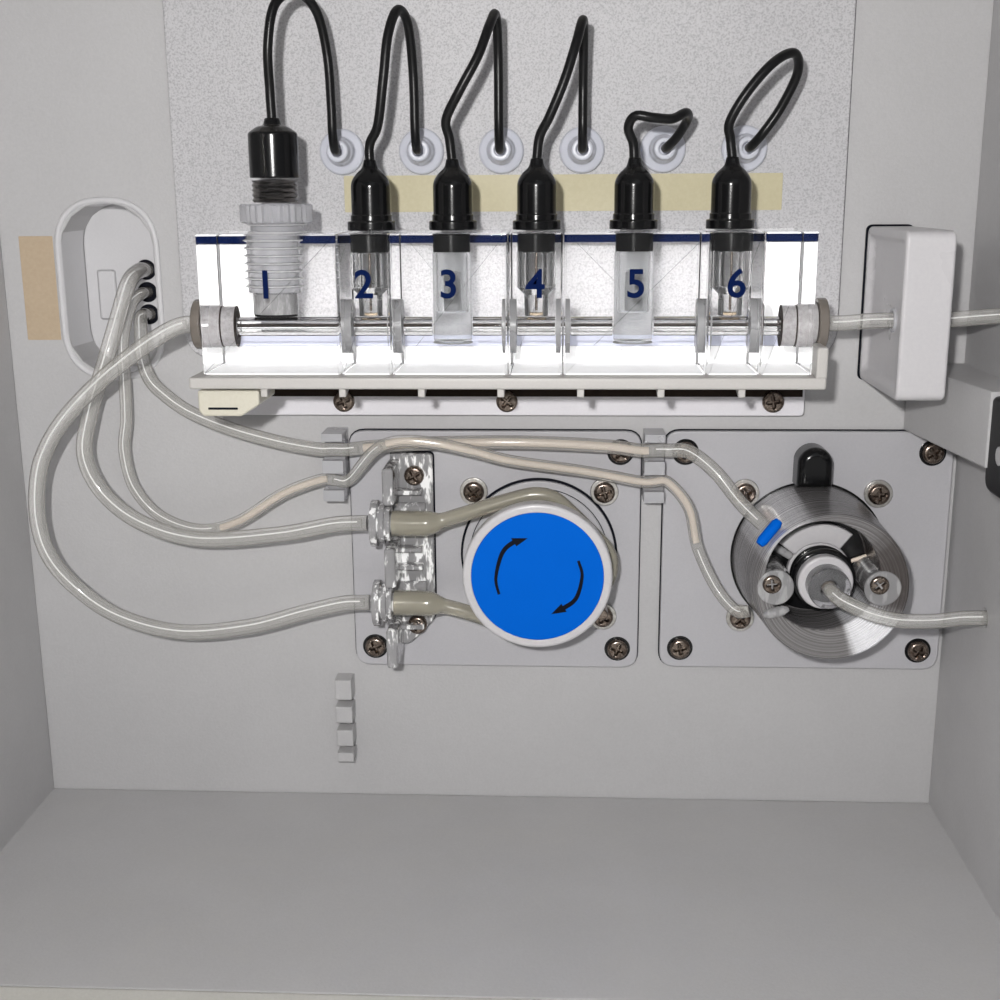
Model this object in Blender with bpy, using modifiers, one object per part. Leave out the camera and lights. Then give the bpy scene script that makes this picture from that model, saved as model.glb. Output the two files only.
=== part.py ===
"""Bench-top electrolyte analyzer with its wet bay open: flow modules, roller pump, rotary valve, tubing and housing.

Metres, +Z up. Every piece is placed from the bay origin: x = 0 at the middle of the bay, y = 0 on the bay's
back wall with -y towards the user, z = 0 on the bay floor. The bay origin itself stands above the bench, so
that the whole part rests on z = 0 with its outer box centred on x = 0, y = 0.
"""

import math

import bmesh
import bpy
from mathutils import Matrix, Vector

MM = 0.001

# Clearances and the lengths that cutters and fused pieces run past each other
GAP = 0.3 * MM
OVERRUN = 2.0 * MM
SINK = 0.6 * MM
MERGE = 0.01 * MM

# Side counts of round pieces
FINE, ROUND, SMALL, TINY = 28, 16, 12, 8

# Wet bay
BAY_SIDE_ROOM = 1.2 * MM
BAY_TOP_ROOM = 8.0 * MM
BAY_DEPTH = 87.7 * MM
LINER_WALL = 3.0 * MM

# Housing
HOUSING_SIDE = 12.0 * MM
REAR_DEPTH = 166.0 * MM
PAN_DROP = 30.0 * MM
PAN_FLOOR = 3.0 * MM
PAN_WALL = 2.5 * MM
COVER_WALL = 3.5 * MM
COVER_HEADROOM = 86.0 * MM
SLOPE_FOOT_RISE = 11.0 * MM
SLOPE_RUN = 54.7 * MM
COVER_CORNER = 6.0 * MM
COVER_ROUND = 1.6 * MM
BEZEL_DEPTH = 8.0 * MM
BEZEL_TOP_RAIL = 10.0 * MM
BEZEL_ROUND = 2.0 * MM
REAR_WALL = 3.0 * MM

# Feet
FOOT_HEIGHT = 10.0 * MM
FOOT_RADIUS = 9.0 * MM
FOOT_WAIST = 8.0 * MM
FOOT_INSET = 25.0 * MM
FOOT_FRONT_Y = -70.0 * MM
FOOT_BACK_Y = 148.0 * MM

# Vent slots
VENT_WIDTH = 3.0 * MM
VENT_LENGTH = 40.0 * MM
VENT_PITCH = 8.0 * MM
SIDE_VENTS = 7
SIDE_VENT_Y = 118.0 * MM
SIDE_VENT_Z = 45.0 * MM
REAR_VENTS = 9
REAR_VENT_INSET = 85.0 * MM
REAR_VENT_Z = 230.0 * MM

# Display and keys, placed on the sloped panel from its middle
DISPLAY_WIDTH = 100.0 * MM
DISPLAY_HEIGHT = 42.0 * MM
DISPLAY_X = -42.0 * MM
DISPLAY_UP = 6.0 * MM
DISPLAY_THICK = 2.0 * MM
KEY_WIDTH = 25.0 * MM
KEY_HEIGHT = 15.0 * MM
KEY_PROUD = 2.4 * MM
KEY_DEPTH = 3.2 * MM
KEY_RIM = 1.6 * MM
KEY_RIM_THICK = 1.2 * MM
KEY_CLEARANCE = 0.4 * MM
KEY_TRAVEL = 1.5 * MM
KEY_UP = 6.0 * MM
ACCEPT_KEY_X = 48.0 * MM
CANCEL_KEY_X = 88.0 * MM

# Printer
PRINTER_X = 69.0 * MM
PRINTER_WIDTH = 70.0 * MM
PRINTER_FRONT_Y = 20.0 * MM
PRINTER_LENGTH = 64.0 * MM
CRADLE_WALL = 2.0 * MM
CRADLE_DEPTH = 48.0 * MM
PAPER_RADIUS = 21.0 * MM
PAPER_CORE = 6.0 * MM
PAPER_WIDTH = 58.0 * MM
LID_THICK = 3.2 * MM
LID_BARREL = 1.8 * MM
LID_BARREL_RISE = 2.1 * MM
LID_BARREL_LENGTH = 50.0 * MM
LID_LUG_LENGTH = 4.0 * MM

# Power inlet and rocker switch
INLET_INSET = 46.0 * MM
INLET_Z = 12.0 * MM
INLET_FLANGE_WIDTH = 34.0 * MM
INLET_FLANGE_HEIGHT = 27.0 * MM
INLET_FLANGE_THICK = 2.0 * MM
INLET_BODY_WIDTH = 27.0 * MM
INLET_BODY_HEIGHT = 20.0 * MM
INLET_BODY_DEPTH = 20.0 * MM
INLET_SOCKET_WIDTH = 23.0 * MM
INLET_SOCKET_HEIGHT = 16.0 * MM
INLET_SOCKET_DEPTH = 14.0 * MM
SWITCH_INSET = 84.0 * MM
ROCKER_WIDTH = 13.0 * MM
ROCKER_HEIGHT = 18.0 * MM
ROCKER_DEPTH = 5.6 * MM
ROCKER_TILT_DEG = 6.0
ROCKER_CLEARANCE = 0.9 * MM
ROCKER_SIDE_CLEARANCE = 0.4 * MM

# Main board
BOARD_WIDTH = 120.0 * MM
BOARD_HEIGHT = 110.0 * MM
BOARD_THICK = 1.6 * MM
BOARD_Z = 120.0 * MM
STANDOFF_LENGTH = 10.0 * MM
STANDOFF_RADIUS = 3.0 * MM
CHIP_HEIGHT = 4.0 * MM

# Bay door, drawn open, square to the front
HINGE_INSET = 3.8 * MM
HINGE_STANDOFF = 4.5 * MM
KNUCKLE_RADIUS = 3.5 * MM
KNUCKLE_LENGTH = 20.0 * MM
PIN_RADIUS = 1.6 * MM
PIN_BORE = 1.9 * MM
LUG_LENGTH = 6.0 * MM
LUG_RADIUS = 3.4 * MM
HINGE_LOW_Z = 40.0 * MM
HINGE_HIGH_Z = 156.0 * MM
DOOR_THICK = 5.0 * MM
DOOR_START = 4.0 * MM
DOOR_SHORTER = 10.1 * MM
DOOR_LOW_Z = -26.0 * MM
DOOR_TOP_LAP = 8.0 * MM
DOOR_BORDER = 18.0 * MM
DOOR_PANE_THICK = 2.5 * MM
DOOR_TAB_REACH = 6.0 * MM
DOOR_TAB_HEIGHT = 44.0 * MM
DOOR_TAB_Z = 100.0 * MM

# Tube recess in the bay's back wall, with its three tube holes
RECESS_X = -91.6 * MM
RECESS_Z = 135.0 * MM
RECESS_WIDTH = 23.6 * MM
RECESS_HEIGHT = 42.4 * MM
RECESS_DEPTH = 15.0 * MM
RECESS_WALL = 2.0 * MM
RECESS_HOLE_X = -87.0 * MM
RECESS_HOLE_TOP_Z = 139.1 * MM
RECESS_HOLE_PITCH = 5.7 * MM
RECESS_HOLES = 3
RECESS_HOLE_RADIUS = 2.3 * MM

# Boss, pivot and tube holes of the bay's right wall
BOSS_LOW_Z = 100.6 * MM
BOSS_HIGH_Z = 116.9 * MM
BOSS_BACK_WIDTH = 13.5 * MM
BOSS_FRONT_WIDTH = 8.0 * MM
BOSS_REACH = 45.0 * MM
WALL_HOLE_RADIUS = 2.2 * MM
SAMPLE_HOLE_Y = -26.0 * MM
SAMPLE_HOLE_Z = 130.8 * MM
RINSE_HOLE_Y = -30.0 * MM
RINSE_HOLE_Z = 62.0 * MM

# Sample probe
PROBE_Y = -57.0 * MM
PROBE_Z = 105.6 * MM
PROBE_HUB_RADIUS = 11.2 * MM
PROBE_THICK = 7.0 * MM
PROBE_WALL_GAP = 0.5 * MM
PROBE_PIVOT_RADIUS = 2.0 * MM
PROBE_PIVOT_BORE = 2.3 * MM
PROBE_ARM_REACH = 17.5 * MM
PROBE_ARM_HEIGHT = 9.0 * MM
NEEDLE_RADIUS = 0.8 * MM
NEEDLE_BORE = 1.1 * MM
NEEDLE_TOP_Z = 112.0 * MM
NEEDLE_LOW_Z = 34.0 * MM
NEEDLE_COLLAR = 1.9 * MM
NEEDLE_COLLAR_LENGTH = 2.4 * MM

# Pan-head screws
HEAD_RADIUS = 3.0 * MM
HEAD_HEIGHT = 2.2 * MM
HEAD_CROWN_share = 0.86
WASHER_RADIUS = 3.6 * MM
WASHER_THICK = 0.6 * MM

# Sensor panel and its six sockets
SHEET = 1.6 * MM
PANEL_LEFT_X = -73.3 * MM
PANEL_RIGHT_X = 86.8 * MM
PANEL_LOW_Z = 118.2 * MM
PANEL_HIGH_Z = 206.0 * MM
PANEL_CORNER = 8.0 * MM
SOCKETS = 6
SOCKET_FIRST_X = -32.1 * MM
SOCKET_PITCH = 18.94 * MM
SOCKET_Z = 167.5 * MM
SOCKET_FLANGE = 5.3 * MM
SOCKET_FLANGE_THICK = 1.9 * MM
SOCKET_CONE = 4.1 * MM
SOCKET_COLLAR = 2.8 * MM
SOCKET_REACH = 7.8 * MM

# Electrode tray
TRAY_LEFT_X = -61.5 * MM
TRAY_RIGHT_X = 77.0 * MM
TRAY_FRONT_Y = -40.0 * MM
TRAY_TOP_Z = 119.0 * MM
TRAY_THICK = 2.6 * MM
TRAY_FLANGE_RIGHT_X = 79.6 * MM
TRAY_FLANGE_LOW_Z = 104.2 * MM
TRAY_FLANGE_TOP_Z = 117.8 * MM
TRAY_FLANGE_THICK = 2.6 * MM
TRAY_RIBS = 7
TRAY_RIB_FIRST_X = -45.0 * MM
TRAY_RIB_PITCH = 17.35 * MM
TRAY_RIB_THICK = 1.4 * MM
TRAY_RIB_DROP = 2.4 * MM
TRAY_POST_WIDTH = 2.4 * MM
TRAY_POST_HEIGHT = 6.5 * MM
TRAY_POST_DEPTH = 9.0 * MM
TRAY_SCREW_XS = (-33.7 * MM, 6.8 * MM, 71.9 * MM)
TRAY_SCREW_Z = 107.8 * MM

# Tray latch
LATCH_LEFT_X = -59.6 * MM
LATCH_WIDTH = 13.6 * MM
LATCH_HEIGHT = 5.7 * MM
LATCH_LENGTH = 16.0 * MM
LATCH_CHAMFER = 2.6 * MM
LATCH_SLIT = 0.6 * MM
LATCH_SLIT_DROP = 3.4 * MM
LATCH_SLIT_DEPTH = 3.0 * MM

# Flow modules, from left to right
BLOCK_LEFT_X = -59.5 * MM
BLOCK_FRONT_Y = -38.0 * MM
BLOCK_DEPTH = 28.0 * MM
BLOCK_TOP_Z = 149.6 * MM
REFERENCE_WIDTH = 31.5 * MM
CHLORIDE_WIDTH = 11.2 * MM
PH_WIDTH = 25.4 * MM
CALCIUM_WIDTH = 11.9 * MM
SODIUM_WIDTH = 31.0 * MM
POTASSIUM_WIDTH = 11.5 * MM
END_WIDTH = 11.2 * MM
FLOW_Y = -24.0 * MM
FLOW_Z = 129.0 * MM
FLOW_BORE = 1.1 * MM
SEAL_RADIUS = 6.3 * MM
SEAL_THICK = 2.2 * MM
SEAL_POCKET = 6.6 * MM
ELECTRODE_RADIUS = 3.7 * MM
ELECTRODE_TIP_RADIUS = 2.4 * MM
ELECTRODE_TIP_Z = 130.3 * MM
ELECTRODE_SHOULDER_Z = 133.0 * MM
ELECTRODE_BORE_Z = 128.6 * MM

# Boots of the ion electrodes
BOOT_COLLAR = 5.4 * MM
BOOT_COLLAR_HEIGHT = 2.0 * MM
BOOT_RADIUS = 4.4 * MM
BOOT_SHOULDER_Z = 160.4 * MM
BOOT_NECK = 1.6 * MM
BOOT_NECK_Z = 163.3 * MM
BOOT_TOP_Z = 165.2 * MM
DOME_share = 0.8

# Reference electrode and its threaded sleeve
REFERENCE_X = -43.8 * MM
SLEEVE_FLANGE = 8.1 * MM
SLEEVE_FLANGE_LOW_Z = 151.4 * MM
SLEEVE_TOP_Z = 155.8 * MM
SLEEVE_THREAD = 6.4 * MM
SLEEVE_PLAIN = 5.2 * MM
SLEEVE_STEP_Z = 139.0 * MM
SLEEVE_LOW_Z = 135.0 * MM
SLEEVE_BORE = 3.7 * MM
STEM_RADIUS = 3.3 * MM
STEM_LOW_Z = 135.4 * MM
STEM_TIP_RADIUS = 1.8 * MM
STEM_TIP_Z = 130.6 * MM
TIP_BORE = 2.2 * MM
RING_RADIUS = 5.2 * MM
RING_GROOVE = 4.8 * MM
RING_RIBS = 1
RING_TOP_Z = 161.4 * MM
CAP_RADIUS = 5.5 * MM
CAP_SHOULDER_Z = 170.4 * MM
CAP_NECK_Z = 172.6 * MM

# Couplings at the two ends of the module row
END_DISC_RADIUS = 5.7 * MM
END_DISC_THICK = 2.2 * MM
END_STUB_RADIUS = 2.6 * MM
END_STUB_LENGTH = 2.0 * MM

# Fixing plates
PLATE_CORNER = 4.0 * MM
PUMP_PLATE_LEFT_X = -33.1 * MM
PUMP_PLATE_RIGHT_X = 40.2 * MM
PUMP_PLATE_LOW_Z = 37.8 * MM
PUMP_PLATE_HIGH_Z = 100.1 * MM
VALVE_PLATE_LEFT_X = 45.9 * MM
VALVE_PLATE_RIGHT_X = 116.8 * MM
VALVE_PLATE_LOW_Z = 38.2 * MM
VALVE_PLATE_HIGH_Z = 100.2 * MM
PLATE_SCREW_INSET = 5.2 * MM
MOUNT_HALF_PITCH = 16.4 * MM

# Pump
PUMP_X = 14.7 * MM
PUMP_Z = 68.4 * MM
MOTOR_BOSS = 8.6 * MM
SHAFT_RADIUS = 2.6 * MM
SHAFT_BORE = 2.9 * MM
SHAFT_REACH = 6.0 * MM
PUMP_MOTOR_RADIUS = 17.5 * MM
PUMP_MOTOR_LENGTH = 50.0 * MM
BASE_RING_RADIUS = 19.3 * MM
BASE_RING_THICK = 1.9 * MM
GUIDE_RADIUS = 1.5 * MM
GUIDE_RING = 19.2 * MM
GUIDE_ANGLE_DEG = -35.0
GUIDE_FRONT_Y = -17.3 * MM
ROTOR_BACK_RADIUS = 13.6 * MM
ROTOR_BACK_Y = -4.6 * MM
ROTOR_DISC_THICK = 1.8 * MM
ROTOR_CORE = 5.2 * MM
ROTOR_CAP_BACK_Y = -17.9 * MM
ROTOR_CAP_RADIUS = 18.0 * MM
ROTOR_CAP_FRONT_Y = -22.0 * MM
ROTOR_CAP_ROUND = 1.0 * MM
ROLLERS = 4
ROLLER_RADIUS = 3.8 * MM
ROLLER_CROWN = 0.25 * MM
ROLLER_BORE = 1.7 * MM
ROLLER_PIN = 1.4 * MM
ROLLER_PITCH = 11.6 * MM

# Pump tube and its anchor
PUMP_TUBE_RADIUS = 1.9 * MM
TUBE_PLANE_Y = -12.0 * MM
ANCHOR_LEFT_X = -22.5 * MM
ANCHOR_RIGHT_X = -11.8 * MM
ANCHOR_BAR_THICK = 2.2 * MM
ANCHOR_FLANGE_THICK = 2.5 * MM
ANCHOR_FRONT_Y = -17.0 * MM
ANCHOR_BAR_LOW_Z = 42.6 * MM
ANCHOR_BAR_HIGH_Z = 93.6 * MM
ANCHOR_FLANGE_LOW_Z = 44.6 * MM
ANCHOR_FLANGE_HIGH_Z = 94.8 * MM
ANCHOR_CUT = 7.0 * MM
ANCHOR_SCREW_X = -16.4 * MM
ANCHOR_SCREW_LOW_Z = 50.2 * MM
ANCHOR_SCREW_HIGH_Z = 89.4 * MM
UPPER_HOSE_Z = 78.9 * MM
LOWER_HOSE_Z = 58.3 * MM
HOSE_DISC = 5.1 * MM
HOSE_DISC_THICK = 1.4 * MM
HOSE_BODY = 3.9 * MM
HOSE_BODY_LENGTH = 2.4 * MM
HOSE_NECK = 2.6 * MM
HOSE_COLLAR = 3.6 * MM
HOSE_COLLAR_THICK = 1.0 * MM

# Valve
VALVE_X = 82.5 * MM
VALVE_Z = 68.3 * MM
VALVE_MOTOR_SIDE = 42.0 * MM
VALVE_MOTOR_LENGTH = 36.0 * MM
VALVE_RADIUS = 18.9 * MM
VALVE_BACK_Y = -2.2 * MM
VALVE_FRONT_Y = -24.2 * MM
VALVE_ROUND = 0.8 * MM
CAVITY_RADIUS = 12.6 * MM
CAVITY_FLOOR_Y = -14.0 * MM
POST_RADIUS = 4.1 * MM
POST_OFFSET = 12.2 * MM
POST_COUNTERBORE = 3.4 * MM
POST_SEAT_Y = -18.0 * MM
PORT_RADIUS = 2.3 * MM
PORT_MOUTH = 3.3 * MM
PORT_MOUTH_DEPTH = 3.0 * MM
PORT_Y = -14.6 * MM
PORT_ANGLES_DEG = (140.0, 213.0)
HUB_RADIUS = 6.5 * MM
HUB_FRONT_Y = -24.6 * MM
SEAT_RADIUS = 7.6 * MM
SEAT_THICK = 2.0 * MM
O_RING_RADIUS = 7.3 * MM
O_RING_BACK_Y = -20.4 * MM
O_RING_FRONT_Y = -22.6 * MM
FITTING_RADIUS = 4.7 * MM
FITTING_BODY_Y = -27.4 * MM
FITTING_NECK = 2.4 * MM
FITTING_FRONT_Y = -29.6 * MM

# Stop on top of the valve
STOP_WIDTH = 8.6 * MM
STOP_LOW_Z = 87.6 * MM
STOP_HIGH_Z = 97.4 * MM
STOP_DEPTH = 7.4 * MM
STOP_X = 82.0 * MM
STOP_ROUND = 3.9 * MM

# Tube clips on the bay wall
CLIP_DEPTH = 8.6 * MM
CLIP_LOW_Z = 83.6 * MM
CLIP_HEIGHT = 17.0 * MM
CLIP_TUBE_Y = -6.6 * MM
CLIP_ROOM = 0.65 * MM
CLIP_LOWER_Z = 88.5 * MM
CLIP_UPPER_Z = 96.3 * MM
CLIP_LEFT_X = -38.7 * MM
CLIP_LEFT_WIDTH = 5.2 * MM
CLIP_RIGHT_X = 40.6 * MM
CLIP_RIGHT_WIDTH = 4.9 * MM
NUB_X = -38.4 * MM
NUB_WIDTH = 4.3 * MM
NUB_DEPTH = 5.0 * MM
NUB_SPANS_Z = ((29.2 * MM, 34.6 * MM), (22.7 * MM, 27.2 * MM), (16.2 * MM, 20.6 * MM), (11.6 * MM, 14.2 * MM))

# Flow detector
DETECTOR_LEFT_X = 92.8 * MM
DETECTOR_WIDTH = 10.6 * MM
DETECTOR_FRONT_Y = -36.0 * MM
DETECTOR_LOW_Z = 113.2 * MM
DETECTOR_HIGH_Z = 149.6 * MM
DETECTOR_ROUND = 1.4 * MM
DETECTOR_WINDOW_INSET = 5.5 * MM
DETECTOR_WINDOW_DEPTH = 3.0 * MM
DETECTOR_BORE = 2.9 * MM
DETECTOR_TUBE_Z = 129.7 * MM

# Tubes and cables
PUMP_LINE_RADIUS = 2.0 * MM
STANDARD_A_RADIUS = 1.75 * MM
STANDARD_B_RADIUS = 1.5 * MM
PROBE_LINE_RADIUS = 1.75 * MM
CABLE_RADIUS = 1.1 * MM
BEND_DEG = 18.0
FINE_BEND_DEG = 11.0
LONGEST_STEP = 16.0 * MM

# Sizes that follow from what the bay holds, and places measured from the bay and the housing
BAY_WIDTH = 2 * (VALVE_PLATE_RIGHT_X + BAY_SIDE_ROOM)
BAY_HEIGHT = PANEL_HIGH_Z + BAY_TOP_ROOM
HOUSING_WIDTH = BAY_WIDTH + 2 * HOUSING_SIDE
DOOR_WIDTH = HOUSING_WIDTH - DOOR_SHORTER
FOOT_SPREAD = HOUSING_WIDTH / 2 - FOOT_INSET
REAR_VENT_X = HOUSING_WIDTH / 2 - REAR_VENT_INSET
INLET_X = INLET_INSET - HOUSING_WIDTH / 2
SWITCH_X = SWITCH_INSET - HOUSING_WIDTH / 2
HINGE_X = HINGE_INSET - HOUSING_WIDTH / 2
BEZEL_BACK = -(BAY_DEPTH + GAP)
BEZEL_FRONT = BEZEL_BACK - BEZEL_DEPTH
HINGE_Y = BEZEL_FRONT - HINGE_STANDOFF
BEZEL_TOP = BAY_HEIGHT + BEZEL_TOP_RAIL
DOOR_HIGH_Z = BAY_HEIGHT + DOOR_TOP_LAP
COVER_TOP = BAY_HEIGHT + COVER_HEADROOM

# Where the bay origin stands, so that the part's outer box rests on z = 0 and is centred on x and y
OUTER_BACK = REAR_DEPTH + GAP + REAR_WALL + GAP + INLET_FLANGE_THICK
OUTER_FRONT = HINGE_Y - DOOR_START - DOOR_WIDTH - DOOR_TAB_REACH
ORIGIN_Y = -(OUTER_BACK + OUTER_FRONT) / 2
ORIGIN_Z = PAN_DROP + GAP + FOOT_HEIGHT

# Places that several pieces share
WALL_FACE = -GAP
SHEET_FRONT = WALL_FACE - SHEET
ON_SHEET = SHEET_FRONT - GAP
TRAY_FACE = WALL_FACE - TRAY_FLANGE_THICK
INNER_HALF = HOUSING_WIDTH / 2 - COVER_WALL - GAP
PAN_TOP = -(LINER_WALL + GAP)
PLATE_BACK = LINER_WALL + GAP

SLOPE_FOOT_Y = -BAY_DEPTH
SLOPE_TOP_Y = SLOPE_FOOT_Y + SLOPE_RUN
SLOPE_FOOT_Z = BAY_HEIGHT + SLOPE_FOOT_RISE
SLOPE_RISE = COVER_TOP - SLOPE_FOOT_Z
SLOPE_ANGLE = math.atan2(SLOPE_RISE, SLOPE_RUN)
SLOPE_LENGTH = math.hypot(SLOPE_RISE, SLOPE_RUN)
SLOPE_MITRE = COVER_WALL * math.tan(SLOPE_ANGLE / 2)


def clear_scene():
    for obj in list(bpy.data.objects):
        bpy.data.objects.remove(obj, do_unlink=True)
    for group in list(bpy.data.collections):
        bpy.data.collections.remove(group)


def new_collection(name):
    group = bpy.data.collections.new(name)
    bpy.context.scene.collection.children.link(group)
    return group


clear_scene()
PARTS = new_collection("electrolyte_analyzer")
CUTTERS = new_collection("cutters")

BAY = bpy.data.objects.new("bay_origin", None)
BAY.location = (0, ORIGIN_Y, ORIGIN_Z)
PARTS.objects.link(BAY)

SLOPE = bpy.data.objects.new("panel_origin", None)
SLOPE.parent = BAY
SLOPE.location = (0, (SLOPE_FOOT_Y + SLOPE_TOP_Y) / 2, (SLOPE_FOOT_Z + COVER_TOP) / 2)
SLOPE.rotation_euler = (SLOPE_ANGLE, 0, 0)
PARTS.objects.link(SLOPE)


def material(name, color, roughness, metallic=0.0, alpha=1.0):
    made = bpy.data.materials.get(name)
    if made:
        return made
    made = bpy.data.materials.new(name)
    made.use_nodes = True
    shader = made.node_tree.nodes["Principled BSDF"]
    shader.inputs["Base Color"].default_value = (*color, 1.0)
    shader.inputs["Roughness"].default_value = roughness
    shader.inputs["Metallic"].default_value = metallic
    shader.inputs["Alpha"].default_value = alpha
    made.diffuse_color = (*color, alpha)
    return made


SHELL = material("shell_plastic", (0.80, 0.80, 0.78), 0.45)
BAY_PAINT = material("bay_paint", (0.62, 0.61, 0.62), 0.50)
PLATE_PAINT = material("plate_paint", (0.60, 0.59, 0.60), 0.42)
DARK = material("black_plastic", (0.02, 0.02, 0.02), 0.35)
SOFT_BLACK = material("black_rubber", (0.03, 0.03, 0.03), 0.70)
ACRYLIC = material("clear_acrylic", (0.86, 0.88, 0.88), 0.05, alpha=0.35)
SMOKED = material("smoked_pane", (0.25, 0.27, 0.30), 0.05, alpha=0.45)
WHITE = material("white_plastic", (0.90, 0.90, 0.88), 0.35)
CREAM = material("cream_plastic", (0.83, 0.80, 0.66), 0.40)
STEEL = material("needle_steel", (0.72, 0.72, 0.72), 0.18, metallic=1.0)
OLIVE = material("pump_tubing", (0.62, 0.60, 0.45), 0.30, alpha=0.8)
TUBING = material("clear_tubing", (0.80, 0.79, 0.74), 0.20, alpha=0.6)
GREEN_KEY = material("green_key", (0.10, 0.42, 0.18), 0.40)
RED_KEY = material("red_key", (0.60, 0.08, 0.06), 0.40)
DISPLAY = material("display_glass", (0.10, 0.16, 0.12), 0.10)
BOARD = material("board_green", (0.02, 0.20, 0.08), 0.50)
PAPER = material("paper", (0.92, 0.92, 0.90), 0.80)


def add(name, data, finish, parent=BAY):
    """Puts a mesh or curve into the part as the sub-part of this name."""
    obj = bpy.data.objects.new(name, data)
    obj.data.materials.append(finish)
    obj.parent = parent
    PARTS.objects.link(obj)
    return obj


def helper(data, parent=BAY):
    """Puts a mesh among the cutters, where it shapes a sub-part and isn't one itself."""
    obj = bpy.data.objects.new("cutter", data)
    obj.parent = parent
    obj.hide_render = True
    obj.display_type = "WIRE"
    CUTTERS.objects.link(obj)
    return obj


def shade(mesh):
    mesh.shade_smooth()
    mesh.set_sharp_from_angle(angle=math.radians(35))
    return mesh


def finish_mesh(bm, name="shape"):
    mesh = bpy.data.meshes.new(name)
    bm.to_mesh(mesh)
    bm.free()
    return mesh


def box_mesh(*spans):
    """A mesh of boxes, each given by its (low, high) spans along x, y and z."""
    bm = bmesh.new()
    for x, y, z in spans:
        middle = Vector(((x[0] + x[1]) / 2, (y[0] + y[1]) / 2, (z[0] + z[1]) / 2))
        size = (x[1] - x[0], y[1] - y[0], z[1] - z[0])
        bmesh.ops.create_cube(bm, size=1.0, matrix=Matrix.Translation(middle) @ Matrix.Diagonal((*size, 1)))
    return finish_mesh(bm)


AXIS_TURN = {"X": Matrix.Rotation(math.pi / 2, 4, "Y"), "Y": Matrix.Rotation(math.pi / 2, 4, "X"), "Z": Matrix()}


def rod_mesh(axis, *rods, sides=SMALL, bore=False):
    """A mesh of round rods along one axis, each given by its radius, its (low, high) span and its centre.

    A bore's flats, and not its corners, lie at the radius.
    """
    bm = bmesh.new()
    grow = 1 / math.cos(math.pi / sides) if bore else 1
    for radius, span, centre in rods:
        place = {"X": ((span[0] + span[1]) / 2, *centre), "Z": (*centre, (span[0] + span[1]) / 2)}
        place["Y"] = (centre[0], (span[0] + span[1]) / 2, centre[1])
        turn = Matrix.Translation(place[axis]) @ AXIS_TURN[axis]
        reach = radius * grow
        bmesh.ops.create_cone(
            bm, cap_ends=True, segments=sides, radius1=reach, radius2=reach, depth=span[1] - span[0], matrix=turn
        )
    return finish_mesh(bm)


def boolean(obj, operation, data, parent=None):
    """Cuts or joins the sub-part with a helper mesh, drawn in the same frame as the sub-part's parent."""
    tool = helper(data, parent or obj.parent)
    step = obj.modifiers.new(operation.lower(), "BOOLEAN")
    step.operation = operation
    step.solver = "EXACT"
    step.object = tool
    return tool


def cut(obj, data, parent=None):
    return boolean(obj, "DIFFERENCE", data, parent)


def join(obj, data, parent=None):
    return boolean(obj, "UNION", data, parent)


def bevel(obj, width, segments=2, angle_deg=50.0):
    step = obj.modifiers.new("rounded edges", "BEVEL")
    step.width = width
    step.segments = segments
    step.limit_method = "ANGLE"
    step.angle_limit = math.radians(angle_deg)
    return obj


def profile_mesh(profile, closed=False):
    """The half section of a turned shape, as (radius, height) pairs that run down its outer side."""
    mesh = bpy.data.meshes.new("profile")
    points = [(radius, 0, height) for radius, height in profile]
    edges = [(i, i + 1) for i in range(len(points) - 1)]
    if closed:
        edges.append((len(points) - 1, 0))
    mesh.from_pydata(points, edges, [])
    return mesh


def screw_modifier(obj, sides):
    step = obj.modifiers.new("turned", "SCREW")
    step.axis = "Z"
    step.steps = sides
    step.render_steps = sides
    step.use_merge_vertices = True
    step.merge_threshold = MERGE
    step.use_smooth_shade = True
    return obj


FACING = {"front": (math.pi / 2, 0, 0), "right": (0, math.pi / 2, 0), "left": (0, -math.pi / 2, 0), "up": (0, 0, 0)}


def turned(name, profile, finish, place, facing="front", sides=ROUND, closed=False):
    """A turned sub-part whose axis points to the front, the right, the left or up from its place."""
    obj = add(name, profile_mesh(profile, closed), finish)
    obj.location = place
    obj.rotation_euler = FACING[facing]
    return screw_modifier(obj, sides)


def turned_group(profile, places, facing, sides, closed=False):
    """One mesh of equal turned solids: the half section is spun with bmesh and set down at each place."""
    bm = bmesh.new()
    turn = {"front": AXIS_TURN["Y"], "right": AXIS_TURN["X"], "up": AXIS_TURN["Z"]}
    turn["left"] = Matrix.Rotation(math.pi, 4, "Z") @ AXIS_TURN["X"]
    for place in places:
        verts = [bm.verts.new((radius, 0, height)) for radius, height in profile]
        edges = [bm.edges.new((verts[i], verts[i + 1])) for i in range(len(verts) - 1)]
        if closed:
            edges.append(bm.edges.new((verts[-1], verts[0])))
        bmesh.ops.spin(
            bm, geom=verts + edges, axis=(0, 0, 1), cent=(0, 0, 0), angle=2 * math.pi, steps=sides, use_merge=True
        )
        fresh = [v for v in bm.verts if not v.tag]
        bmesh.ops.remove_doubles(bm, verts=fresh, dist=MERGE)
        fresh = [v for v in bm.verts if not v.tag]
        bmesh.ops.transform(bm, matrix=Matrix.Translation(place) @ turn[facing], verts=fresh)
        for v in fresh:
            v.tag = True
    bmesh.ops.recalc_face_normals(bm, faces=bm.faces)
    return shade(finish_mesh(bm))


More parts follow.
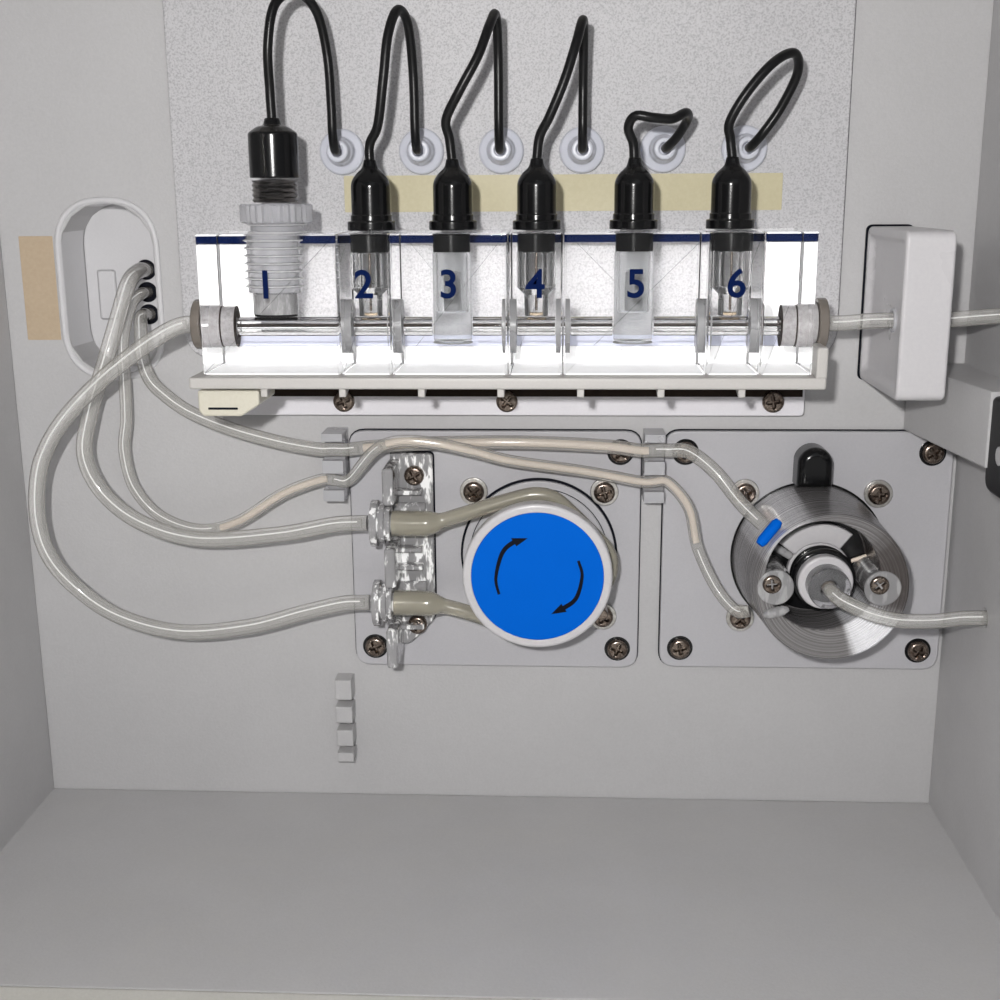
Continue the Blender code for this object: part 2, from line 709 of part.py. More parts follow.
def prism_mesh(outline, axis, span):
    """A flat outline drawn as a filled curve, given its thickness along one axis and made a mesh.

    The outline is in (y, z) for axis X, (x, z) for axis Y and (x, y) for axis Z.
    """
    curve = bpy.data.curves.new("outline", "CURVE")
    curve.dimensions = "2D"
    curve.fill_mode = "BOTH"
    curve.extrude = (span[1] - span[0]) / 2
    line = curve.splines.new("POLY")
    line.points.add(len(outline) - 1)
    for point, (a, b) in zip(line.points, outline):
        point.co = (a, b, 0, 1)
    line.use_cyclic_u = True
    flat = bpy.data.objects.new("outline", curve)
    CUTTERS.objects.link(flat)
    graph = bpy.context.evaluated_depsgraph_get()
    mesh = bpy.data.meshes.new_from_object(flat.evaluated_get(graph))
    bpy.data.objects.remove(flat)
    frames = {
        "X": Matrix(((0, 0, 1, 0), (1, 0, 0, 0), (0, 1, 0, 0), (0, 0, 0, 1))),
        "Y": Matrix(((1, 0, 0, 0), (0, 0, -1, 0), (0, 1, 0, 0), (0, 0, 0, 1))),
        "Z": Matrix(),
    }
    middle = (span[0] + span[1]) / 2
    shift = {"X": (middle, 0, 0), "Y": (0, middle, 0), "Z": (0, 0, middle)}[axis]
    bm = bmesh.new()
    bm.from_mesh(mesh)
    bmesh.ops.remove_doubles(bm, verts=bm.verts, dist=MERGE)
    bmesh.ops.transform(bm, matrix=Matrix.Translation(shift) @ frames[axis], verts=bm.verts)
    bmesh.ops.recalc_face_normals(bm, faces=bm.faces)
    return finish_mesh(bm)


def arc(centre, radius, start_deg, end_deg, steps):
    """Points along an arc of a flat outline."""
    angles = [math.radians(start_deg + (end_deg - start_deg) * i / steps) for i in range(steps + 1)]
    return [(centre[0] + radius * math.cos(a), centre[1] + radius * math.sin(a)) for a in angles]


def rounded_plate(low, high, corner, steps=4, top_corner=None):
    """A rectangle from its low to its high corner, with rounded corners; the top pair may have their own radius."""
    top = corner if top_corner is None else top_corner
    (x0, z0), (x1, z1) = low, high
    outline = arc((x1 - corner, z0 + corner), corner, -90, 0, steps)
    outline += arc((x1 - top, z1 - top), top, 0, 90, steps) if top else [(x1, z1)]
    outline += arc((x0 + top, z1 - top), top, 90, 180, steps) if top else [(x0, z1)]
    outline += arc((x0 + corner, z0 + corner), corner, 180, 270, steps)
    return outline


def stadium(centre, width, height, steps):
    """An upright slot with round ends, as a flat outline."""
    radius = width / 2
    reach = height / 2 - radius
    outline = arc((centre[0], centre[1] + reach), radius, 0, 180, steps)
    outline += arc((centre[0], centre[1] - reach), radius, 180, 360, steps)
    return outline


def smooth_route(points, bend_deg, longest):
    """Points along the smooth curve through a route's own points: close together in bends, far apart on straights."""
    route = [Vector(p) for p in points]
    ends = [2 * route[0] - route[1]] + route + [2 * route[-1] - route[-2]]
    fine = []
    parts = 12
    for a, b, c, d in zip(ends, ends[1:], ends[2:], ends[3:]):
        for i in range(parts):
            t = i / parts
            fine.append(
                0.5 * ((2 * b) + (c - a) * t + (2 * a - 5 * b + 4 * c - d) * t**2 + (3 * b - a - 3 * c + d) * t**3)
            )
    fine.append(route[-1])
    headings = [(b - a).normalized() for a, b in zip(fine, fine[1:])]
    kept = [0]
    run = 0.0
    for i in range(1, len(fine) - 1):
        run += (fine[i] - fine[i - 1]).length
        turned_by = headings[kept[-1]].angle(headings[i], 0.0)
        if turned_by > math.radians(bend_deg) or run > longest:
            kept.append(i)
            run = 0.0
    kept.append(len(fine) - 1)
    length = sum((b - a).length for a, b in zip(fine, fine[1:]))
    return [fine[i] for i in kept], length


def tube_curve(name, radius, points, swell=None, sides_level=2, bend_deg=BEND_DEG):
    """A round tube along a route as a curve; its ends may swell to a sleeve's radius over the sleeve's length."""
    curve = bpy.data.curves.new(name, "CURVE")
    curve.dimensions = "3D"
    curve.bevel_depth = radius
    curve.bevel_resolution = sides_level
    curve.use_fill_caps = True
    places, length = smooth_route(points, bend_deg, LONGEST_STEP)
    line = curve.splines.new("POLY")
    line.points.add(len(places) - 1)
    for point, place in zip(line.points, places):
        point.co = (*place, 1)
        if swell:
            end_run = min((place - places[0]).length, (place - places[-1]).length)
            point.radius = 1.0 + (swell[0] / radius - 1.0) * max(0.0, 1.0 - end_run / swell[1])
    print(name, "length", round(length / MM, 1), "mm")
    return curve


def tube_solid(radius, points):
    """The same tube as a welded mesh, for a sub-part that it's joined to."""
    flat = bpy.data.objects.new("tube", tube_curve("cable", radius, points, None, 1))
    CUTTERS.objects.link(flat)
    graph = bpy.context.evaluated_depsgraph_get()
    mesh = bpy.data.meshes.new_from_object(flat.evaluated_get(graph))
    bpy.data.objects.remove(flat)
    bm = bmesh.new()
    bm.from_mesh(mesh)
    bmesh.ops.remove_doubles(bm, verts=bm.verts, dist=MERGE)
    bmesh.ops.recalc_face_normals(bm, faces=bm.faces)
    return finish_mesh(bm)


def mm_points(*points):
    return [(x * MM, y * MM, z * MM) for x, y, z in points]


# Housing


def make_base_pan():
    """A folded tray under the whole unit, open at the top, whose rim carries the bay liner."""
    pan = add("base_pan", box_mesh(((-INNER_HALF, INNER_HALF), (-BAY_DEPTH, REAR_DEPTH), (-PAN_DROP, PAN_TOP))), SHELL)
    inner = INNER_HALF - PAN_WALL
    cut(
        pan,
        box_mesh(
            (
                (-inner, inner),
                (-BAY_DEPTH + PAN_WALL, REAR_DEPTH - PAN_WALL),
                (-PAN_DROP + PAN_FLOOR, PAN_TOP + OVERRUN),
            )
        ),
    )


def side_outline():
    """The cover's side outline in (y, z): upright front, sloped panel edge, rounded top back corner."""
    back = REAR_DEPTH + GAP + REAR_WALL
    outline = [(SLOPE_FOOT_Y, -PAN_DROP), (back, -PAN_DROP)]
    outline += arc((back - COVER_CORNER, COVER_TOP - COVER_CORNER), COVER_CORNER, 0, 90, 4)
    outline += [(SLOPE_TOP_Y, COVER_TOP), (SLOPE_FOOT_Y, SLOPE_FOOT_Z)]
    return outline


def make_outer_cover():
    """The folded cover: left side, top and right side in one, with vents, printer opening and lid lugs."""
    half = HOUSING_WIDTH / 2
    inner = half - COVER_WALL
    under = COVER_TOP - COVER_WALL
    cover = add("outer_cover", prism_mesh(side_outline(), "X", (-half, half)), SHELL)
    bevel(cover, COVER_ROUND, 1)
    mitre_y = SLOPE_TOP_Y + GAP
    mitre_run = SLOPE_MITRE / COVER_WALL
    hollow = [
        (SLOPE_FOOT_Y - OVERRUN, -PAN_DROP - OVERRUN),
        (REAR_DEPTH + REAR_WALL + OVERRUN, -PAN_DROP - OVERRUN),
        (REAR_DEPTH + REAR_WALL + OVERRUN, under),
        (mitre_y + SLOPE_MITRE, under),
        (mitre_y - mitre_run * OVERRUN, COVER_TOP + OVERRUN),
        (SLOPE_FOOT_Y - OVERRUN, COVER_TOP + OVERRUN),
    ]
    cut(cover, prism_mesh(hollow, "X", (-inner, inner)))
    slots = []
    for i in range(SIDE_VENTS):
        y = SIDE_VENT_Y + (i - (SIDE_VENTS - 1) / 2) * VENT_PITCH
        slots.append(
            (
                (-half - OVERRUN, half + OVERRUN),
                (y - VENT_WIDTH / 2, y + VENT_WIDTH / 2),
                (SIDE_VENT_Z - VENT_LENGTH / 2, SIDE_VENT_Z + VENT_LENGTH / 2),
            )
        )
    cut(cover, box_mesh(*slots))
    cut(
        cover,
        box_mesh(
            (
                (PRINTER_X - PRINTER_WIDTH / 2, PRINTER_X + PRINTER_WIDTH / 2),
                (PRINTER_FRONT_Y, PRINTER_FRONT_Y + PRINTER_LENGTH),
                (under - OVERRUN, COVER_TOP + OVERRUN),
            )
        ),
    )
    lugs = []
    for side in (-1, 1):
        near = PRINTER_X + side * (LID_BARREL_LENGTH / 2 + GAP)
        far = near + side * LID_LUG_LENGTH
        lugs.append(
            (
                (min(near, far), max(near, far)),
                (LID_AXIS_Y + GAP, LID_AXIS_Y + LID_BARREL + LID_LUG_LENGTH),
                (COVER_TOP - SINK, LID_AXIS_Z + LID_BARREL),
            )
        )
    join(cover, box_mesh(*lugs))


LID_AXIS_Y = PRINTER_FRONT_Y + PRINTER_LENGTH + GAP
LID_AXIS_Z = COVER_TOP + LID_BARREL_RISE


def make_control_panel():
    """The sloped panel, mitred at its top edge, with openings for the display and the two keys."""
    half = SLOPE_LENGTH / 2
    outline = [
        (-half, 0),
        (-half, -COVER_WALL),
        (half - SLOPE_MITRE - GAP, -COVER_WALL),
        (half - GAP, 0),
    ]
    panel = add("control_panel", prism_mesh(outline, "X", (-INNER_HALF, INNER_HALF)), SHELL, SLOPE)
    through = (-COVER_WALL - OVERRUN, OVERRUN)
    openings = [
        (
            (DISPLAY_X - DISPLAY_WIDTH / 2 - GAP, DISPLAY_X + DISPLAY_WIDTH / 2 + GAP),
            (DISPLAY_UP - DISPLAY_HEIGHT / 2 - GAP, DISPLAY_UP + DISPLAY_HEIGHT / 2 + GAP),
            through,
        )
    ]
    for x in (ACCEPT_KEY_X, CANCEL_KEY_X):
        openings.append(
            (
                (x - KEY_WIDTH / 2 - KEY_CLEARANCE, x + KEY_WIDTH / 2 + KEY_CLEARANCE),
                (KEY_UP - KEY_HEIGHT / 2 - KEY_CLEARANCE, KEY_UP + KEY_HEIGHT / 2 + KEY_CLEARANCE),
                through,
            )
        )
    cut(panel, box_mesh(*openings), SLOPE)


def make_display_and_keys():
    window = add(
        "display_window",
        box_mesh(
            (
                (-DISPLAY_WIDTH / 2, DISPLAY_WIDTH / 2),
                (-DISPLAY_HEIGHT / 2, DISPLAY_HEIGHT / 2),
                (-COVER_WALL, DISPLAY_THICK - COVER_WALL),
            )
        ),
        DISPLAY,
        SLOPE,
    )
    window.location = (DISPLAY_X, DISPLAY_UP, 0)
    for name, x, finish in (("accept_key", ACCEPT_KEY_X, GREEN_KEY), ("cancel_key", CANCEL_KEY_X, RED_KEY)):
        key = add(
            name,
            box_mesh(
                (
                    (-KEY_WIDTH / 2, KEY_WIDTH / 2),
                    (-KEY_HEIGHT / 2, KEY_HEIGHT / 2),
                    (-COVER_WALL - GAP - SINK, KEY_PROUD),
                )
            ),
            finish,
            SLOPE,
        )
        bevel(key, KEY_RIM / 3, 1)
        rim = helper(
            box_mesh(
                (
                    (-KEY_WIDTH / 2 - KEY_RIM, KEY_WIDTH / 2 + KEY_RIM),
                    (-KEY_HEIGHT / 2 - KEY_RIM, KEY_HEIGHT / 2 + KEY_RIM),
                    (-COVER_WALL - GAP - KEY_RIM_THICK, -COVER_WALL - GAP),
                )
            ),
            SLOPE,
        )
        rim.location = (x, KEY_UP, 0)
        key.location = (x, KEY_UP, 0)
        step = key.modifiers.new("rim", "BOOLEAN")
        step.operation = "UNION"
        step.object = rim


def make_front_bezel():
    """The moulded frame round the bay, with the lugs and pins that carry the door."""
    half = HOUSING_WIDTH / 2
    bezel = add(
        "front_bezel", box_mesh(((-half, half), (BEZEL_FRONT, BEZEL_BACK), (-PAN_DROP, BEZEL_TOP))), SHELL
    )
    bevel(bezel, BEZEL_ROUND, 1)
    bay_half = BAY_WIDTH / 2
    cut(
        bezel,
        box_mesh(((-bay_half, bay_half), (BEZEL_FRONT - OVERRUN, BEZEL_BACK + OVERRUN), (0, BAY_HEIGHT))),
    )
    arms = []
    barrels = []
    pins = []
    for z in (HINGE_LOW_Z, HINGE_HIGH_Z):
        low = (z - GAP - LUG_LENGTH, z - GAP)
        high = (z + KNUCKLE_LENGTH + GAP, z + KNUCKLE_LENGTH + GAP + LUG_LENGTH)
        for span in (low, high):
            arms.append(((HINGE_X - LUG_RADIUS, HINGE_X + LUG_RADIUS), (HINGE_Y, BEZEL_FRONT + SINK), span))
            barrels.append((LUG_RADIUS, span, (HINGE_X, HINGE_Y)))
        pins.append((PIN_RADIUS, (low[0] + SINK, high[1] - SINK), (HINGE_X, HINGE_Y)))
    join(bezel, box_mesh(*arms))
    join(bezel, rod_mesh("Z", *barrels, sides=TINY))
    join(bezel, rod_mesh("Z", *pins, sides=TINY))


def make_rear_panel():
    """The back wall with vent slots and the openings of the power inlet and the rocker switch."""
    y = (REAR_DEPTH + GAP, REAR_DEPTH + GAP + REAR_WALL)
    panel = add(
        "rear_panel", box_mesh(((-INNER_HALF, INNER_HALF), y, (-PAN_DROP, COVER_TOP - COVER_WALL - GAP))), SHELL
    )
    through = (y[0] - OVERRUN, y[1] + OVERRUN)
    holes = []
    for i in range(REAR_VENTS):
        x = REAR_VENT_X + (i - (REAR_VENTS - 1) / 2) * VENT_PITCH
        holes.append(
            (
                (x - VENT_WIDTH / 2, x + VENT_WIDTH / 2),
                through,
                (REAR_VENT_Z - VENT_LENGTH / 2, REAR_VENT_Z + VENT_LENGTH / 2),
            )
        )
    holes.append(
        (
            (INLET_X - INLET_BODY_WIDTH / 2 - GAP, INLET_X + INLET_BODY_WIDTH / 2 + GAP),
            through,
            (INLET_Z - INLET_BODY_HEIGHT / 2 - GAP, INLET_Z + INLET_BODY_HEIGHT / 2 + GAP),
        )
    )
    rocker_half = ROCKER_HEIGHT / 2 + ROCKER_CLEARANCE
    rocker_side = ROCKER_WIDTH / 2 + ROCKER_SIDE_CLEARANCE
    holes.append(
        ((SWITCH_X - rocker_side, SWITCH_X + rocker_side), through, (INLET_Z - rocker_half, INLET_Z + rocker_half))
    )
    cut(panel, box_mesh(*holes))


def make_power_inlet():
    """A mains socket: its flange outside the rear panel, its body through it, its mouth open to the back."""
    face = REAR_DEPTH + GAP + REAR_WALL + GAP
    back = face + INLET_FLANGE_THICK
    inlet = add(
        "power_inlet",
        box_mesh(
            (
                (INLET_X - INLET_FLANGE_WIDTH / 2, INLET_X + INLET_FLANGE_WIDTH / 2),
                (face, back),
                (INLET_Z - INLET_FLANGE_HEIGHT / 2, INLET_Z + INLET_FLANGE_HEIGHT / 2),
            )
        ),
        DARK,
    )
    join(
        inlet,
        box_mesh(
            (
                (INLET_X - INLET_BODY_WIDTH / 2, INLET_X + INLET_BODY_WIDTH / 2),
                (back - INLET_BODY_DEPTH, face + SINK),
                (INLET_Z - INLET_BODY_HEIGHT / 2, INLET_Z + INLET_BODY_HEIGHT / 2),
            )
        ),
    )
    cut(
        inlet,
        box_mesh(
            (
                (INLET_X - INLET_SOCKET_WIDTH / 2, INLET_X + INLET_SOCKET_WIDTH / 2),
                (back - INLET_SOCKET_DEPTH, back + OVERRUN),
                (INLET_Z - INLET_SOCKET_HEIGHT / 2, INLET_Z + INLET_SOCKET_HEIGHT / 2),
            )
        ),
    )


def make_power_switch():
    """The rocker, turned about a crosswise axis in the rear panel's plane."""
    rocker = add(
        "power_switch",
        box_mesh(
            (
                (-ROCKER_WIDTH / 2, ROCKER_WIDTH / 2),
                (-ROCKER_DEPTH / 2, ROCKER_DEPTH / 2),
                (-ROCKER_HEIGHT / 2, ROCKER_HEIGHT / 2),
            )
        ),
        DARK,
    )
    bevel(rocker, SINK, 1)
    rocker.location = (SWITCH_X, REAR_DEPTH + GAP + REAR_WALL / 2, INLET_Z)
    rocker.rotation_euler = (math.radians(ROCKER_TILT_DEG), 0, 0)


def make_foot_strips():
    """Two soft strips along the pan's long sides, on which the unit stands."""
    low = -PAN_DROP - GAP - FOOT_HEIGHT
    for name, x in (("foot_strip_left", -FOOT_SPREAD), ("foot_strip_right", FOOT_SPREAD)):
        outline = [
            (x - FOOT_WAIST, low),
            (x + FOOT_WAIST, low),
            (x + FOOT_RADIUS, low + FOOT_HEIGHT),
            (x - FOOT_RADIUS, low + FOOT_HEIGHT),
        ]
        add(name, prism_mesh(outline, "Y", (FOOT_FRONT_Y, FOOT_BACK_Y)), SOFT_BLACK)


def make_printer():
    """Paper cradle under the top cover, the loose paper roll in it and the hinged lid above."""
    inner_x = (PRINTER_X - PRINTER_WIDTH / 2, PRINTER_X + PRINTER_WIDTH / 2)
    inner_y = (PRINTER_FRONT_Y, PRINTER_FRONT_Y + PRINTER_LENGTH)
    top = COVER_TOP - COVER_WALL - GAP
    floor = top - CRADLE_DEPTH + CRADLE_WALL
    cradle = add(
        "printer_cradle",
        box_mesh(
            (
                (inner_x[0] - CRADLE_WALL, inner_x[1] + CRADLE_WALL),
                (inner_y[0] - CRADLE_WALL, inner_y[1] + CRADLE_WALL),
                (top - CRADLE_DEPTH, top),
            )
        ),
        DARK,
    )
    cut(cradle, box_mesh((inner_x, inner_y, (floor, top + OVERRUN))))

    width = PAPER_WIDTH / 2
    roll = [(PAPER_CORE, width), (PAPER_RADIUS, width), (PAPER_RADIUS, -width), (PAPER_CORE, -width)]
    place = (PRINTER_X, PRINTER_FRONT_Y + PRINTER_LENGTH / 2, floor + GAP + PAPER_RADIUS)
    turned("paper_roll", roll, PAPER, place, "right", ROUND, closed=True)

    lid = add(
        "printer_lid",
        box_mesh(
            (
                (-PRINTER_WIDTH / 2 + GAP, PRINTER_WIDTH / 2 - GAP),
                (-PRINTER_LENGTH, -GAP - GAP),
                (COVER_TOP - LID_THICK - LID_AXIS_Z, COVER_TOP - LID_AXIS_Z),
            )
        ),
        SHELL,
    )
    lid.location = (PRINTER_X, LID_AXIS_Y, LID_AXIS_Z)
    web = helper(
        box_mesh(
            (
                (-LID_BARREL_LENGTH / 2, LID_BARREL_LENGTH / 2),
                (-LID_BARREL * 2, -GAP - GAP),
                (COVER_TOP - SINK - LID_AXIS_Z, LID_BARREL - SINK),
            )
        )
    )
    barrel = helper(rod_mesh("X", (LID_BARREL, (-LID_BARREL_LENGTH / 2, LID_BARREL_LENGTH / 2), (0, 0)), sides=TINY))
    for tool in (web, barrel):
        tool.location = lid.location
        step = lid.modifiers.new("barrel", "BOOLEAN")
        step.operation = "UNION"
        step.object = tool


def make_main_board():
    """The main circuit board on four standoffs inside the rear panel, with its larger chips."""
    back = REAR_DEPTH - STANDOFF_LENGTH
    half = BOARD_WIDTH / 2
    z = (BOARD_Z - BOARD_HEIGHT / 2, BOARD_Z + BOARD_HEIGHT / 2)
    board = add("main_board", box_mesh(((-half, half), (back - BOARD_THICK, back), z)), BOARD)
    inset = STANDOFF_RADIUS * 2
    posts = [
        (STANDOFF_RADIUS, (back - SINK, REAR_DEPTH), (x, level))
        for x in (-half + inset, half - inset)
        for level in (z[0] + inset, z[1] - inset)
    ]
    join(board, rod_mesh("Y", *posts, sides=TINY))
    face = (back - BOARD_THICK - CHIP_HEIGHT, back - BOARD_THICK + SINK)
    chips = [
        ((-half * a, -half * b), face, (BOARD_Z + BOARD_HEIGHT * c, BOARD_Z + BOARD_HEIGHT * d))
        for a, b, c, d in CHIP_PLACES_shares
    ]
    join(board, box_mesh(*chips))


CHIP_PLACES_shares = ((0.7, 0.3, -0.1, 0.14), (0.1, -0.25, 0.0, 0.2), (0.1, -0.1, -0.35, -0.2), (-0.5, -0.8, -0.3, 0.3))


# Bay walls


def make_bay_liner():
    """Floor, ceiling and side walls of the bay in one moulding, with the boss and pivot of the sample probe."""
    half = BAY_WIDTH / 2
    liner = add(
        "bay_liner",
        box_mesh(
            (
                (-half - LINER_WALL, half + LINER_WALL),
                (-BAY_DEPTH, WALL_FACE),
                (-LINER_WALL, BAY_HEIGHT + LINER_WALL),
            )
        ),
        BAY_PAINT,
    )
    cut(liner, box_mesh(((-half, half), (-BAY_DEPTH - OVERRUN, OVERRUN), (0, BAY_HEIGHT))))
    wall = half + SINK
    boss = [
        (wall, WALL_FACE - GAP),
        (half - BOSS_BACK_WIDTH, WALL_FACE - GAP),
        (half - BOSS_FRONT_WIDTH, -BOSS_REACH),
        (wall, -BOSS_REACH),
    ]
    join(liner, prism_mesh(boss, "Z", (BOSS_LOW_Z, BOSS_HIGH_Z)))
    reach = (half - PROBE_WALL_GAP - PROBE_THICK - OVERRUN, half + SINK)
    join(liner, rod_mesh("X", (PROBE_PIVOT_RADIUS, reach, (PROBE_Y, PROBE_Z)), sides=SMALL))
    through = (half - OVERRUN, half + LINER_WALL + OVERRUN)
    cut(
        liner,
        rod_mesh(
            "X",
            (WALL_HOLE_RADIUS, through, (SAMPLE_HOLE_Y, SAMPLE_HOLE_Z)),
            (WALL_HOLE_RADIUS, through, (RINSE_HOLE_Y, RINSE_HOLE_Z)),
            sides=TINY,
            bore=True,
        ),
    )


def make_bay_back_plate():
    """The bay's back wall with its rounded tube recess, three tube holes and two holes for the motor bosses."""
    half = BAY_WIDTH / 2 + LINER_WALL
    plate = add(
        "bay_back_plate",
        box_mesh(((-half, half), (0, LINER_WALL), (-LINER_WALL, BAY_HEIGHT + LINER_WALL))),
        BAY_PAINT,
    )
    cup_half = RECESS_WIDTH / 2 + RECESS_WALL
    cup_rise = RECESS_HEIGHT / 2 + RECESS_WALL
    back = RECESS_DEPTH + RECESS_WALL
    join(
        plate,
        box_mesh(
            (
                (RECESS_X - cup_half, RECESS_X + cup_half),
                (LINER_WALL - SINK, back),
                (RECESS_Z - cup_rise, RECESS_Z + cup_rise),
            )
        ),
    )
    cut(plate, prism_mesh(stadium((RECESS_X, RECESS_Z), RECESS_WIDTH, RECESS_HEIGHT, 8), "Y", (-OVERRUN, RECESS_DEPTH)))
    holes = [
        (
            RECESS_HOLE_RADIUS,
            (RECESS_DEPTH - OVERRUN, back + OVERRUN),
            (RECESS_HOLE_X, RECESS_HOLE_TOP_Z - i * RECESS_HOLE_PITCH),
        )
        for i in range(RECESS_HOLES)
    ]
    cut(plate, rod_mesh("Y", *holes, sides=TINY, bore=True))
    bosses = [
        (MOTOR_BOSS + GAP, (-OVERRUN, LINER_WALL + OVERRUN), centre)
        for centre in ((PUMP_X, PUMP_Z), (VALVE_X, VALVE_Z))
    ]
    cut(plate, rod_mesh("Y", *bosses, sides=SMALL, bore=True))
    join_tube_clips(plate)


def join_tube_clips(plate):
    """Two double tube clips and a column of spare nubs, moulded on the bay's back wall."""
    y = (WALL_FACE - CLIP_DEPTH, SINK)
    z = (CLIP_LOW_Z, CLIP_LOW_Z + CLIP_HEIGHT)
    blocks = [
        ((CLIP_LEFT_X, CLIP_LEFT_X + CLIP_LEFT_WIDTH), y, z),
        ((CLIP_RIGHT_X, CLIP_RIGHT_X + CLIP_RIGHT_WIDTH), y, z),
    ]
    blocks += [((NUB_X, NUB_X + NUB_WIDTH), (WALL_FACE - NUB_DEPTH, SINK), span) for span in NUB_SPANS_Z]
    join(plate, box_mesh(*blocks))
    rods = []
    mouths = []
    for x in (CLIP_LEFT_X, CLIP_RIGHT_X):
        span = (x - OVERRUN, x + CLIP_LEFT_WIDTH + OVERRUN)
        for radius, level in ((STANDARD_B_RADIUS, CLIP_LOWER_Z), (STANDARD_A_RADIUS, CLIP_UPPER_Z)):
            rods.append((radius + CLIP_ROOM, span, (CLIP_TUBE_Y, level)))
            mouths.append((span, (y[0] - OVERRUN, CLIP_TUBE_Y), (level - radius - CLIP_ROOM, level + radius + CLIP_ROOM)))
    cut(plate, rod_mesh("X", *rods, sides=TINY, bore=True))
    cut(plate, box_mesh(*mouths))


# Screws


def screw_profile(washer):
    """A pan head that starts just inside the face it stands on; a motor screw's head stands on a washer."""
    top = HEAD_HEIGHT + (WASHER_THICK if washer else 0)
    foot = WASHER_RADIUS if washer else HEAD_RADIUS
    return [(0, top), (HEAD_RADIUS * HEAD_CROWN_share, top), (foot, -SINK), (0, -SINK)]


def plate_screws(left, right, low, high):
    inset = PLATE_SCREW_INSET
    return [(x, z) for x in (left + inset, right - inset) for z in (low + inset, high - inset)]


def mount_screws(x, z):
    reach = MOUNT_HALF_PITCH
    return [(x + a, z + b) for a in (-reach, reach) for b in (-reach, reach)]


PUMP_SCREWS = plate_screws(PUMP_PLATE_LEFT_X, PUMP_PLATE_RIGHT_X, PUMP_PLATE_LOW_Z, PUMP_PLATE_HIGH_Z)
VALVE_SCREWS = plate_screws(VALVE_PLATE_LEFT_X, VALVE_PLATE_RIGHT_X, VALVE_PLATE_LOW_Z, VALVE_PLATE_HIGH_Z)
PUMP_MOUNTS = mount_screws(PUMP_X, PUMP_Z)
VALVE_MOUNTS = mount_screws(VALVE_X, VALVE_Z)
TRAY_SCREWS = [(x, TRAY_SCREW_Z) for x in TRAY_SCREW_XS]
ANCHOR_SCREWS = [(ANCHOR_SCREW_X, ANCHOR_SCREW_LOW_Z), (ANCHOR_SCREW_X, ANCHOR_SCREW_HIGH_Z)]
POST_SCREWS = [(VALVE_X - POST_OFFSET, VALVE_Z), (VALVE_X + POST_OFFSET, VALVE_Z)]


def join_screws(obj, face, places, washer=False):
    """Sets pan-head screws on a sub-part's front face, as one body with it."""
    join(obj, turned_group(screw_profile(washer), [(x, face, z) for x, z in places], "front", TINY))


# Sensor row


def make_sensor_panel():
    """The panel over the electrodes with its six bushings: a flange on the sheet and a tapered collar."""
    outline = rounded_plate((PANEL_LEFT_X, PANEL_LOW_Z), (PANEL_RIGHT_X, PANEL_HIGH_Z), PANEL_CORNER, 4, 0)
    panel = add("sensor_panel", prism_mesh(outline, "Y", (SHEET_FRONT, WALL_FACE)), PLATE_PAINT)
    profile = [
        (0, SOCKET_REACH),
        (SOCKET_COLLAR, SOCKET_REACH),
        (SOCKET_CONE, SOCKET_FLANGE_THICK),
        (SOCKET_FLANGE, SOCKET_FLANGE_THICK),
        (SOCKET_FLANGE, -SINK),
        (0, -SINK),
    ]
    places = [(SOCKET_FIRST_X + i * SOCKET_PITCH, SHEET_FRONT, SOCKET_Z) for i in range(SOCKETS)]
    join(panel, turned_group(profile, places, "front", SMALL))


def make_electrode_tray():
    """A shelf on a wall flange, with ribs below, an end post and the three screw holes of its flange."""
    shelf_z = (TRAY_TOP_Z - TRAY_THICK, TRAY_TOP_Z)
    tray = add(
        "electrode_tray",
        box_mesh(((TRAY_LEFT_X, TRAY_RIGHT_X), (TRAY_FRONT_Y, SHEET_FRONT - GAP), shelf_z)),
        PLATE_PAINT,
    )
    join(
        tray,
        box_mesh(
            (
                (TRAY_LEFT_X - GAP, TRAY_FLANGE_RIGHT_X),
                (TRAY_FACE, WALL_FACE),
                (TRAY_FLANGE_LOW_Z, TRAY_FLANGE_TOP_Z),
            )
        ),
    )
    ribs = []
    for i in range(TRAY_RIBS):
        x = TRAY_RIB_FIRST_X + i * TRAY_RIB_PITCH
        ribs.append(
            (
                (x - TRAY_RIB_THICK / 2, x + TRAY_RIB_THICK / 2),
                (TRAY_FRONT_Y + GAP, TRAY_FACE + SINK),
                (shelf_z[0] - TRAY_RIB_DROP, shelf_z[0] + SINK),
            )
        )
    ribs.append(
        (
            (TRAY_RIGHT_X - TRAY_POST_WIDTH, TRAY_RIGHT_X),
            (TRAY_FRONT_Y, TRAY_FRONT_Y + TRAY_POST_DEPTH),
            (TRAY_TOP_Z - SINK, TRAY_TOP_Z + TRAY_POST_HEIGHT),
        )
    )
    join(tray, box_mesh(*ribs))
    join_screws(tray, TRAY_FACE, TRAY_SCREWS)


LATCH_TOP_Z = TRAY_TOP_Z - TRAY_THICK - GAP


def make_tray_latch():
    """The cream latch under the tray's left end: chamfered front corner, and a slit across its face."""
    right = LATCH_LEFT_X + LATCH_WIDTH
    low = LATCH_TOP_Z - LATCH_HEIGHT
    outline = [
        (LATCH_LEFT_X, low),
        (right - LATCH_CHAMFER, low),
        (right, low + LATCH_CHAMFER),
        (right, LATCH_TOP_Z),
        (LATCH_LEFT_X, LATCH_TOP_Z),
    ]
    latch = add("tray_latch", prism_mesh(outline, "Y", (TRAY_FRONT_Y, TRAY_FRONT_Y + LATCH_LENGTH)), CREAM)
    slit_z = LATCH_TOP_Z - LATCH_SLIT_DROP
    cut(
        latch,
        box_mesh(
            (
                (LATCH_LEFT_X - OVERRUN, right - LATCH_CHAMFER),
                (TRAY_FRONT_Y - OVERRUN, TRAY_FRONT_Y + LATCH_SLIT_DEPTH),
                (slit_z - LATCH_SLIT, slit_z),
            )
        ),
    )


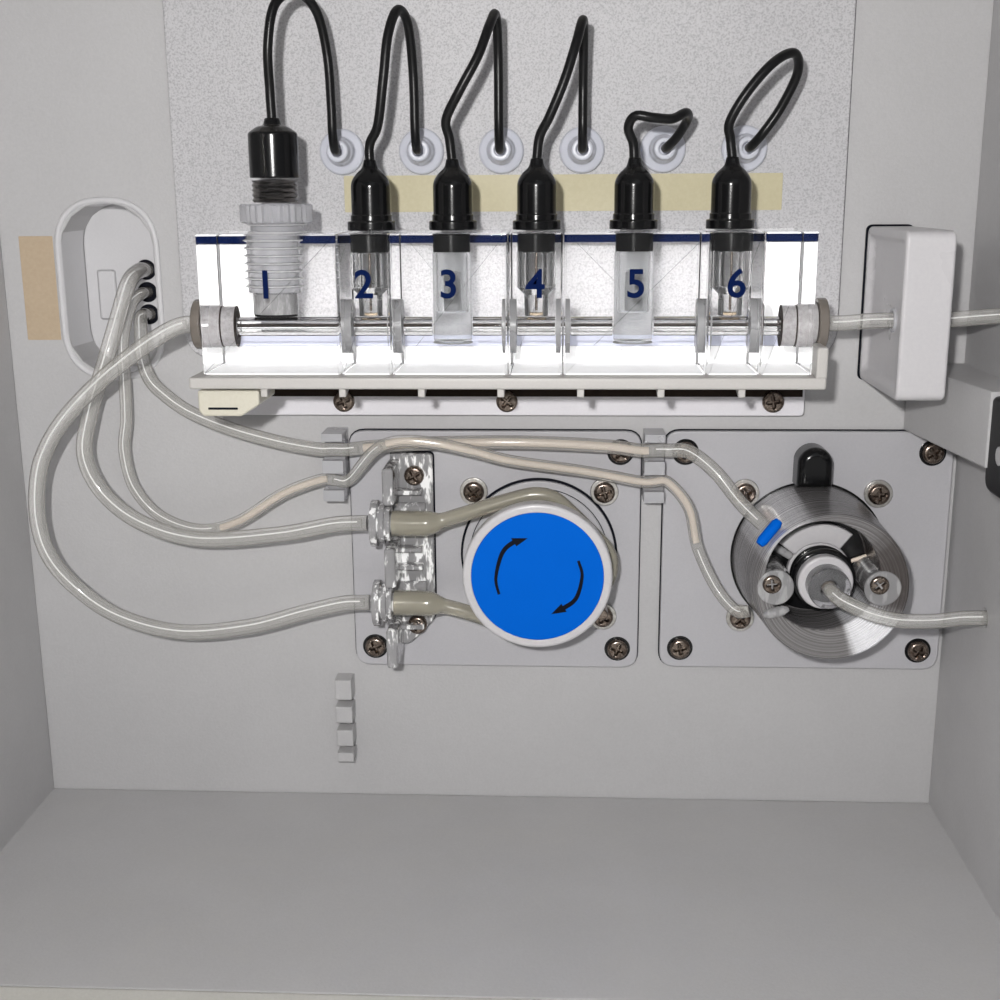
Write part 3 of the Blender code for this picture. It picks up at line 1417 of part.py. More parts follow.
def module_edges():
    """The left edge of each module of the row, and the right edge of the last one."""
    edges = [BLOCK_LEFT_X]
    for width in (
        REFERENCE_WIDTH, CHLORIDE_WIDTH, PH_WIDTH, CALCIUM_WIDTH, SODIUM_WIDTH, POTASSIUM_WIDTH, END_WIDTH
    ):
        edges.append(edges[-1] + width)
    return edges


EDGES = module_edges()
ELECTRODE_XS = [(EDGES[i] + EDGES[i + 1]) / 2 for i in range(1, 6)]
MODULES = (
    "reference_block", "chloride_module", "ph_module", "calcium_module", "sodium_module", "potassium_module",
    "end_block",
)


def end_coupling(side, edge):
    """A coupling on an end face of the row: its knurled disc and a stub for the tube."""
    start = edge - side * SINK
    disc = edge + side * END_DISC_THICK
    stub = disc + side * END_STUB_LENGTH
    centre = (FLOW_Y, FLOW_Z)
    return [
        rod_mesh("X", (END_DISC_RADIUS, (min(start, disc), max(start, disc)), centre), sides=ROUND),
        rod_mesh("X", (END_STUB_RADIUS, (min(disc - side * SINK, stub), max(disc - side * SINK, stub)), centre)),
    ]


def make_modules():
    """Clear blocks side by side on the tray: a seal boss on each right face fits the next block's pocket."""
    floor = TRAY_TOP_Z + GAP
    y = (BLOCK_FRONT_Y, BLOCK_FRONT_Y + BLOCK_DEPTH)
    centre = (FLOW_Y, FLOW_Z)
    last = len(MODULES) - 1
    for i, name in enumerate(MODULES):
        left = EDGES[i] + (GAP / 2 if i else 0)
        right = EDGES[i + 1] - (GAP / 2 if i < last else 0)
        block = add(name, box_mesh(((left, right), y, (floor, BLOCK_TOP_Z))), ACRYLIC)
        if i:
            pocket = (SEAL_POCKET, (left - OVERRUN, EDGES[i] + SEAL_THICK / 2 + GAP), centre)
            cut(block, rod_mesh("X", pocket, sides=ROUND, bore=True))
        if i < last:
            boss = (SEAL_RADIUS, (right - SINK, EDGES[i + 1] + SEAL_THICK / 2), centre)
            join(block, rod_mesh("X", boss, sides=ROUND))
        ends = []
        if i == 0:
            ends = end_coupling(-1, left)
        if i == last:
            ends = end_coupling(1, right)
        for shape in ends:
            join(block, shape)
        reach = END_DISC_THICK + END_STUB_LENGTH + OVERRUN
        cut(block, rod_mesh("X", (FLOW_BORE, (left - reach, right + reach), centre), sides=TINY, bore=True))
        bores = []
        if i == 0:
            bores = [
                (SLEEVE_THREAD + GAP, (SLEEVE_STEP_Z - GAP, BLOCK_TOP_Z + OVERRUN)),
                (SLEEVE_PLAIN + GAP, (SLEEVE_LOW_Z - GAP, SLEEVE_STEP_Z)),
                (STEM_TIP_RADIUS + GAP, (ELECTRODE_BORE_Z, SLEEVE_LOW_Z)),
            ]
        elif i < last:
            bores = [(ELECTRODE_RADIUS + GAP, (ELECTRODE_BORE_Z, BLOCK_TOP_Z + OVERRUN))]
        x = REFERENCE_X if i == 0 else (EDGES[i] + EDGES[i + 1]) / 2
        for radius, span in bores:
            cut(block, rod_mesh("Z", (radius, span, (x, FLOW_Y)), sides=SMALL, bore=True))


def make_ion_electrodes():
    """Five electrodes: tapered tip over the flow bore, boot on top and the boot's own cable to its bushing."""
    low = BLOCK_TOP_Z + GAP
    profile = [
        (0, BOOT_TOP_Z),
        (BOOT_NECK, BOOT_TOP_Z),
        (BOOT_NECK, BOOT_NECK_Z),
        (BOOT_RADIUS, BOOT_SHOULDER_Z),
        (BOOT_RADIUS, low + BOOT_COLLAR_HEIGHT),
        (BOOT_COLLAR, low + BOOT_COLLAR_HEIGHT),
        (BOOT_COLLAR, low),
        (ELECTRODE_RADIUS, low),
        (ELECTRODE_RADIUS, ELECTRODE_SHOULDER_Z),
        (ELECTRODE_TIP_RADIUS, ELECTRODE_TIP_Z),
        (0, ELECTRODE_TIP_Z),
    ]
    names = [name.replace("module", "electrode") for name in MODULES[1:6]]
    for name, x, route in zip(names, ELECTRODE_XS, CABLE_ROUTES[1:]):
        electrode = turned(name, profile, DARK, (x, FLOW_Y, 0), "up", SMALL)
        join(electrode, tube_solid(CABLE_RADIUS, route))


def make_reference_electrode():
    """The threaded clear sleeve in the reference block, and the reference electrode through its bore."""
    sleeve = [
        (SLEEVE_BORE, SLEEVE_TOP_Z),
        (SLEEVE_FLANGE, SLEEVE_TOP_Z),
        (SLEEVE_FLANGE, SLEEVE_FLANGE_LOW_Z),
        (SLEEVE_THREAD, SLEEVE_FLANGE_LOW_Z),
        (SLEEVE_THREAD, SLEEVE_STEP_Z),
        (SLEEVE_PLAIN, SLEEVE_STEP_Z),
        (SLEEVE_PLAIN, SLEEVE_LOW_Z),
        (SLEEVE_BORE, SLEEVE_LOW_Z),
    ]
    place = (REFERENCE_X, FLOW_Y, 0)
    turned("reference_sleeve", sleeve, ACRYLIC, place, "up", ROUND, closed=True)
    ring_low = SLEEVE_TOP_Z + GAP
    ring = []
    pitch = (RING_TOP_Z - ring_low) / (2 * RING_RIBS + 1)
    for i in range(2 * RING_RIBS + 1):
        radius = RING_RADIUS if i % 2 == 0 else RING_GROOVE
        ring += [(radius, RING_TOP_Z - i * pitch), (radius, RING_TOP_Z - (i + 1) * pitch)]
    profile = [
        (0, CAP_NECK_Z + BOOT_NECK),
        (BOOT_NECK, CAP_NECK_Z + BOOT_NECK),
        (BOOT_NECK, CAP_NECK_Z),
        (CAP_RADIUS * DOME_share, (CAP_NECK_Z + CAP_SHOULDER_Z) / 2),
        (CAP_RADIUS, CAP_SHOULDER_Z),
        (CAP_RADIUS, RING_TOP_Z),
        *ring[1:],
        (STEM_RADIUS, ring_low),
        (STEM_RADIUS, STEM_LOW_Z + STEM_RADIUS / 2),
        (STEM_TIP_RADIUS, STEM_LOW_Z),
        (STEM_TIP_RADIUS, STEM_TIP_Z),
        (0, STEM_TIP_Z),
    ]
    electrode = turned("reference_electrode", profile, DARK, place, "up", SMALL)
    join(electrode, tube_solid(CABLE_RADIUS, CABLE_ROUTES[0]))


# Pump


def fixing_plate(name, low, high, centre, screws, mounts):
    """A flat plate with rounded corners on the back wall, open round a motor boss, with its screws."""
    plate = add(name, prism_mesh(rounded_plate(low, high, PLATE_CORNER), "Y", (SHEET_FRONT, WALL_FACE)), PLATE_PAINT)
    span = (SHEET_FRONT - OVERRUN, WALL_FACE + OVERRUN)
    cut(plate, rod_mesh("Y", (MOTOR_BOSS + GAP, span, centre), sides=SMALL, bore=True))
    join_screws(plate, SHEET_FRONT, screws)
    join_screws(plate, SHEET_FRONT, mounts, True)
    return plate


def make_fixing_plates():
    fixing_plate(
        "pump_plate",
        (PUMP_PLATE_LEFT_X, PUMP_PLATE_LOW_Z),
        (PUMP_PLATE_RIGHT_X, PUMP_PLATE_HIGH_Z),
        (PUMP_X, PUMP_Z),
        PUMP_SCREWS,
        PUMP_MOUNTS,
    )
    valve_plate = fixing_plate(
        "valve_plate",
        (VALVE_PLATE_LEFT_X, VALVE_PLATE_LOW_Z),
        (VALVE_PLATE_RIGHT_X, VALVE_PLATE_HIGH_Z),
        (VALVE_X, VALVE_Z),
        VALVE_SCREWS,
        VALVE_MOUNTS,
    )
    join_stop(valve_plate)


def make_drive_motors():
    """The two gear motors behind the bay wall, one round and one square, with bosses through the wall."""
    boss_top = -SHEET_FRONT
    floor = -PLATE_BACK
    bore_end = floor - SHAFT_REACH
    profile = [
        (SHAFT_BORE, boss_top),
        (MOTOR_BOSS, boss_top),
        (MOTOR_BOSS, floor),
        (PUMP_MOTOR_RADIUS, floor),
        (PUMP_MOTOR_RADIUS, floor - PUMP_MOTOR_LENGTH),
        (0, floor - PUMP_MOTOR_LENGTH),
        (0, bore_end),
        (SHAFT_BORE, bore_end),
    ]
    turned("pump_motor", profile, DARK, (PUMP_X, 0, PUMP_Z), "front", ROUND, closed=True)
    half = VALVE_MOTOR_SIDE / 2
    x = (VALVE_X - half, VALVE_X + half)
    y = (PLATE_BACK, PLATE_BACK + VALVE_MOTOR_LENGTH)
    motor = add("valve_motor", box_mesh((x, y, (VALVE_Z - half, VALVE_Z + half))), DARK)
    join(motor, rod_mesh("Y", (MOTOR_BOSS, (SHEET_FRONT, PLATE_BACK + SINK), (VALVE_X, VALVE_Z)), sides=SMALL))
    cut(motor, rod_mesh("Y", (SHAFT_BORE, (-OVERRUN * 2, PLATE_BACK + SHAFT_REACH), (VALVE_X, VALVE_Z)), sides=SMALL, bore=True))


def make_pump_ring():
    """The flat base ring of the pump on its plate, with the guide post for the tube at its lower right."""
    profile = [
        (MOTOR_BOSS + GAP, BASE_RING_THICK),
        (BASE_RING_RADIUS, BASE_RING_THICK),
        (BASE_RING_RADIUS, 0),
        (MOTOR_BOSS + GAP, 0),
    ]
    ring = turned("pump_ring", profile, WHITE, (PUMP_X, ON_SHEET, PUMP_Z), "front", FINE, closed=True)
    angle = math.radians(GUIDE_ANGLE_DEG)
    centre = (PUMP_X + GUIDE_RING * math.cos(angle), PUMP_Z + GUIDE_RING * math.sin(angle))
    join(ring, rod_mesh("Y", (GUIDE_RADIUS, (GUIDE_FRONT_Y, ON_SHEET - SINK), centre), sides=TINY))


def roller_centre(index):
    angle = math.pi / 2 - index * 2 * math.pi / ROLLERS
    return (PUMP_X + ROLLER_PITCH * math.cos(angle), PUMP_Z + ROLLER_PITCH * math.sin(angle))


def make_pump_rotor():
    """Shaft, back disc, core and front cap turned in one, with the four roller pins."""
    front = -ROTOR_CAP_FRONT_Y
    cap_back = -ROTOR_CAP_BACK_Y
    disc_front = -(ROTOR_BACK_Y - ROTOR_DISC_THICK)
    disc_back = -ROTOR_BACK_Y
    profile = [
        (0, front),
        (ROTOR_CAP_RADIUS - ROTOR_CAP_ROUND, front),
        (ROTOR_CAP_RADIUS, front - ROTOR_CAP_ROUND),
        (ROTOR_CAP_RADIUS, cap_back),
        (ROTOR_CORE, cap_back),
        (ROTOR_CORE, disc_front),
        (ROTOR_BACK_RADIUS, disc_front),
        (ROTOR_BACK_RADIUS, disc_back),
        (SHAFT_RADIUS, disc_back),
        (SHAFT_RADIUS, -PLATE_BACK - SHAFT_REACH + OVERRUN),
        (0, -PLATE_BACK - SHAFT_REACH + OVERRUN),
    ]
    rotor = turned("pump_rotor", profile, WHITE, (PUMP_X, 0, PUMP_Z), "front", FINE)
    pins = [
        (ROLLER_PIN, (ROTOR_CAP_BACK_Y - SINK, -disc_front + SINK), roller_centre(i)) for i in range(ROLLERS)
    ]
    join(rotor, rod_mesh("Y", *pins, sides=TINY))


def make_rollers():
    """Four slightly crowned rollers between the rotor's two discs."""
    front = -ROTOR_CAP_BACK_Y - GAP
    back = -(ROTOR_BACK_Y - ROTOR_DISC_THICK) + GAP
    middle = (front + back) / 2
    profile = [
        (ROLLER_BORE, front),
        (ROLLER_RADIUS - ROLLER_CROWN, front),
        (ROLLER_RADIUS, middle),
        (ROLLER_RADIUS - ROLLER_CROWN, back),
        (ROLLER_BORE, back),
    ]
    for i in range(ROLLERS):
        x, z = roller_centre(i)
        turned(f"roller_{i + 1}", profile, CREAM, (x, 0, z), "front", SMALL, closed=True)


def hose_coupling():
    """Flange disc and body left of the anchor's bar, neck through it, collar right of it."""
    neck_left = -GAP - GAP
    neck_right = ANCHOR_BAR_THICK + GAP
    body = neck_left - HOSE_BODY_LENGTH
    return [
        (0, neck_right + HOSE_COLLAR_THICK),
        (HOSE_COLLAR, neck_right + HOSE_COLLAR_THICK),
        (HOSE_COLLAR, neck_right),
        (HOSE_NECK, neck_right),
        (HOSE_NECK, neck_left),
        (HOSE_BODY, neck_left),
        (HOSE_BODY, body),
        (HOSE_DISC, body),
        (HOSE_DISC, body - HOSE_DISC_THICK),
        (0, body - HOSE_DISC_THICK),
    ]


def make_hose_anchor():
    """A clear bracket: a screwed flange and an upright bar that holds the two hose couplings."""
    face = ON_SHEET - ANCHOR_FLANGE_THICK
    outline = [
        (ANCHOR_LEFT_X, ANCHOR_FLANGE_LOW_Z),
        (ANCHOR_RIGHT_X - ANCHOR_CUT, ANCHOR_FLANGE_LOW_Z),
        (ANCHOR_RIGHT_X, ANCHOR_FLANGE_LOW_Z + ANCHOR_CUT),
        (ANCHOR_RIGHT_X, ANCHOR_FLANGE_HIGH_Z),
        (ANCHOR_LEFT_X, ANCHOR_FLANGE_HIGH_Z),
    ]
    anchor = add("hose_anchor", prism_mesh(outline, "Y", (face, ON_SHEET)), ACRYLIC)
    bar = (ANCHOR_LEFT_X - GAP, ANCHOR_LEFT_X + ANCHOR_BAR_THICK)
    join(anchor, box_mesh((bar, (ANCHOR_FRONT_Y, ON_SHEET - GAP), (ANCHOR_BAR_LOW_Z, ANCHOR_BAR_HIGH_Z))))
    places = [(ANCHOR_LEFT_X, TUBE_PLANE_Y, z) for z in (UPPER_HOSE_Z, LOWER_HOSE_Z)]
    join(anchor, turned_group(hose_coupling(), places, "right", SMALL))
    join_screws(anchor, face, ANCHOR_SCREWS)


# Valve


def make_valve_body():
    """A thick turned acrylic cylinder with an open front cavity, two screw posts in it and two side ports."""
    front = -VALVE_FRONT_Y
    back = -VALVE_BACK_Y
    cavity = -CAVITY_FLOOR_Y
    profile = [
        (CAVITY_RADIUS, front),
        (VALVE_RADIUS - VALVE_ROUND, front),
        (VALVE_RADIUS, front - VALVE_ROUND),
        (VALVE_RADIUS, back),
        (SHAFT_BORE, back),
        (SHAFT_BORE, cavity),
        (CAVITY_RADIUS, cavity),
    ]
    body = turned("valve_body", profile, ACRYLIC, (VALVE_X, 0, VALVE_Z), "front", FINE, closed=True)
    post_span = (VALVE_FRONT_Y + GAP, CAVITY_FLOOR_Y + SINK)
    join(body, rod_mesh("Y", *[(POST_RADIUS, post_span, place) for place in POST_SCREWS], sides=SMALL))
    bore_span = (VALVE_FRONT_Y - OVERRUN, POST_SEAT_Y)
    cut(body, rod_mesh("Y", *[(POST_COUNTERBORE, bore_span, place) for place in POST_SCREWS], sides=SMALL, bore=True))
    join_screws(body, POST_SEAT_Y, POST_SCREWS)
    for angle_deg in PORT_ANGLES_DEG:
        angle = math.radians(angle_deg)
        port = Matrix.Translation((VALVE_X, PORT_Y, VALVE_Z)) @ Matrix.Rotation(-angle, 4, "Y")
        bore = rod_mesh("X", (PORT_RADIUS, (VALVE_RADIUS - PORT_MOUTH_DEPTH * 2, VALVE_RADIUS + OVERRUN), (0, 0)), sides=TINY)
        bore.transform(port)
        mouth = rod_mesh("X", (PORT_MOUTH, (VALVE_RADIUS - PORT_MOUTH_DEPTH, VALVE_RADIUS + OVERRUN), (0, 0)), sides=SMALL)
        mouth.transform(port)
        cut(body, bore)
        cut(body, mouth)


def make_valve_rotor():
    """The white rotor: seat disc, hub with its O-ring, the rinse tube's fitting in front, shaft into the motor."""
    seat_back = -CAVITY_FLOOR_Y + GAP
    end = -PLATE_BACK - SHAFT_REACH + OVERRUN
    profile = [
        (0, -FITTING_FRONT_Y),
        (FITTING_NECK, -FITTING_FRONT_Y),
        (FITTING_NECK, -FITTING_BODY_Y),
        (FITTING_RADIUS, -FITTING_BODY_Y),
        (FITTING_RADIUS, -HUB_FRONT_Y),
        (HUB_RADIUS, -HUB_FRONT_Y),
        (HUB_RADIUS, -O_RING_FRONT_Y),
        (O_RING_RADIUS, -O_RING_FRONT_Y - GAP),
        (O_RING_RADIUS, -O_RING_BACK_Y + GAP),
        (HUB_RADIUS, -O_RING_BACK_Y),
        (HUB_RADIUS, seat_back + SEAT_THICK),
        (SEAT_RADIUS, seat_back + SEAT_THICK),
        (SEAT_RADIUS, seat_back),
        (SHAFT_RADIUS, seat_back),
        (SHAFT_RADIUS, end),
        (0, end),
    ]
    turned("valve_rotor", profile, WHITE, (VALVE_X, 0, VALVE_Z), "front", ROUND)


def join_stop(plate):
    """The black dome-topped stop above the valve body, on the valve's plate."""
    half = STOP_WIDTH / 2
    outline = [(STOP_X + half, STOP_LOW_Z), (STOP_X + half, STOP_HIGH_Z - STOP_ROUND)]
    outline += arc((STOP_X + half - STOP_ROUND, STOP_HIGH_Z - STOP_ROUND), STOP_ROUND, 0, 90, 4)[1:]
    outline += arc((STOP_X - half + STOP_ROUND, STOP_HIGH_Z - STOP_ROUND), STOP_ROUND, 90, 180, 4)
    outline += [(STOP_X - half, STOP_LOW_Z)]
    join(plate, prism_mesh(outline, "Y", (SHEET_FRONT - STOP_DEPTH, SHEET_FRONT + SINK)))


# Detector and probe


def make_flow_detector():
    """The white box that the sample tube runs through, with a window recess in its left face."""
    x = (DETECTOR_LEFT_X, DETECTOR_LEFT_X + DETECTOR_WIDTH)
    box = add(
        "flow_detector", box_mesh((x, (DETECTOR_FRONT_Y, WALL_FACE), (DETECTOR_LOW_Z, DETECTOR_HIGH_Z))), WHITE
    )
    bevel(box, DETECTOR_ROUND, 2)
    inset = DETECTOR_WINDOW_INSET
    cut(
        box,
        box_mesh(
            (
                (x[0] - OVERRUN, x[0] + DETECTOR_WINDOW_DEPTH),
                (DETECTOR_FRONT_Y + inset, WALL_FACE - inset),
                (DETECTOR_LOW_Z + inset, DETECTOR_HIGH_Z - inset),
            )
        ),
    )
    cut(
        box,
        rod_mesh("X", (DETECTOR_BORE, (x[0] - OVERRUN, x[1] + OVERRUN), (FLOW_Y, DETECTOR_TUBE_Z)), sides=TINY, bore=True),
    )


def make_probe():
    """The black probe arm on its pivot by the right wall, and the steel sample needle that it swings out."""
    half = BAY_WIDTH / 2
    x = (half - PROBE_WALL_GAP - PROBE_THICK, half - PROBE_WALL_GAP)
    arm = add("probe_arm", rod_mesh("X", (PROBE_HUB_RADIUS, x, (0, 0)), sides=ROUND), DARK)
    arm.location = (0, PROBE_Y, PROBE_Z)
    reach = helper(
        box_mesh((x, (-PROBE_ARM_REACH - NEEDLE_COLLAR - GAP, 0), (-PROBE_ARM_HEIGHT / 2, PROBE_ARM_HEIGHT / 2)))
    )
    bore = helper(rod_mesh("X", (PROBE_PIVOT_BORE, (x[0] - OVERRUN, x[1] + OVERRUN), (0, 0)), sides=SMALL, bore=True))
    middle = (x[0] + x[1]) / 2
    seat = helper(
        rod_mesh("Z", (NEEDLE_BORE, (-PROBE_HUB_RADIUS * 2, PROBE_HUB_RADIUS * 2), (middle, -PROBE_ARM_REACH)), sides=TINY)
    )
    for tool, operation in ((reach, "UNION"), (bore, "DIFFERENCE"), (seat, "DIFFERENCE")):
        tool.location = arm.location
        step = arm.modifiers.new(operation.lower(), "BOOLEAN")
        step.operation = operation
        step.object = tool

    top = PROBE_ARM_HEIGHT / 2 + GAP
    needle = [
        (0, NEEDLE_TOP_Z + NEEDLE_COLLAR_LENGTH - PROBE_Z),
        (NEEDLE_COLLAR, NEEDLE_TOP_Z + NEEDLE_COLLAR_LENGTH - PROBE_Z),
        (NEEDLE_COLLAR, top),
        (NEEDLE_RADIUS, top),
        (NEEDLE_RADIUS, NEEDLE_LOW_Z - PROBE_Z),
        (0, NEEDLE_LOW_Z - PROBE_Z),
    ]
    turned("sample_probe", needle, STEEL, (middle, PROBE_Y - PROBE_ARM_REACH, PROBE_Z), "up", TINY)


# Bay door


def make_bay_door():
    """The door frame and its pane, drawn open at a right angle, with knuckles round the bezel's pins."""
    far = -DOOR_START - DOOR_WIDTH
    half = DOOR_THICK / 2
    z = (DOOR_LOW_Z, DOOR_HIGH_Z)
    door = add("door_frame", box_mesh(((-half, half), (far, -DOOR_START), z)), SHELL)
    door.location = (HINGE_X, HINGE_Y, 0)
    border = DOOR_BORDER
    window = ((-half - OVERRUN, half + OVERRUN), (far + border, -DOOR_START - border), (z[0] + border, z[1] - border))
    tab = ((-half, half), (far - DOOR_TAB_REACH, far + SINK), (DOOR_TAB_Z, DOOR_TAB_Z + DOOR_TAB_HEIGHT))
    webs = []
    knuckles = []
    bores = []
    for low in (HINGE_LOW_Z, HINGE_HIGH_Z):
        span = (low, low + KNUCKLE_LENGTH)
        webs.append(((-half, half), (-DOOR_START - SINK, 0), span))
        knuckles.append((KNUCKLE_RADIUS, span, (0, 0)))
        bores.append((PIN_BORE, (span[0] - OVERRUN, span[1] + OVERRUN), (0, 0)))
    tools = (
        (box_mesh(window), "DIFFERENCE"),
        (box_mesh(tab, *webs), "UNION"),
        (rod_mesh("Z", *knuckles, sides=SMALL), "UNION"),
        (rod_mesh("Z", *bores, sides=TINY, bore=True), "DIFFERENCE"),
    )
    for data, operation in tools:
        tool = helper(data)
        tool.location = door.location
        step = door.modifiers.new(operation.lower(), "BOOLEAN")
        step.operation = operation
        step.object = tool
    pane_half = DOOR_PANE_THICK / 2
    pane = add(
        "door_pane",
        box_mesh(
            (
                (-pane_half, pane_half),
                (window[1][0] + GAP, window[1][1] - GAP),
                (window[2][0] + GAP, window[2][1] - GAP),
            )
        ),
        SMOKED,
    )
    pane.location = door.location


# Tubes and cables, with their routes' own points in millimetres from the bay origin

OUTLET_ROUTE = mm_points(
    (-64.3, -24.0, 129.0), (-66.2, -24.0, 128.9), (-70.0, -23.5, 127.6), (-78.0, -21.5, 123.0), (-89.0, -19.0, 115.0),
    (-98.5, -16.5, 106.5), (-104.5, -15.0, 99.0), (-108.2, -14.0, 91.0), (-109.6, -13.5, 80.0),
    (-108.0, -12.5, 70.0), (-102.0, -12.0, 61.5), (-91.5, -12.0, 54.0), (-76.0, -12.0, 50.0),
    (-58.5, -12.0, 51.6), (-44.0, -12.0, 55.6), (-34.5, -12.0, 57.9), (-29.5, -12.0, 58.25), (-27.45, -12.0, 58.3),
)
WASTE_ROUTE = mm_points(
    (-87.0, 15.0, 139.1), (-87.0, 8.0, 139.0), (-87.3, 1.0, 136.5), (-89.0, -4.0, 128.0),
    (-91.8, -7.0, 118.0), (-96.0, -8.6, 105.5), (-97.9, -9.5, 95.0), (-93.8, -10.0, 85.6),
    (-84.5, -10.5, 78.2), (-70.0, -11.0, 74.2), (-50.0, -12.0, 75.8), (-36.0, -12.0, 78.4), (-29.5, -12.0, 78.85),
    (-27.45, -12.0, 78.9),
)
STANDARD_B_ROUTE = mm_points(
    (-87.0, 15.0, 133.4), (-87.0, 8.0, 133.2), (-88.0, 3.5, 130.8), (-88.6, -2.0, 123.0),
    (-88.2, -4.2, 113.0), (-88.3, -5.0, 103.5), (-89.4, -5.0, 95.5), (-87.6, -5.0, 86.0),
    (-81.5, -5.0, 78.6), (-71.5, -5.5, 75.2), (-61.5, -6.0, 77.4), (-49.5, -6.4, 84.8),
    (-39.8, -6.6, 88.5), (-36.0, -6.6, 88.5), (-32.4, -6.6, 88.6), (-25.5, -10.6, 96.6),
    (-20.0, -11.2, 99.2), (-12.0, -10.9, 99.0), (-2.0, -10.5, 96.9), (8.0, -8.8, 94.0), (26.0, -6.8, 91.0),
    (39.6, -6.6, 88.5), (43.0, -6.6, 88.5), (46.6, -6.6, 88.3), (51.8, -7.4, 82.0),
    (54.2, -8.4, 72.0), (58.8, -10.6, 62.5), (63.4, -13.6, 57.6), (66.6, -14.6, 57.98),
)
STANDARD_A_ROUTE = mm_points(
    (-87.0, 15.0, 127.7), (-87.0, 8.0, 127.6), (-86.0, 4.0, 124.6), (-84.2, -1.5, 118.6), (-82.0, -4.0, 113.6),
    (-78.6, -4.8, 110.0), (-72.0, -5.4, 105.4), (-61.5, -6.0, 101.2), (-49.5, -6.5, 98.0),
    (-39.8, -6.6, 96.3), (-36.0, -6.6, 96.3), (-32.4, -6.6, 96.3), (-26.0, -6.7, 97.0), (-13.0, -6.7, 97.9),
    (10.0, -6.6, 98.2), (30.0, -6.7, 97.4), (39.6, -6.6, 96.3), (43.0, -6.6, 96.3), (46.6, -6.6, 96.3),
    (51.5, -8.0, 96.2), (57.5, -11.0, 92.0), (63.4, -13.4, 85.0), (69.45, -14.6, 79.25),
)
SAMPLE_ROUTE = mm_points(
    (79.1, -24.0, 129.0), (84.0, -24.0, 129.1), (90.0, -24.0, 129.6), (98.0, -24.0, 129.7),
    (106.0, -24.2, 129.8), (112.0, -25.4, 130.4), (116.5, -26.0, 130.8), (120.0, -26.0, 130.8),
)
RINSE_ROUTE = mm_points(
    (82.5, -29.95, 68.3), (82.6, -31.4, 68.25), (84.0, -34.0, 67.4), (86.8, -35.4, 66.2), (91.5, -35.2, 64.2),
    (98.0, -33.8, 62.4), (106.0, -31.6, 61.6), (113.0, -30.2, 61.9), (120.0, -30.0, 62.0),
)
PUMP_ROUTE = mm_points(
    (-18.3, -12.0, 78.9), (-12.0, -12.0, 79.0), (-4.0, -12.0, 81.2), (4.0, -12.0, 83.8), (9.5, -12.0, 85.4),
    (12.4, -12.0, 86.15), (14.7, -12.0, 86.3), (17.1, -12.0, 85.95), (19.6, -12.0, 84.7), (22.9, -12.0, 81.6),
    (27.9, -12.0, 76.6), (31.0, -12.0, 73.3), (32.3, -12.0, 70.8), (32.6, -12.0, 68.4), (32.3, -12.0, 66.0),
    (31.0, -12.0, 63.5), (27.9, -12.0, 60.2), (22.9, -12.0, 55.2), (19.6, -12.0, 52.1), (17.1, -12.0, 50.85),
    (14.7, -12.0, 50.5), (12.2, -12.0, 50.75), (8.0, -12.0, 52.1), (2.0, -12.0, 54.3), (-5.0, -12.0, 56.6),
    (-12.0, -12.0, 58.1), (-18.3, -12.0, 58.3),
)
CABLE_ROUTES = (
    mm_points(
        (-43.8, -24.0, 173.8), (-43.9, -24.2, 180.0), (-43.6, -25.5, 189.0), (-41.8, -25.0, 197.5),
        (-37.8, -21.5, 200.5), (-34.2, -17.5, 197.0), (-32.6, -15.0, 188.0), (-32.1, -15.0, 177.0),
        (-32.1, -14.8, 171.5), (-32.1, -13.0, 168.1), (-32.1, -10.5, 167.5),
    ),
    mm_points(
        (-22.4, -24.0, 164.6), (-22.2, -24.2, 168.6), (-20.2, -25.2, 172.5), (-18.6, -26.2, 182.0),
        (-17.4, -25.6, 191.0), (-15.6, -22.6, 196.4), (-13.9, -18.6, 194.0), (-13.3, -15.4, 184.0),
        (-13.2, -14.9, 171.5), (-13.2, -13.0, 168.1), (-13.2, -10.5, 167.5),
    ),
    mm_points(
        (-4.1, -24.0, 164.6), (-4.6, -24.3, 169.5), (-5.2, -25.2, 173.5), (-2.0, -26.6, 179.5),
        (2.0, -26.4, 186.5), (4.4, -24.0, 193.0), (5.5, -19.8, 195.4), (5.8, -16.0, 188.0),
        (5.8, -15.0, 172.5), (5.8, -13.1, 168.2), (5.8, -10.5, 167.5),
    ),
    mm_points(
        (14.5, -24.0, 164.6), (15.2, -24.4, 169.8), (17.4, -25.6, 174.0), (20.6, -26.2, 181.5),
        (23.0, -25.0, 189.0), (24.4, -21.6, 194.0), (24.7, -17.6, 191.0), (24.7, -14.8, 181.0),
        (24.7, -14.8, 172.0), (24.7, -13.0, 168.1), (24.7, -10.5, 167.5),
    ),
    mm_points(
        (35.9, -24.0, 164.6), (35.6, -24.2, 168.2), (34.4, -25.2, 171.4), (35.8, -26.6, 173.8),
        (39.5, -26.8, 173.4), (43.8, -25.4, 173.2), (47.0, -22.2, 174.6), (47.8, -18.2, 173.4),
        (45.9, -15.0, 169.9), (44.2, -12.9, 168.0), (43.66, -10.6, 167.5),
    ),
    mm_points(
        (57.2, -24.0, 164.6), (56.6, -24.2, 169.0), (56.2, -25.2, 172.4), (59.6, -26.2, 178.5),
        (65.0, -25.8, 184.5), (69.8, -22.6, 186.6), (71.4, -18.4, 183.0), (68.6, -16.0, 176.0),
        (64.9, -15.0, 170.4), (63.0, -13.0, 168.0), (62.6, -10.6, 167.5),
    ),
)
SLEEVE_SWELL = (3.3 * MM, 10.0 * MM)


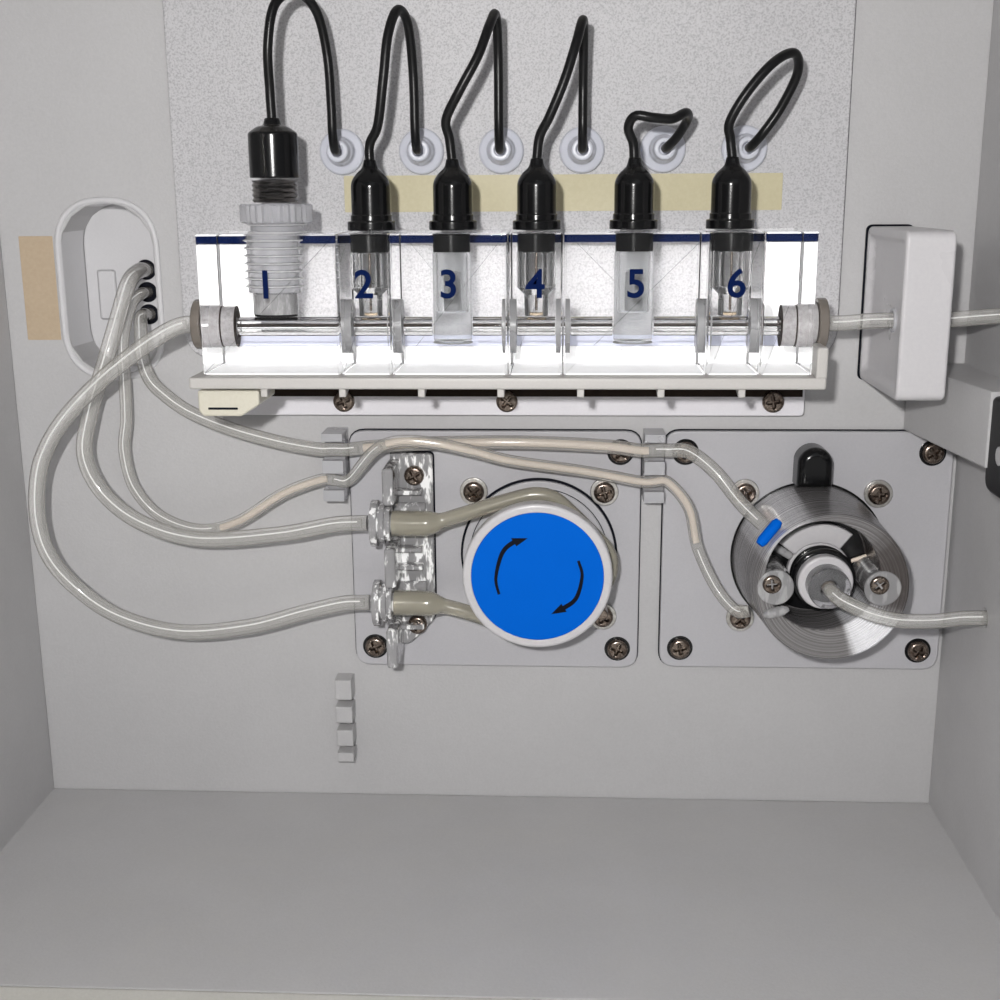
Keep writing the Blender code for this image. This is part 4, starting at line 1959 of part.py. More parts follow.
def make_tubes():
    routes = (
        ("outlet_tube", PUMP_LINE_RADIUS, OUTLET_ROUTE),
        ("waste_tube", PUMP_LINE_RADIUS, WASTE_ROUTE),
        ("standard_b_tube", STANDARD_B_RADIUS, STANDARD_B_ROUTE),
        ("standard_a_tube", STANDARD_A_RADIUS, STANDARD_A_ROUTE),
        ("sample_tube", PROBE_LINE_RADIUS, SAMPLE_ROUTE),
        ("rinse_tube", PROBE_LINE_RADIUS, RINSE_ROUTE),
    )
    for name, radius, route in routes:
        add(name, tube_curve(name, radius, route), TUBING)
    add("pump_tube", tube_curve("pump_tube", PUMP_TUBE_RADIUS, PUMP_ROUTE, SLEEVE_SWELL, 2, FINE_BEND_DEG), OLIVE)


make_base_pan()
make_outer_cover()
make_control_panel()
make_display_and_keys()
make_front_bezel()
make_rear_panel()
make_power_inlet()
make_power_switch()
make_foot_strips()
make_printer()
make_main_board()
make_bay_liner()
make_bay_back_plate()
make_sensor_panel()
make_electrode_tray()
make_tray_latch()
make_modules()
make_ion_electrodes()
make_reference_electrode()
make_fixing_plates()
make_drive_motors()
make_pump_ring()
make_pump_rotor()
make_rollers()
make_hose_anchor()
make_valve_body()
make_valve_rotor()
make_flow_detector()
make_probe()
make_bay_door()
make_tubes()
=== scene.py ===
import bpy
import math
import numpy as np
from mathutils import Matrix, Vector


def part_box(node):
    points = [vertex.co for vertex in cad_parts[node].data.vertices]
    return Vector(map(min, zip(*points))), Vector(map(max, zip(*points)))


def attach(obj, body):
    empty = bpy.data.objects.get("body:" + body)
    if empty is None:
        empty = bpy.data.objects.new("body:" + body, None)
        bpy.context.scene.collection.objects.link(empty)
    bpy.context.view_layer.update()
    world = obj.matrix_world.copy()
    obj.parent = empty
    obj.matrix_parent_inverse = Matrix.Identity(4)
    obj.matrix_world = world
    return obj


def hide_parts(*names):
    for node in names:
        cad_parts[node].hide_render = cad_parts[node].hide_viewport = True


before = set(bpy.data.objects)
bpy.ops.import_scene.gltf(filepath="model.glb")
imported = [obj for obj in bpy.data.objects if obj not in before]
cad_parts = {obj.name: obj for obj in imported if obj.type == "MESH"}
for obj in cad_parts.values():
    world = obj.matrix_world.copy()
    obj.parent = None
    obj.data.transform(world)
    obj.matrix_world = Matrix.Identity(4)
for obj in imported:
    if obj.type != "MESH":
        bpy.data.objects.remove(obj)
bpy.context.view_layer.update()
mm = 0.001

# Bay measures start at the middle of the bay floor's back edge: x right, y negative towards the user, z up
linerLow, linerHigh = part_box("bay_liner")
linerFacts = {"wall": 3.0, "backGap": 0.3}
bayOrigin = np.array([
    (linerLow.x + linerHigh.x) / 2,
    linerHigh.y + linerFacts["backGap"] * mm,
    linerLow.z + linerFacts["wall"] * mm,
])
print("frame loaded")


# Camera and light

cameraFit = {"lens": 45.515, "sensor": 36.0, "yaw": -2.85, "pitch": 13.74, "roll": -0.37,
             "place": (20.3, -311.7, 158.3)}


def addCamera(fit):
    # forward = (sin yaw cos pitch, cos yaw cos pitch, -sin pitch), then right and up turn by the roll
    yaw, pitch, roll = (math.radians(fit[k]) for k in ("yaw", "pitch", "roll"))
    forward = np.array([math.sin(yaw) * math.cos(pitch), math.cos(yaw) * math.cos(pitch), -math.sin(pitch)])
    level = np.array([math.cos(yaw), -math.sin(yaw), 0.0])
    upright = np.cross(level, forward)
    right = level * math.cos(roll) + upright * math.sin(roll)
    up = upright * math.cos(roll) - level * math.sin(roll)
    data = bpy.data.cameras.new("bayCamera")
    data.lens, data.sensor_width, data.clip_start, data.clip_end = fit["lens"], fit["sensor"], 0.01, 60
    camera = bpy.data.objects.new("bayCamera", data)
    bpy.context.collection.objects.link(camera)
    turn = Matrix(np.column_stack([right, up, -forward]).tolist()).to_4x4()
    camera.matrix_world = Matrix.Translation(Vector(np.array(fit["place"]) * mm + bayOrigin)) @ turn
    bpy.context.scene.camera = camera


lampFacts = {
    "key": {"place": (-6, -345, 188), "aim": (10, 0, 95), "size": 12, "watts": 0.88, "tint": (1.0, 0.985, 0.97)},
    "fill": {"place": (240, -820, 560), "aim": (0, -40, 110), "size": 620, "watts": 0.4, "tint": (0.95, 0.975, 1.0)},
    "high": {"place": (-700, -500, 1150), "aim": (0, 0, 120), "size": 800, "watts": 2.0, "tint": (1.0, 0.99, 0.97)},
    "back": {"place": (300, 1500, 2200), "aim": (0, 200, 0), "size": 2600, "watts": 60.0, "tint": (0.97, 0.985, 1.0)},
}
skyFacts = {"tint": (0.86, 0.89, 0.93, 1), "light": 0.17, "seen": 0.72}


def addLamp(name, facts):
    data = bpy.data.lights.new(name, "AREA")
    data.shape, data.size = "DISK", facts["size"] * mm
    data.energy, data.color = facts["watts"], facts["tint"]
    lamp = bpy.data.objects.new(name, data)
    bpy.context.collection.objects.link(lamp)
    place, aim = (Vector(np.array(facts[k]) * mm + bayOrigin) for k in ("place", "aim"))
    lamp.matrix_world = Matrix.Translation(place) @ (aim - place).to_track_quat("-Z", "Y").to_matrix().to_4x4()


addCamera(cameraFit)
for lampName, facts in lampFacts.items():
    addLamp(lampName + "Lamp", facts)
world = bpy.data.worlds.new("studio")
bpy.context.scene.world = world
world.use_nodes = True
# the sky lights the part faintly and shows pale itself
sky = world.node_tree.nodes["Background"]
sky.inputs["Color"].default_value = skyFacts["tint"]
seen = world.node_tree.nodes.new("ShaderNodeLightPath")
strength = world.node_tree.nodes.new("ShaderNodeMapRange")
strength.inputs["To Min"].default_value, strength.inputs["To Max"].default_value = skyFacts["light"], skyFacts["seen"]
world.node_tree.links.new(seen.outputs["Is Camera Ray"], strength.inputs["Value"])
world.node_tree.links.new(strength.outputs[0], sky.inputs["Strength"])
bpy.context.scene.view_settings.view_transform = "Standard"
print("camera and light placed")


# Node helpers; those from place to shadowRay give back one output socket

def put(tree, kind, feeds=None, **settings):
    made = tree.nodes.new(kind)
    for key, value in settings.items():
        setattr(made, key, value)
    for key, value in (feeds or {}).items():
        if isinstance(value, bpy.types.NodeSocket):
            tree.links.new(value, made.inputs[key])
        else:
            made.inputs[key].default_value = value
    return made


def place(tree):
    return put(tree, "ShaderNodeTexCoord").outputs["Object"]


def noise(tree, spot, scale, detail, rough=0.5):
    return put(tree, "ShaderNodeTexNoise", {"Vector": spot, "Scale": scale, "Detail": detail,
                                            "Roughness": rough}).outputs["Fac"]


def spread(tree, value, low=0.0, high=1.0, start=0.0, end=1.0, **settings):
    # low to high becomes start to end, and is held there beyond
    feeds = {"Value": value, "From Min": low, "From Max": high, "To Min": start, "To Max": end}
    return put(tree, "ShaderNodeMapRange", feeds, **settings).outputs[0]


def mixed(tree, share, first, second):
    return put(tree, "ShaderNodeMix", {"Factor": share, "A": first, "B": second}, data_type="RGBA").outputs["Result"]


def worked(tree, operation, *values, **settings):
    return put(tree, "ShaderNodeMath", dict(enumerate(values)), operation=operation, **settings).outputs[0]


def aimed(tree, operation, *values, result=0):
    return put(tree, "ShaderNodeVectorMath", dict(enumerate(values)), operation=operation).outputs[result]


def bumped(tree, height, depth, **feeds):
    return put(tree, "ShaderNodeBump", {"Strength": 1.0, "Distance": depth, "Height": height, **feeds}).outputs[0]


def softened(tree, radius):
    return put(tree, "ShaderNodeBevel", {"Radius": radius}, samples=4).outputs[0]


def faceNormal(tree):
    return put(tree, "ShaderNodeNewGeometry").outputs["Normal"]


def shadowRay(tree):
    return put(tree, "ShaderNodeLightPath").outputs["Is Shadow Ray"]


def joined(tree, node, feeds):
    for key, socket in feeds.items():
        tree.links.new(socket, node.inputs[key])
    return tree


def newEffect(name, inputs, outputs):
    # inputs are {socket name: value}: a number, three numbers for a vector or four for a colour
    tree = bpy.data.node_groups.new(name, "ShaderNodeTree")
    for title, value in inputs.items():
        kind = {1: "Float", 3: "Vector", 4: "Color"}[np.size(value)]
        tree.interface.new_socket(title, in_out="INPUT", socket_type="NodeSocket" + kind).default_value = value
    for title, kind in outputs.items():
        tree.interface.new_socket(title, in_out="OUTPUT", socket_type="NodeSocket" + kind)
    return tree, tree.nodes.new("NodeGroupInput").outputs, tree.nodes.new("NodeGroupOutput")


def makeGrain():
    # Fine moulded or painted grain: two noises on Object coordinates lift the surface and mottle its colour
    tree, given, result = newEffect("mouldedGrain", {
        "Base": (0.6, 0.6, 0.6, 1), "Shade": (0.5, 0.5, 0.5, 1), "Mottle": 0.3, "Grains per mm": 3.0, "Depth": 0.02,
        "Edge": 0.3,
    }, {"Color": "Color", "Rough": "Float", "Normal": "Vector"})
    fine = noise(tree, place(tree), worked(tree, "MULTIPLY", given["Grains per mm"], 1 / mm), 2.0, 0.6)
    cloud = noise(tree, place(tree), 38.0, 4.0, 0.55)
    share = worked(tree, "MULTIPLY", spread(tree, worked(tree, "ADD", fine, cloud), 0.72, 1.28), given["Mottle"])
    soft = softened(tree, worked(tree, "MULTIPLY", given["Edge"], mm))
    return joined(tree, result, {
        "Color": mixed(tree, share, given["Base"], given["Shade"]),
        "Rough": spread(tree, cloud, 0.3, 0.7, -0.06, 0.06),
        "Normal": bumped(tree, fine, worked(tree, "MULTIPLY", given["Depth"], mm), Normal=soft)})


def makeWear():
    # Edge wear: the bevelled normal differs from the face's own normal near an edge, broken up by noise
    tree, given, result = newEffect("edgeWear", {"Width mm": 0.7, "Amount": 0.5}, {"Mask": "Float"})
    soft = softened(tree, worked(tree, "MULTIPLY", given["Width mm"], mm))
    near = spread(tree, aimed(tree, "DOT_PRODUCT", soft, faceNormal(tree), result="Value"), 0.99, 0.8)
    patch = spread(tree, noise(tree, place(tree), 260.0, 3.0), 0.35, 0.65)
    return joined(tree, result, {"Mask": worked(tree, "MULTIPLY", worked(tree, "MULTIPLY", near, patch),
                                                given["Amount"])})


def makeDust():
    # Dust: rests where the surface looks up, in soft patches with fine specks
    tree, given, result = newEffect("restingDust", {"Amount": 0.3}, {"Mask": "Float"})
    facing = spread(tree, put(tree, "ShaderNodeSeparateXYZ", {0: faceNormal(tree)}).outputs["Z"], 0.45, 0.95)
    patch = spread(tree, noise(tree, place(tree), 60.0, 6.0, 0.7), 0.4, 0.7)
    return joined(tree, result, {"Mask": worked(tree, "MULTIPLY", worked(tree, "MULTIPLY", facing, patch),
                                                given["Amount"])})


def makeHaze():
    # Handling haze on clear and glossy plastic: broad smears and thin scratches
    tree, given, result = newEffect("handlingHaze", {"Low": 0.02, "High": 0.12, "Scratch mm": 0.004},
                                    {"Rough": "Float", "Normal": "Vector"})
    long = put(tree, "ShaderNodeMapping", {"Vector": place(tree), "Rotation": (0.3, 0.5, 0.2),
                                           "Scale": (1.0, 1.0, 9.0)})
    scratches = noise(tree, long.outputs[0], 420.0, 2.0)
    return joined(tree, result, {
        "Rough": spread(tree, noise(tree, place(tree), 90.0, 3.0), 0.35, 0.7, given["Low"], given["High"]),
        "Normal": bumped(tree, scratches, worked(tree, "MULTIPLY", given["Scratch mm"], mm))})


def makeTurned():
    # Lathe marks: fine rings about an axis along y through the centre, from a noise on the distance to that axis plus
    # the place along it
    tree, given, result = newEffect("turnedMarks", {
        "Centre": (0, 0, 0), "Rings per mm": 6.0, "Depth": 0.01, "Low": 0.05, "High": 0.2,
    }, {"Rough": "Float", "Normal": "Vector", "Mask": "Float"})
    apart = aimed(tree, "SUBTRACT", place(tree), given["Centre"])
    away = aimed(tree, "LENGTH", aimed(tree, "MULTIPLY", apart, (1 / mm, 0, 1 / mm)), result="Value")
    along = worked(tree, "MULTIPLY_ADD", put(tree, "ShaderNodeSeparateXYZ", {0: apart}).outputs["Y"], 1 / mm, away)
    rings = put(tree, "ShaderNodeTexNoise", {
        "W": along, "Scale": given["Rings per mm"], "Detail": 3.0, "Roughness": 0.7},
        noise_dimensions="1D").outputs["Fac"]
    return joined(tree, result, {
        "Rough": spread(tree, rings, 0.3, 0.7, given["Low"], given["High"]),
        "Normal": bumped(tree, rings, worked(tree, "MULTIPLY", given["Depth"], mm)),
        "Mask": spread(tree, rings, 0.3, 0.7)})


effects = {"grain": makeGrain(), "wear": makeWear(), "dust": makeDust(), "haze": makeHaze(), "turned": makeTurned()}


def newLook(name, sockets):
    look = bpy.data.materials.new(name)
    look.use_nodes = True
    tree = look.node_tree
    core = tree.nodes["Principled BSDF"]
    for title, value in sockets.items():
        core.inputs[title].default_value = value
    return look, tree, core


def effectIn(tree, name, feeds):
    return put(tree, "ShaderNodeGroup", feeds, node_tree=effects[name]).outputs


def tone(r, g, b):
    # an 8-bit sRGB colour as linear light
    c = np.array([r, g, b]) / 255
    return (*np.where(c <= 0.04045, c / 12.92, ((c + 0.055) / 1.055) ** 2.4), 1.0)


# Opaque finishes: colours, grains per mm and their depth in mm, roughness, edge in mm, its wear, dust,
# and where they differ from plain plastic, the strength of the gloss and a faint glow
solidColumns = ("base", "shade", "grains", "depth", "rough", "edge", "wear", "dust", "shine", "glow")
solidFacts = {
    "shell": ((206, 204, 198), (190, 188, 182), 1.6, 0.05, 0.42, 0.8, 0.35, 0.14),
    "wall": ((185, 184, 185), (174, 173, 174), 1.7, 0.055, 0.46, 0.7, 0.3, 0.12),
    "plate": ((181, 180, 184), (170, 169, 173), 2.6, 0.02, 0.4, 0.35, 0.5, 0.1),
    "white": ((198, 196, 198), (188, 186, 190), 1.2, 0.008, 0.3, 0.3, 0.2, 0.1),
    "shelf": ((188, 185, 182), (179, 176, 173), 2.2, 0.012, 0.36, 0.35, 0.4, 0.08),
    "cream": ((206, 202, 188), (194, 189, 172), 1.4, 0.01, 0.36, 0.3, 0.25, 0.12),
    "black": ((15, 15, 17), (24, 24, 27), 2.2, 0.02, 0.42, 0.4, 0.2, 0.08, 0.22),
    "rubber": ((12, 12, 13), (20, 20, 22), 3.0, 0.008, 0.17, 0.2, 0.1, 0.1, 0.35),
    "cable": ((15, 15, 16), (26, 26, 28), 2.2, 0.02, 0.32, 0.1, 0.05, 0.12, 0.3),
    "blueCap": ((0, 96, 204), (0, 90, 194), 2.4, 0.006, 0.6, 0.2, 0.0, 0.0, 0.04),
    "inkAndPaintedShade": ((10, 12, 22), (18, 20, 30), 3.0, 0.004, 0.5, 0.05, 0.0, 0.0, 0.1),
    "blueInk": ((8, 26, 70), (6, 20, 58), 3.0, 0.004, 0.75, 0.05, 0.0, 0.0, 0.04),
    "tape": ((194, 186, 154), (180, 171, 138), 1.1, 0.012, 0.5, 0.1, 0.2, 0.05),
    "tanTape": ((184, 166, 142), (172, 152, 128), 1.1, 0.012, 0.5, 0.1, 0.2, 0.05),
    # painted light: a glowing white for the strips and pad in the blocks and the highlight lines in the tubes
    "paintedLightWhite": ((250, 250, 250), (244, 244, 246), 1.0, 0.004, 0.5, 0.1, 0.0, 0.0, 0.5, 0.35),
    # painted light: a lighter copy of the shelf's finish, for the tray's flange
    "flangePaintedLit": ((222, 220, 225), (212, 210, 215), 2.4, 0.012, 0.36, 0.3, 0.4, 0.06),
    # painted light: a pale white with a faint glow, for the recess lining and the sleeve's thread crests
    "paleWhitePaintedLight": ((192, 191, 193), (184, 183, 185), 1.6, 0.02, 0.4, 0.6, 0.2, 0.05, 0.5, 0.12),
    # painted light: a faint glowing lavender for the strip low on the blocks' backs
    "lavender": ((205, 208, 226), (196, 199, 218), 1.0, 0.004, 0.5, 0.1, 0.0, 0.0, 0.5, 0.12),
    "nutSilver": ((176, 174, 176), (116, 112, 110), 1.2, 0.02, 0.16, 0.15, 0.4, 0.0),
    # painted shade: a dark brown for the shelf's shadow strip, the dark lines along the bores and the nuts' grooves
    "paintedShadowDark": ((46, 36, 30), (34, 26, 22), 2.0, 0.01, 0.6, 0.1, 0.0, 0.0, 0.1),
    "green": ((46, 132, 78), (38, 114, 66), 2.0, 0.012, 0.36, 0.4, 0.2, 0.08),
    "red": ((178, 44, 40), (154, 36, 34), 2.0, 0.012, 0.36, 0.4, 0.2, 0.08),
    "paper": ((240, 238, 230), (228, 225, 214), 5.0, 0.01, 0.75, 0.1, 0.0, 0.0),
    "board": ((26, 84, 52), (20, 66, 42), 2.0, 0.01, 0.4, 0.1, 0.1, 0.2),
    "floor": ((212, 211, 208), (206, 205, 202), 0.4, 0.01, 0.6, 0.0, 0.0, 0.0, 0.5, 0.24),
}


def solidLook(name, facts):
    base = tone(*facts["base"])
    # the glow is painted light: the base colour given off as emission; on the floor it makes an even brightness
    look, tree, core = newLook(name, {"IOR": 1.46, "Specular IOR Level": facts.get("shine", 0.5),
                                      "Emission Color": base, "Emission Strength": facts.get("glow", 0.0)})
    grain = effectIn(tree, "grain", {"Base": base, "Shade": tone(*facts["shade"]), "Mottle": 0.55,
                                     "Grains per mm": facts["grains"], "Depth": facts["depth"], "Edge": facts["edge"]})
    wear = effectIn(tree, "wear", {"Width mm": max(0.4, facts["edge"]), "Amount": facts["wear"]})
    dust = effectIn(tree, "dust", {"Amount": facts["dust"]})
    pale = (*(min(1.0, c * 1.25 + 0.03) for c in base[:3]), 1.0)
    worn = mixed(tree, wear["Mask"], grain["Color"], pale)
    joined(tree, core, {
        "Base Color": mixed(tree, dust["Mask"], worn, tone(188, 184, 176)),
        "Roughness": worked(tree, "ADD", grain["Rough"], facts["rough"], use_clamp=True),
        "Normal": grain["Normal"]})
    return look


def speckledLook():
    # Textured powder coat: pale ground with small dark pits, strongly lifted
    look, tree, core = newLook("speckledFinish", {"IOR": 1.46, "Roughness": 0.42})
    pits = noise(tree, place(tree), 2100.0, 3.0, 0.7)
    ground = mixed(tree, noise(tree, place(tree), 30.0, 2.0), tone(196, 195, 197), tone(185, 184, 187))
    joined(tree, core, {
        "Base Color": mixed(tree, spread(tree, pits, 0.38, 0.54), tone(164, 163, 166), ground),
        "Normal": bumped(tree, pits, 0.09 * mm)})
    return look


# Clear finishes: tint, index, roughness from low to high, scratches in mm, how much light their shadows pass, and how
# clear they are
clearColumns = ("tint", "ior", "low", "high", "scratch", "pass", "transmit")
clearFacts = {
    "acrylic": ((255, 255, 255), 1.49, 0.0, 0.04, 0.001, 0.97, 1.0),
    "sleeve": ((222, 222, 225), 1.22, 0.1, 0.2, 0.003, 0.6, 0.7),
    "coreClear": ((226, 227, 228), 1.12, 0.02, 0.08, 0.002, 0.9, 0.9),
    "glass": ((252, 252, 252), 1.47, 0.0, 0.03, 0.0, 0.95, 1.0),
    "bushingNylon": ((210, 212, 222), 1.42, 0.3, 0.4, 0.002, 0.3, 0.12),
    "silicone": ((202, 198, 184), 1.42, 0.12, 0.26, 0.006, 0.4, 0.66),
    "milkyCore": ((240, 226, 212), 1.4, 0.3, 0.42, 0.002, 0.4, 0.1),
    "seal": ((158, 158, 160), 1.3, 0.22, 0.36, 0.004, 0.4, 0.3),
    "nylon": ((208, 208, 212), 1.4, 0.16, 0.3, 0.004, 0.4, 0.4),
    "fitting": ((214, 214, 216), 1.3, 0.02, 0.1, 0.01, 0.6, 0.9),
    "endDisc": ((150, 142, 134), 1.45, 0.12, 0.26, 0.02, 0.4, 0.5),
    "smoked": ((96, 92, 90), 1.49, 0.02, 0.08, 0.002, 0.5, 1.0),
}


def clearLook(name, facts):
    tint = tone(*facts["tint"])
    look, tree, core = newLook(name, {"IOR": facts["ior"], "Transmission Weight": facts["transmit"],
                                      "Base Color": tint})
    marks = effectIn(tree, "haze", {"Low": facts["low"], "High": facts["high"], "Scratch mm": facts["scratch"]})
    joined(tree, core, {"Roughness": marks["Rough"], "Normal": marks["Normal"]})
    # a shadow ray passes part of the light, as clear plastic does
    share = worked(tree, "MULTIPLY", shadowRay(tree), facts["pass"])
    through = put(tree, "ShaderNodeBsdfTransparent", {"Color": tint})
    both = put(tree, "ShaderNodeMixShader", {0: share, 1: core.outputs[0], 2: through.outputs[0]})
    joined(tree, tree.nodes["Material Output"], {"Surface": both.outputs[0]})
    return look


# Thin clear plastic: see-through across its middle, denser and darker where it turns away, which is painted shade,
# with white specks that are painted glints; the colours and cover of its middle and its edge, where the edge begins
# and is full, the glints, roughness, and how much shadow it adds
veilColumns = ("middle", "edge", "thin", "dense", "from", "to", "paintedGlints", "rough", "shade")
veilFacts = {
    "clearTube": ((240, 238, 232), (98, 93, 86), 0.2, 0.9, 0.36, 0.8, 0.0, 0.06, 0.35),
    "clearBore": ((252, 250, 246), (150, 145, 138), 0.1, 0.6, 0.4, 0.9, 0.0, 0.06, 0.3),
    "anchorAcrylic": ((196, 195, 197), (74, 70, 68), 0.45, 0.95, 0.42, 0.9, 1.0, 0.05, 0.7),
    "post": ((170, 169, 171), (96, 94, 94), 0.6, 0.95, 0.3, 0.8, 0.35, 0.12, 0.7),
}


def veilLook(name, facts):
    look, tree, core = newLook(name, {"IOR": 1.48, "Roughness": facts["rough"], "Coat Weight": 0.6,
                                      "Coat Roughness": 0.02})
    side = put(tree, "ShaderNodeLayerWeight", {"Blend": 0.5})
    turnedAway = spread(tree, side.outputs["Facing"], facts["from"], facts["to"])
    long = put(tree, "ShaderNodeMapping", {"Vector": place(tree), "Rotation": (0.1, 0.25, 0.0),
                                           "Scale": (1.0, 1.0, 0.3)})
    # the white specks are painted glints, and they also make the plastic denser
    patch = spread(tree, noise(tree, long.outputs[0], 520.0, 3.0, 0.6), 0.5, 0.6, 0.0, facts["paintedGlints"])
    plain = mixed(tree, turnedAway, tone(*facts["middle"]), tone(*facts["edge"]))
    cover = worked(tree, "MAXIMUM", spread(tree, turnedAway, 0.0, 1.0, facts["thin"], facts["dense"]), patch)
    joined(tree, core, {
        "Base Color": mixed(tree, patch, plain, tone(252, 252, 252)),
        "Alpha": worked(tree, "MULTIPLY_ADD", shadowRay(tree), facts["shade"], cover, use_clamp=True)})
    return look


def steelLook(name, base, rough, dark):
    # Plated steel: a metal whose tone and polish vary in small patches
    look, tree, core = newLook(name, {"Metallic": 1.0})
    patch = noise(tree, place(tree), 700.0, 4.0, 0.6)
    joined(tree, core, {
        "Base Color": mixed(tree, spread(tree, patch, 0.35, 0.7), tone(*base), tone(*dark)),
        "Roughness": spread(tree, patch, 0.3, 0.7, rough, rough + 0.16),
        "Normal": bumped(tree, patch, 0.006 * mm)})
    return look


def displayLook():
    # Liquid-crystal window: dark green grey with a fine dot raster, under gloss
    look, tree, core = newLook("displayFinish", {"Coat Weight": 0.8, "Coat Roughness": 0.04, "IOR": 1.5,
                                                 "Roughness": 0.35})
    dots = put(tree, "ShaderNodeTexVoronoi", {"Vector": place(tree), "Scale": 1700.0, "Randomness": 0.0})
    mask = spread(tree, dots.outputs["Distance"], 0.25, 0.5)
    joined(tree, core, {"Base Color": mixed(tree, mask, tone(70, 86, 72), tone(56, 70, 60))})
    return look


# a painted highlight at the highlight angle in its pale colour, and a painted shadow at the shadow angle
lathedFacts = {"centre": (83.2, 0.0, 68.3), "rings": 2.2, "depth": 0.022, "low": 0.2, "high": 0.34,
               "pale": (140, 138, 139), "dark": (98, 95, 95),
               "paintedFan": -47.0, "paintedHighlight": (246, 246, 250), "shadow": 14.0, "paintedShadowBrown": (66, 59, 56)}


def lathedLook(facts):
    # Valve body: turned plastic whose rings mirror like brushed metal, with painted light in its colour: a painted
    # highlight fanned out where the cosine of the place round the axis less the highlight's angle is near 1, a fainter
    # painted one opposite, and a painted brownish shadow round the shadow angle
    look, tree, core = newLook("lathedFinish", {"Metallic": 0.35, "IOR": 1.49})
    centre = Vector(np.array(facts["centre"]) * mm + bayOrigin)
    marks = effectIn(tree, "turned", {
        "Centre": centre, "Rings per mm": facts["rings"], "Depth": facts["depth"], "Low": facts["low"],
        "High": facts["high"]})
    flat = aimed(tree, "MULTIPLY", aimed(tree, "SUBTRACT", place(tree), centre), (1, 0, 1))
    aim = aimed(tree, "NORMALIZE", flat)
    angles = (math.radians(facts[k]) for k in ("paintedFan", "shadow"))
    towards, past = (aimed(tree, "DOT_PRODUCT", aim, (math.cos(a), 0, math.sin(a)), result="Value") for a in angles)
    streaks = noise(tree, aim, 9.0, 3.0, 0.7)
    shaken = worked(tree, "MULTIPLY_ADD", streaks, 0.12, towards)
    behind = worked(tree, "MULTIPLY_ADD", streaks, 0.2, past)
    eased = {"interpolation_type": "SMOOTHSTEP"}
    paintedFan = spread(tree, shaken, 0.93, 1.04, **eased)
    far = spread(tree, shaken, -0.8, -0.93, 0.0, 0.45, **eased)
    paintedShadowShare = spread(tree, behind, 0.8, 1.08, 0.0, 0.8, **eased)
    paintedShadowBrown = mixed(tree, paintedShadowShare, mixed(tree, marks["Mask"], tone(*facts["dark"]), tone(*facts["pale"])),
                  tone(*facts["paintedShadowBrown"]))
    joined(tree, core, {
        "Base Color": mixed(tree, worked(tree, "MAXIMUM", paintedFan, far), paintedShadowBrown, tone(*facts["paintedHighlight"])),
        "Roughness": marks["Rough"], "Normal": marks["Normal"]})
    return look


looks = {"speckled": speckledLook(), "display": displayLook(), "lathed": lathedLook(lathedFacts),
         "steel": steelLook("screwSteel", (150, 138, 128), 0.2, (82, 68, 60)),
         "brightSteel": steelLook("washerSteel", (206, 204, 200), 0.3, (160, 156, 150)),
         "darkSteel": steelLook("motorSteel", (110, 110, 114), 0.34, (78, 78, 82))}
for makeLook, columns, table in ((solidLook, solidColumns, solidFacts), (clearLook, clearColumns, clearFacts),
                                 (veilLook, veilColumns, veilFacts)):
    for name, row in table.items():
        looks[name] = makeLook(name + "Finish", dict(zip(columns, row)))
print("finishes made:", len(looks))


# Shape helpers, all in bay millimetres

class Surface:
    # closed shells gathered for one piece
    def __init__(self):
        self.points, self.faces, self.finish, self.count = [], [], [], 0

    # rows is a grid of rings (ring, place round it, xyz): ring i is joined to ring i + 1, and the last to the first
    # where loop is set
    def add(self, rows, finish=0, loop=False, hollow=False):
        rows = np.asarray(rows, float)
        index = np.arange(rows.shape[0] * rows.shape[1]).reshape(rows.shape[:2])
        flat = rows.reshape(-1, 3)
        caps = []
        for end in () if loop else (0, -1):
            if np.ptp(rows[end], axis=0).max() < 1e-6:
                index[end] = index[end, 0]  # a ring shrunk to a point is one vertex
            else:
                caps.append(index[end][::-1] if end == 0 else index[end])
        near, far = (index, np.roll(index, -1, 0)) if loop else (index[:-1], index[1:])
        quads = np.stack([near, np.roll(near, -1, 1), np.roll(far, -1, 1), far], -1).reshape(-1, 4)
        # six times the volume, from the triangles' triple products, says which way the shell faces
        corner = flat[quads] - flat.mean(0)
        size = np.einsum("ij,ij->", corner[:, 0], np.cross(corner[:, 1], corner[:, 2])
                         + np.cross(corner[:, 2], corner[:, 3]))
        for cap in caps:
            ring = flat[cap] - flat.mean(0)
            size += np.einsum("j,ij->", ring[0], np.cross(ring[1:-1], ring[2:]))
        faces = [f if f[0] != f[1] and f[2] != f[3] else list(dict.fromkeys(f)) for f in quads.tolist()]
        faces += [cap.tolist() for cap in caps]
        if (size < 0) != hollow:
            faces = [f[::-1] for f in faces]
        self.faces += [[k + self.count for k in f] for f in faces]
        self.finish += [finish] * len(faces)
        self.points.append(flat)
        self.count += len(flat)
        return self

    def build(self, name, finishes, body="cabinet", stands=(), slot=None, crease=32):
        used, faceIndex = np.unique(np.concatenate(self.faces), return_inverse=True)
        cuts = np.cumsum([len(f) for f in self.faces])[:-1]
        faces = [f.tolist() for f in np.split(faceIndex, cuts)]
        mesh = bpy.data.meshes.new(name)
        mesh.from_pydata((np.vstack(self.points)[used] * mm + bayOrigin).tolist(), [], faces)
        mesh.polygons.foreach_set("material_index", np.array(self.finish, np.int32))
        mesh.polygons.foreach_set("use_smooth", np.ones(len(faces), bool))
        for finish in finishes:
            mesh.materials.append(looks[finish])
        mesh.set_sharp_from_angle(angle=math.radians(crease))
        mesh.update()
        made = bpy.data.objects.new(name, mesh)
        bpy.context.collection.objects.link(made)
        # each vertex takes its normal from the larger faces, so flats stay flat beside their rounded edges
        made.modifiers.new("flatFaces", "WEIGHTED_NORMAL").keep_sharp = True
        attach(made, body)
        if stands:
            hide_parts(*stands)
        return made


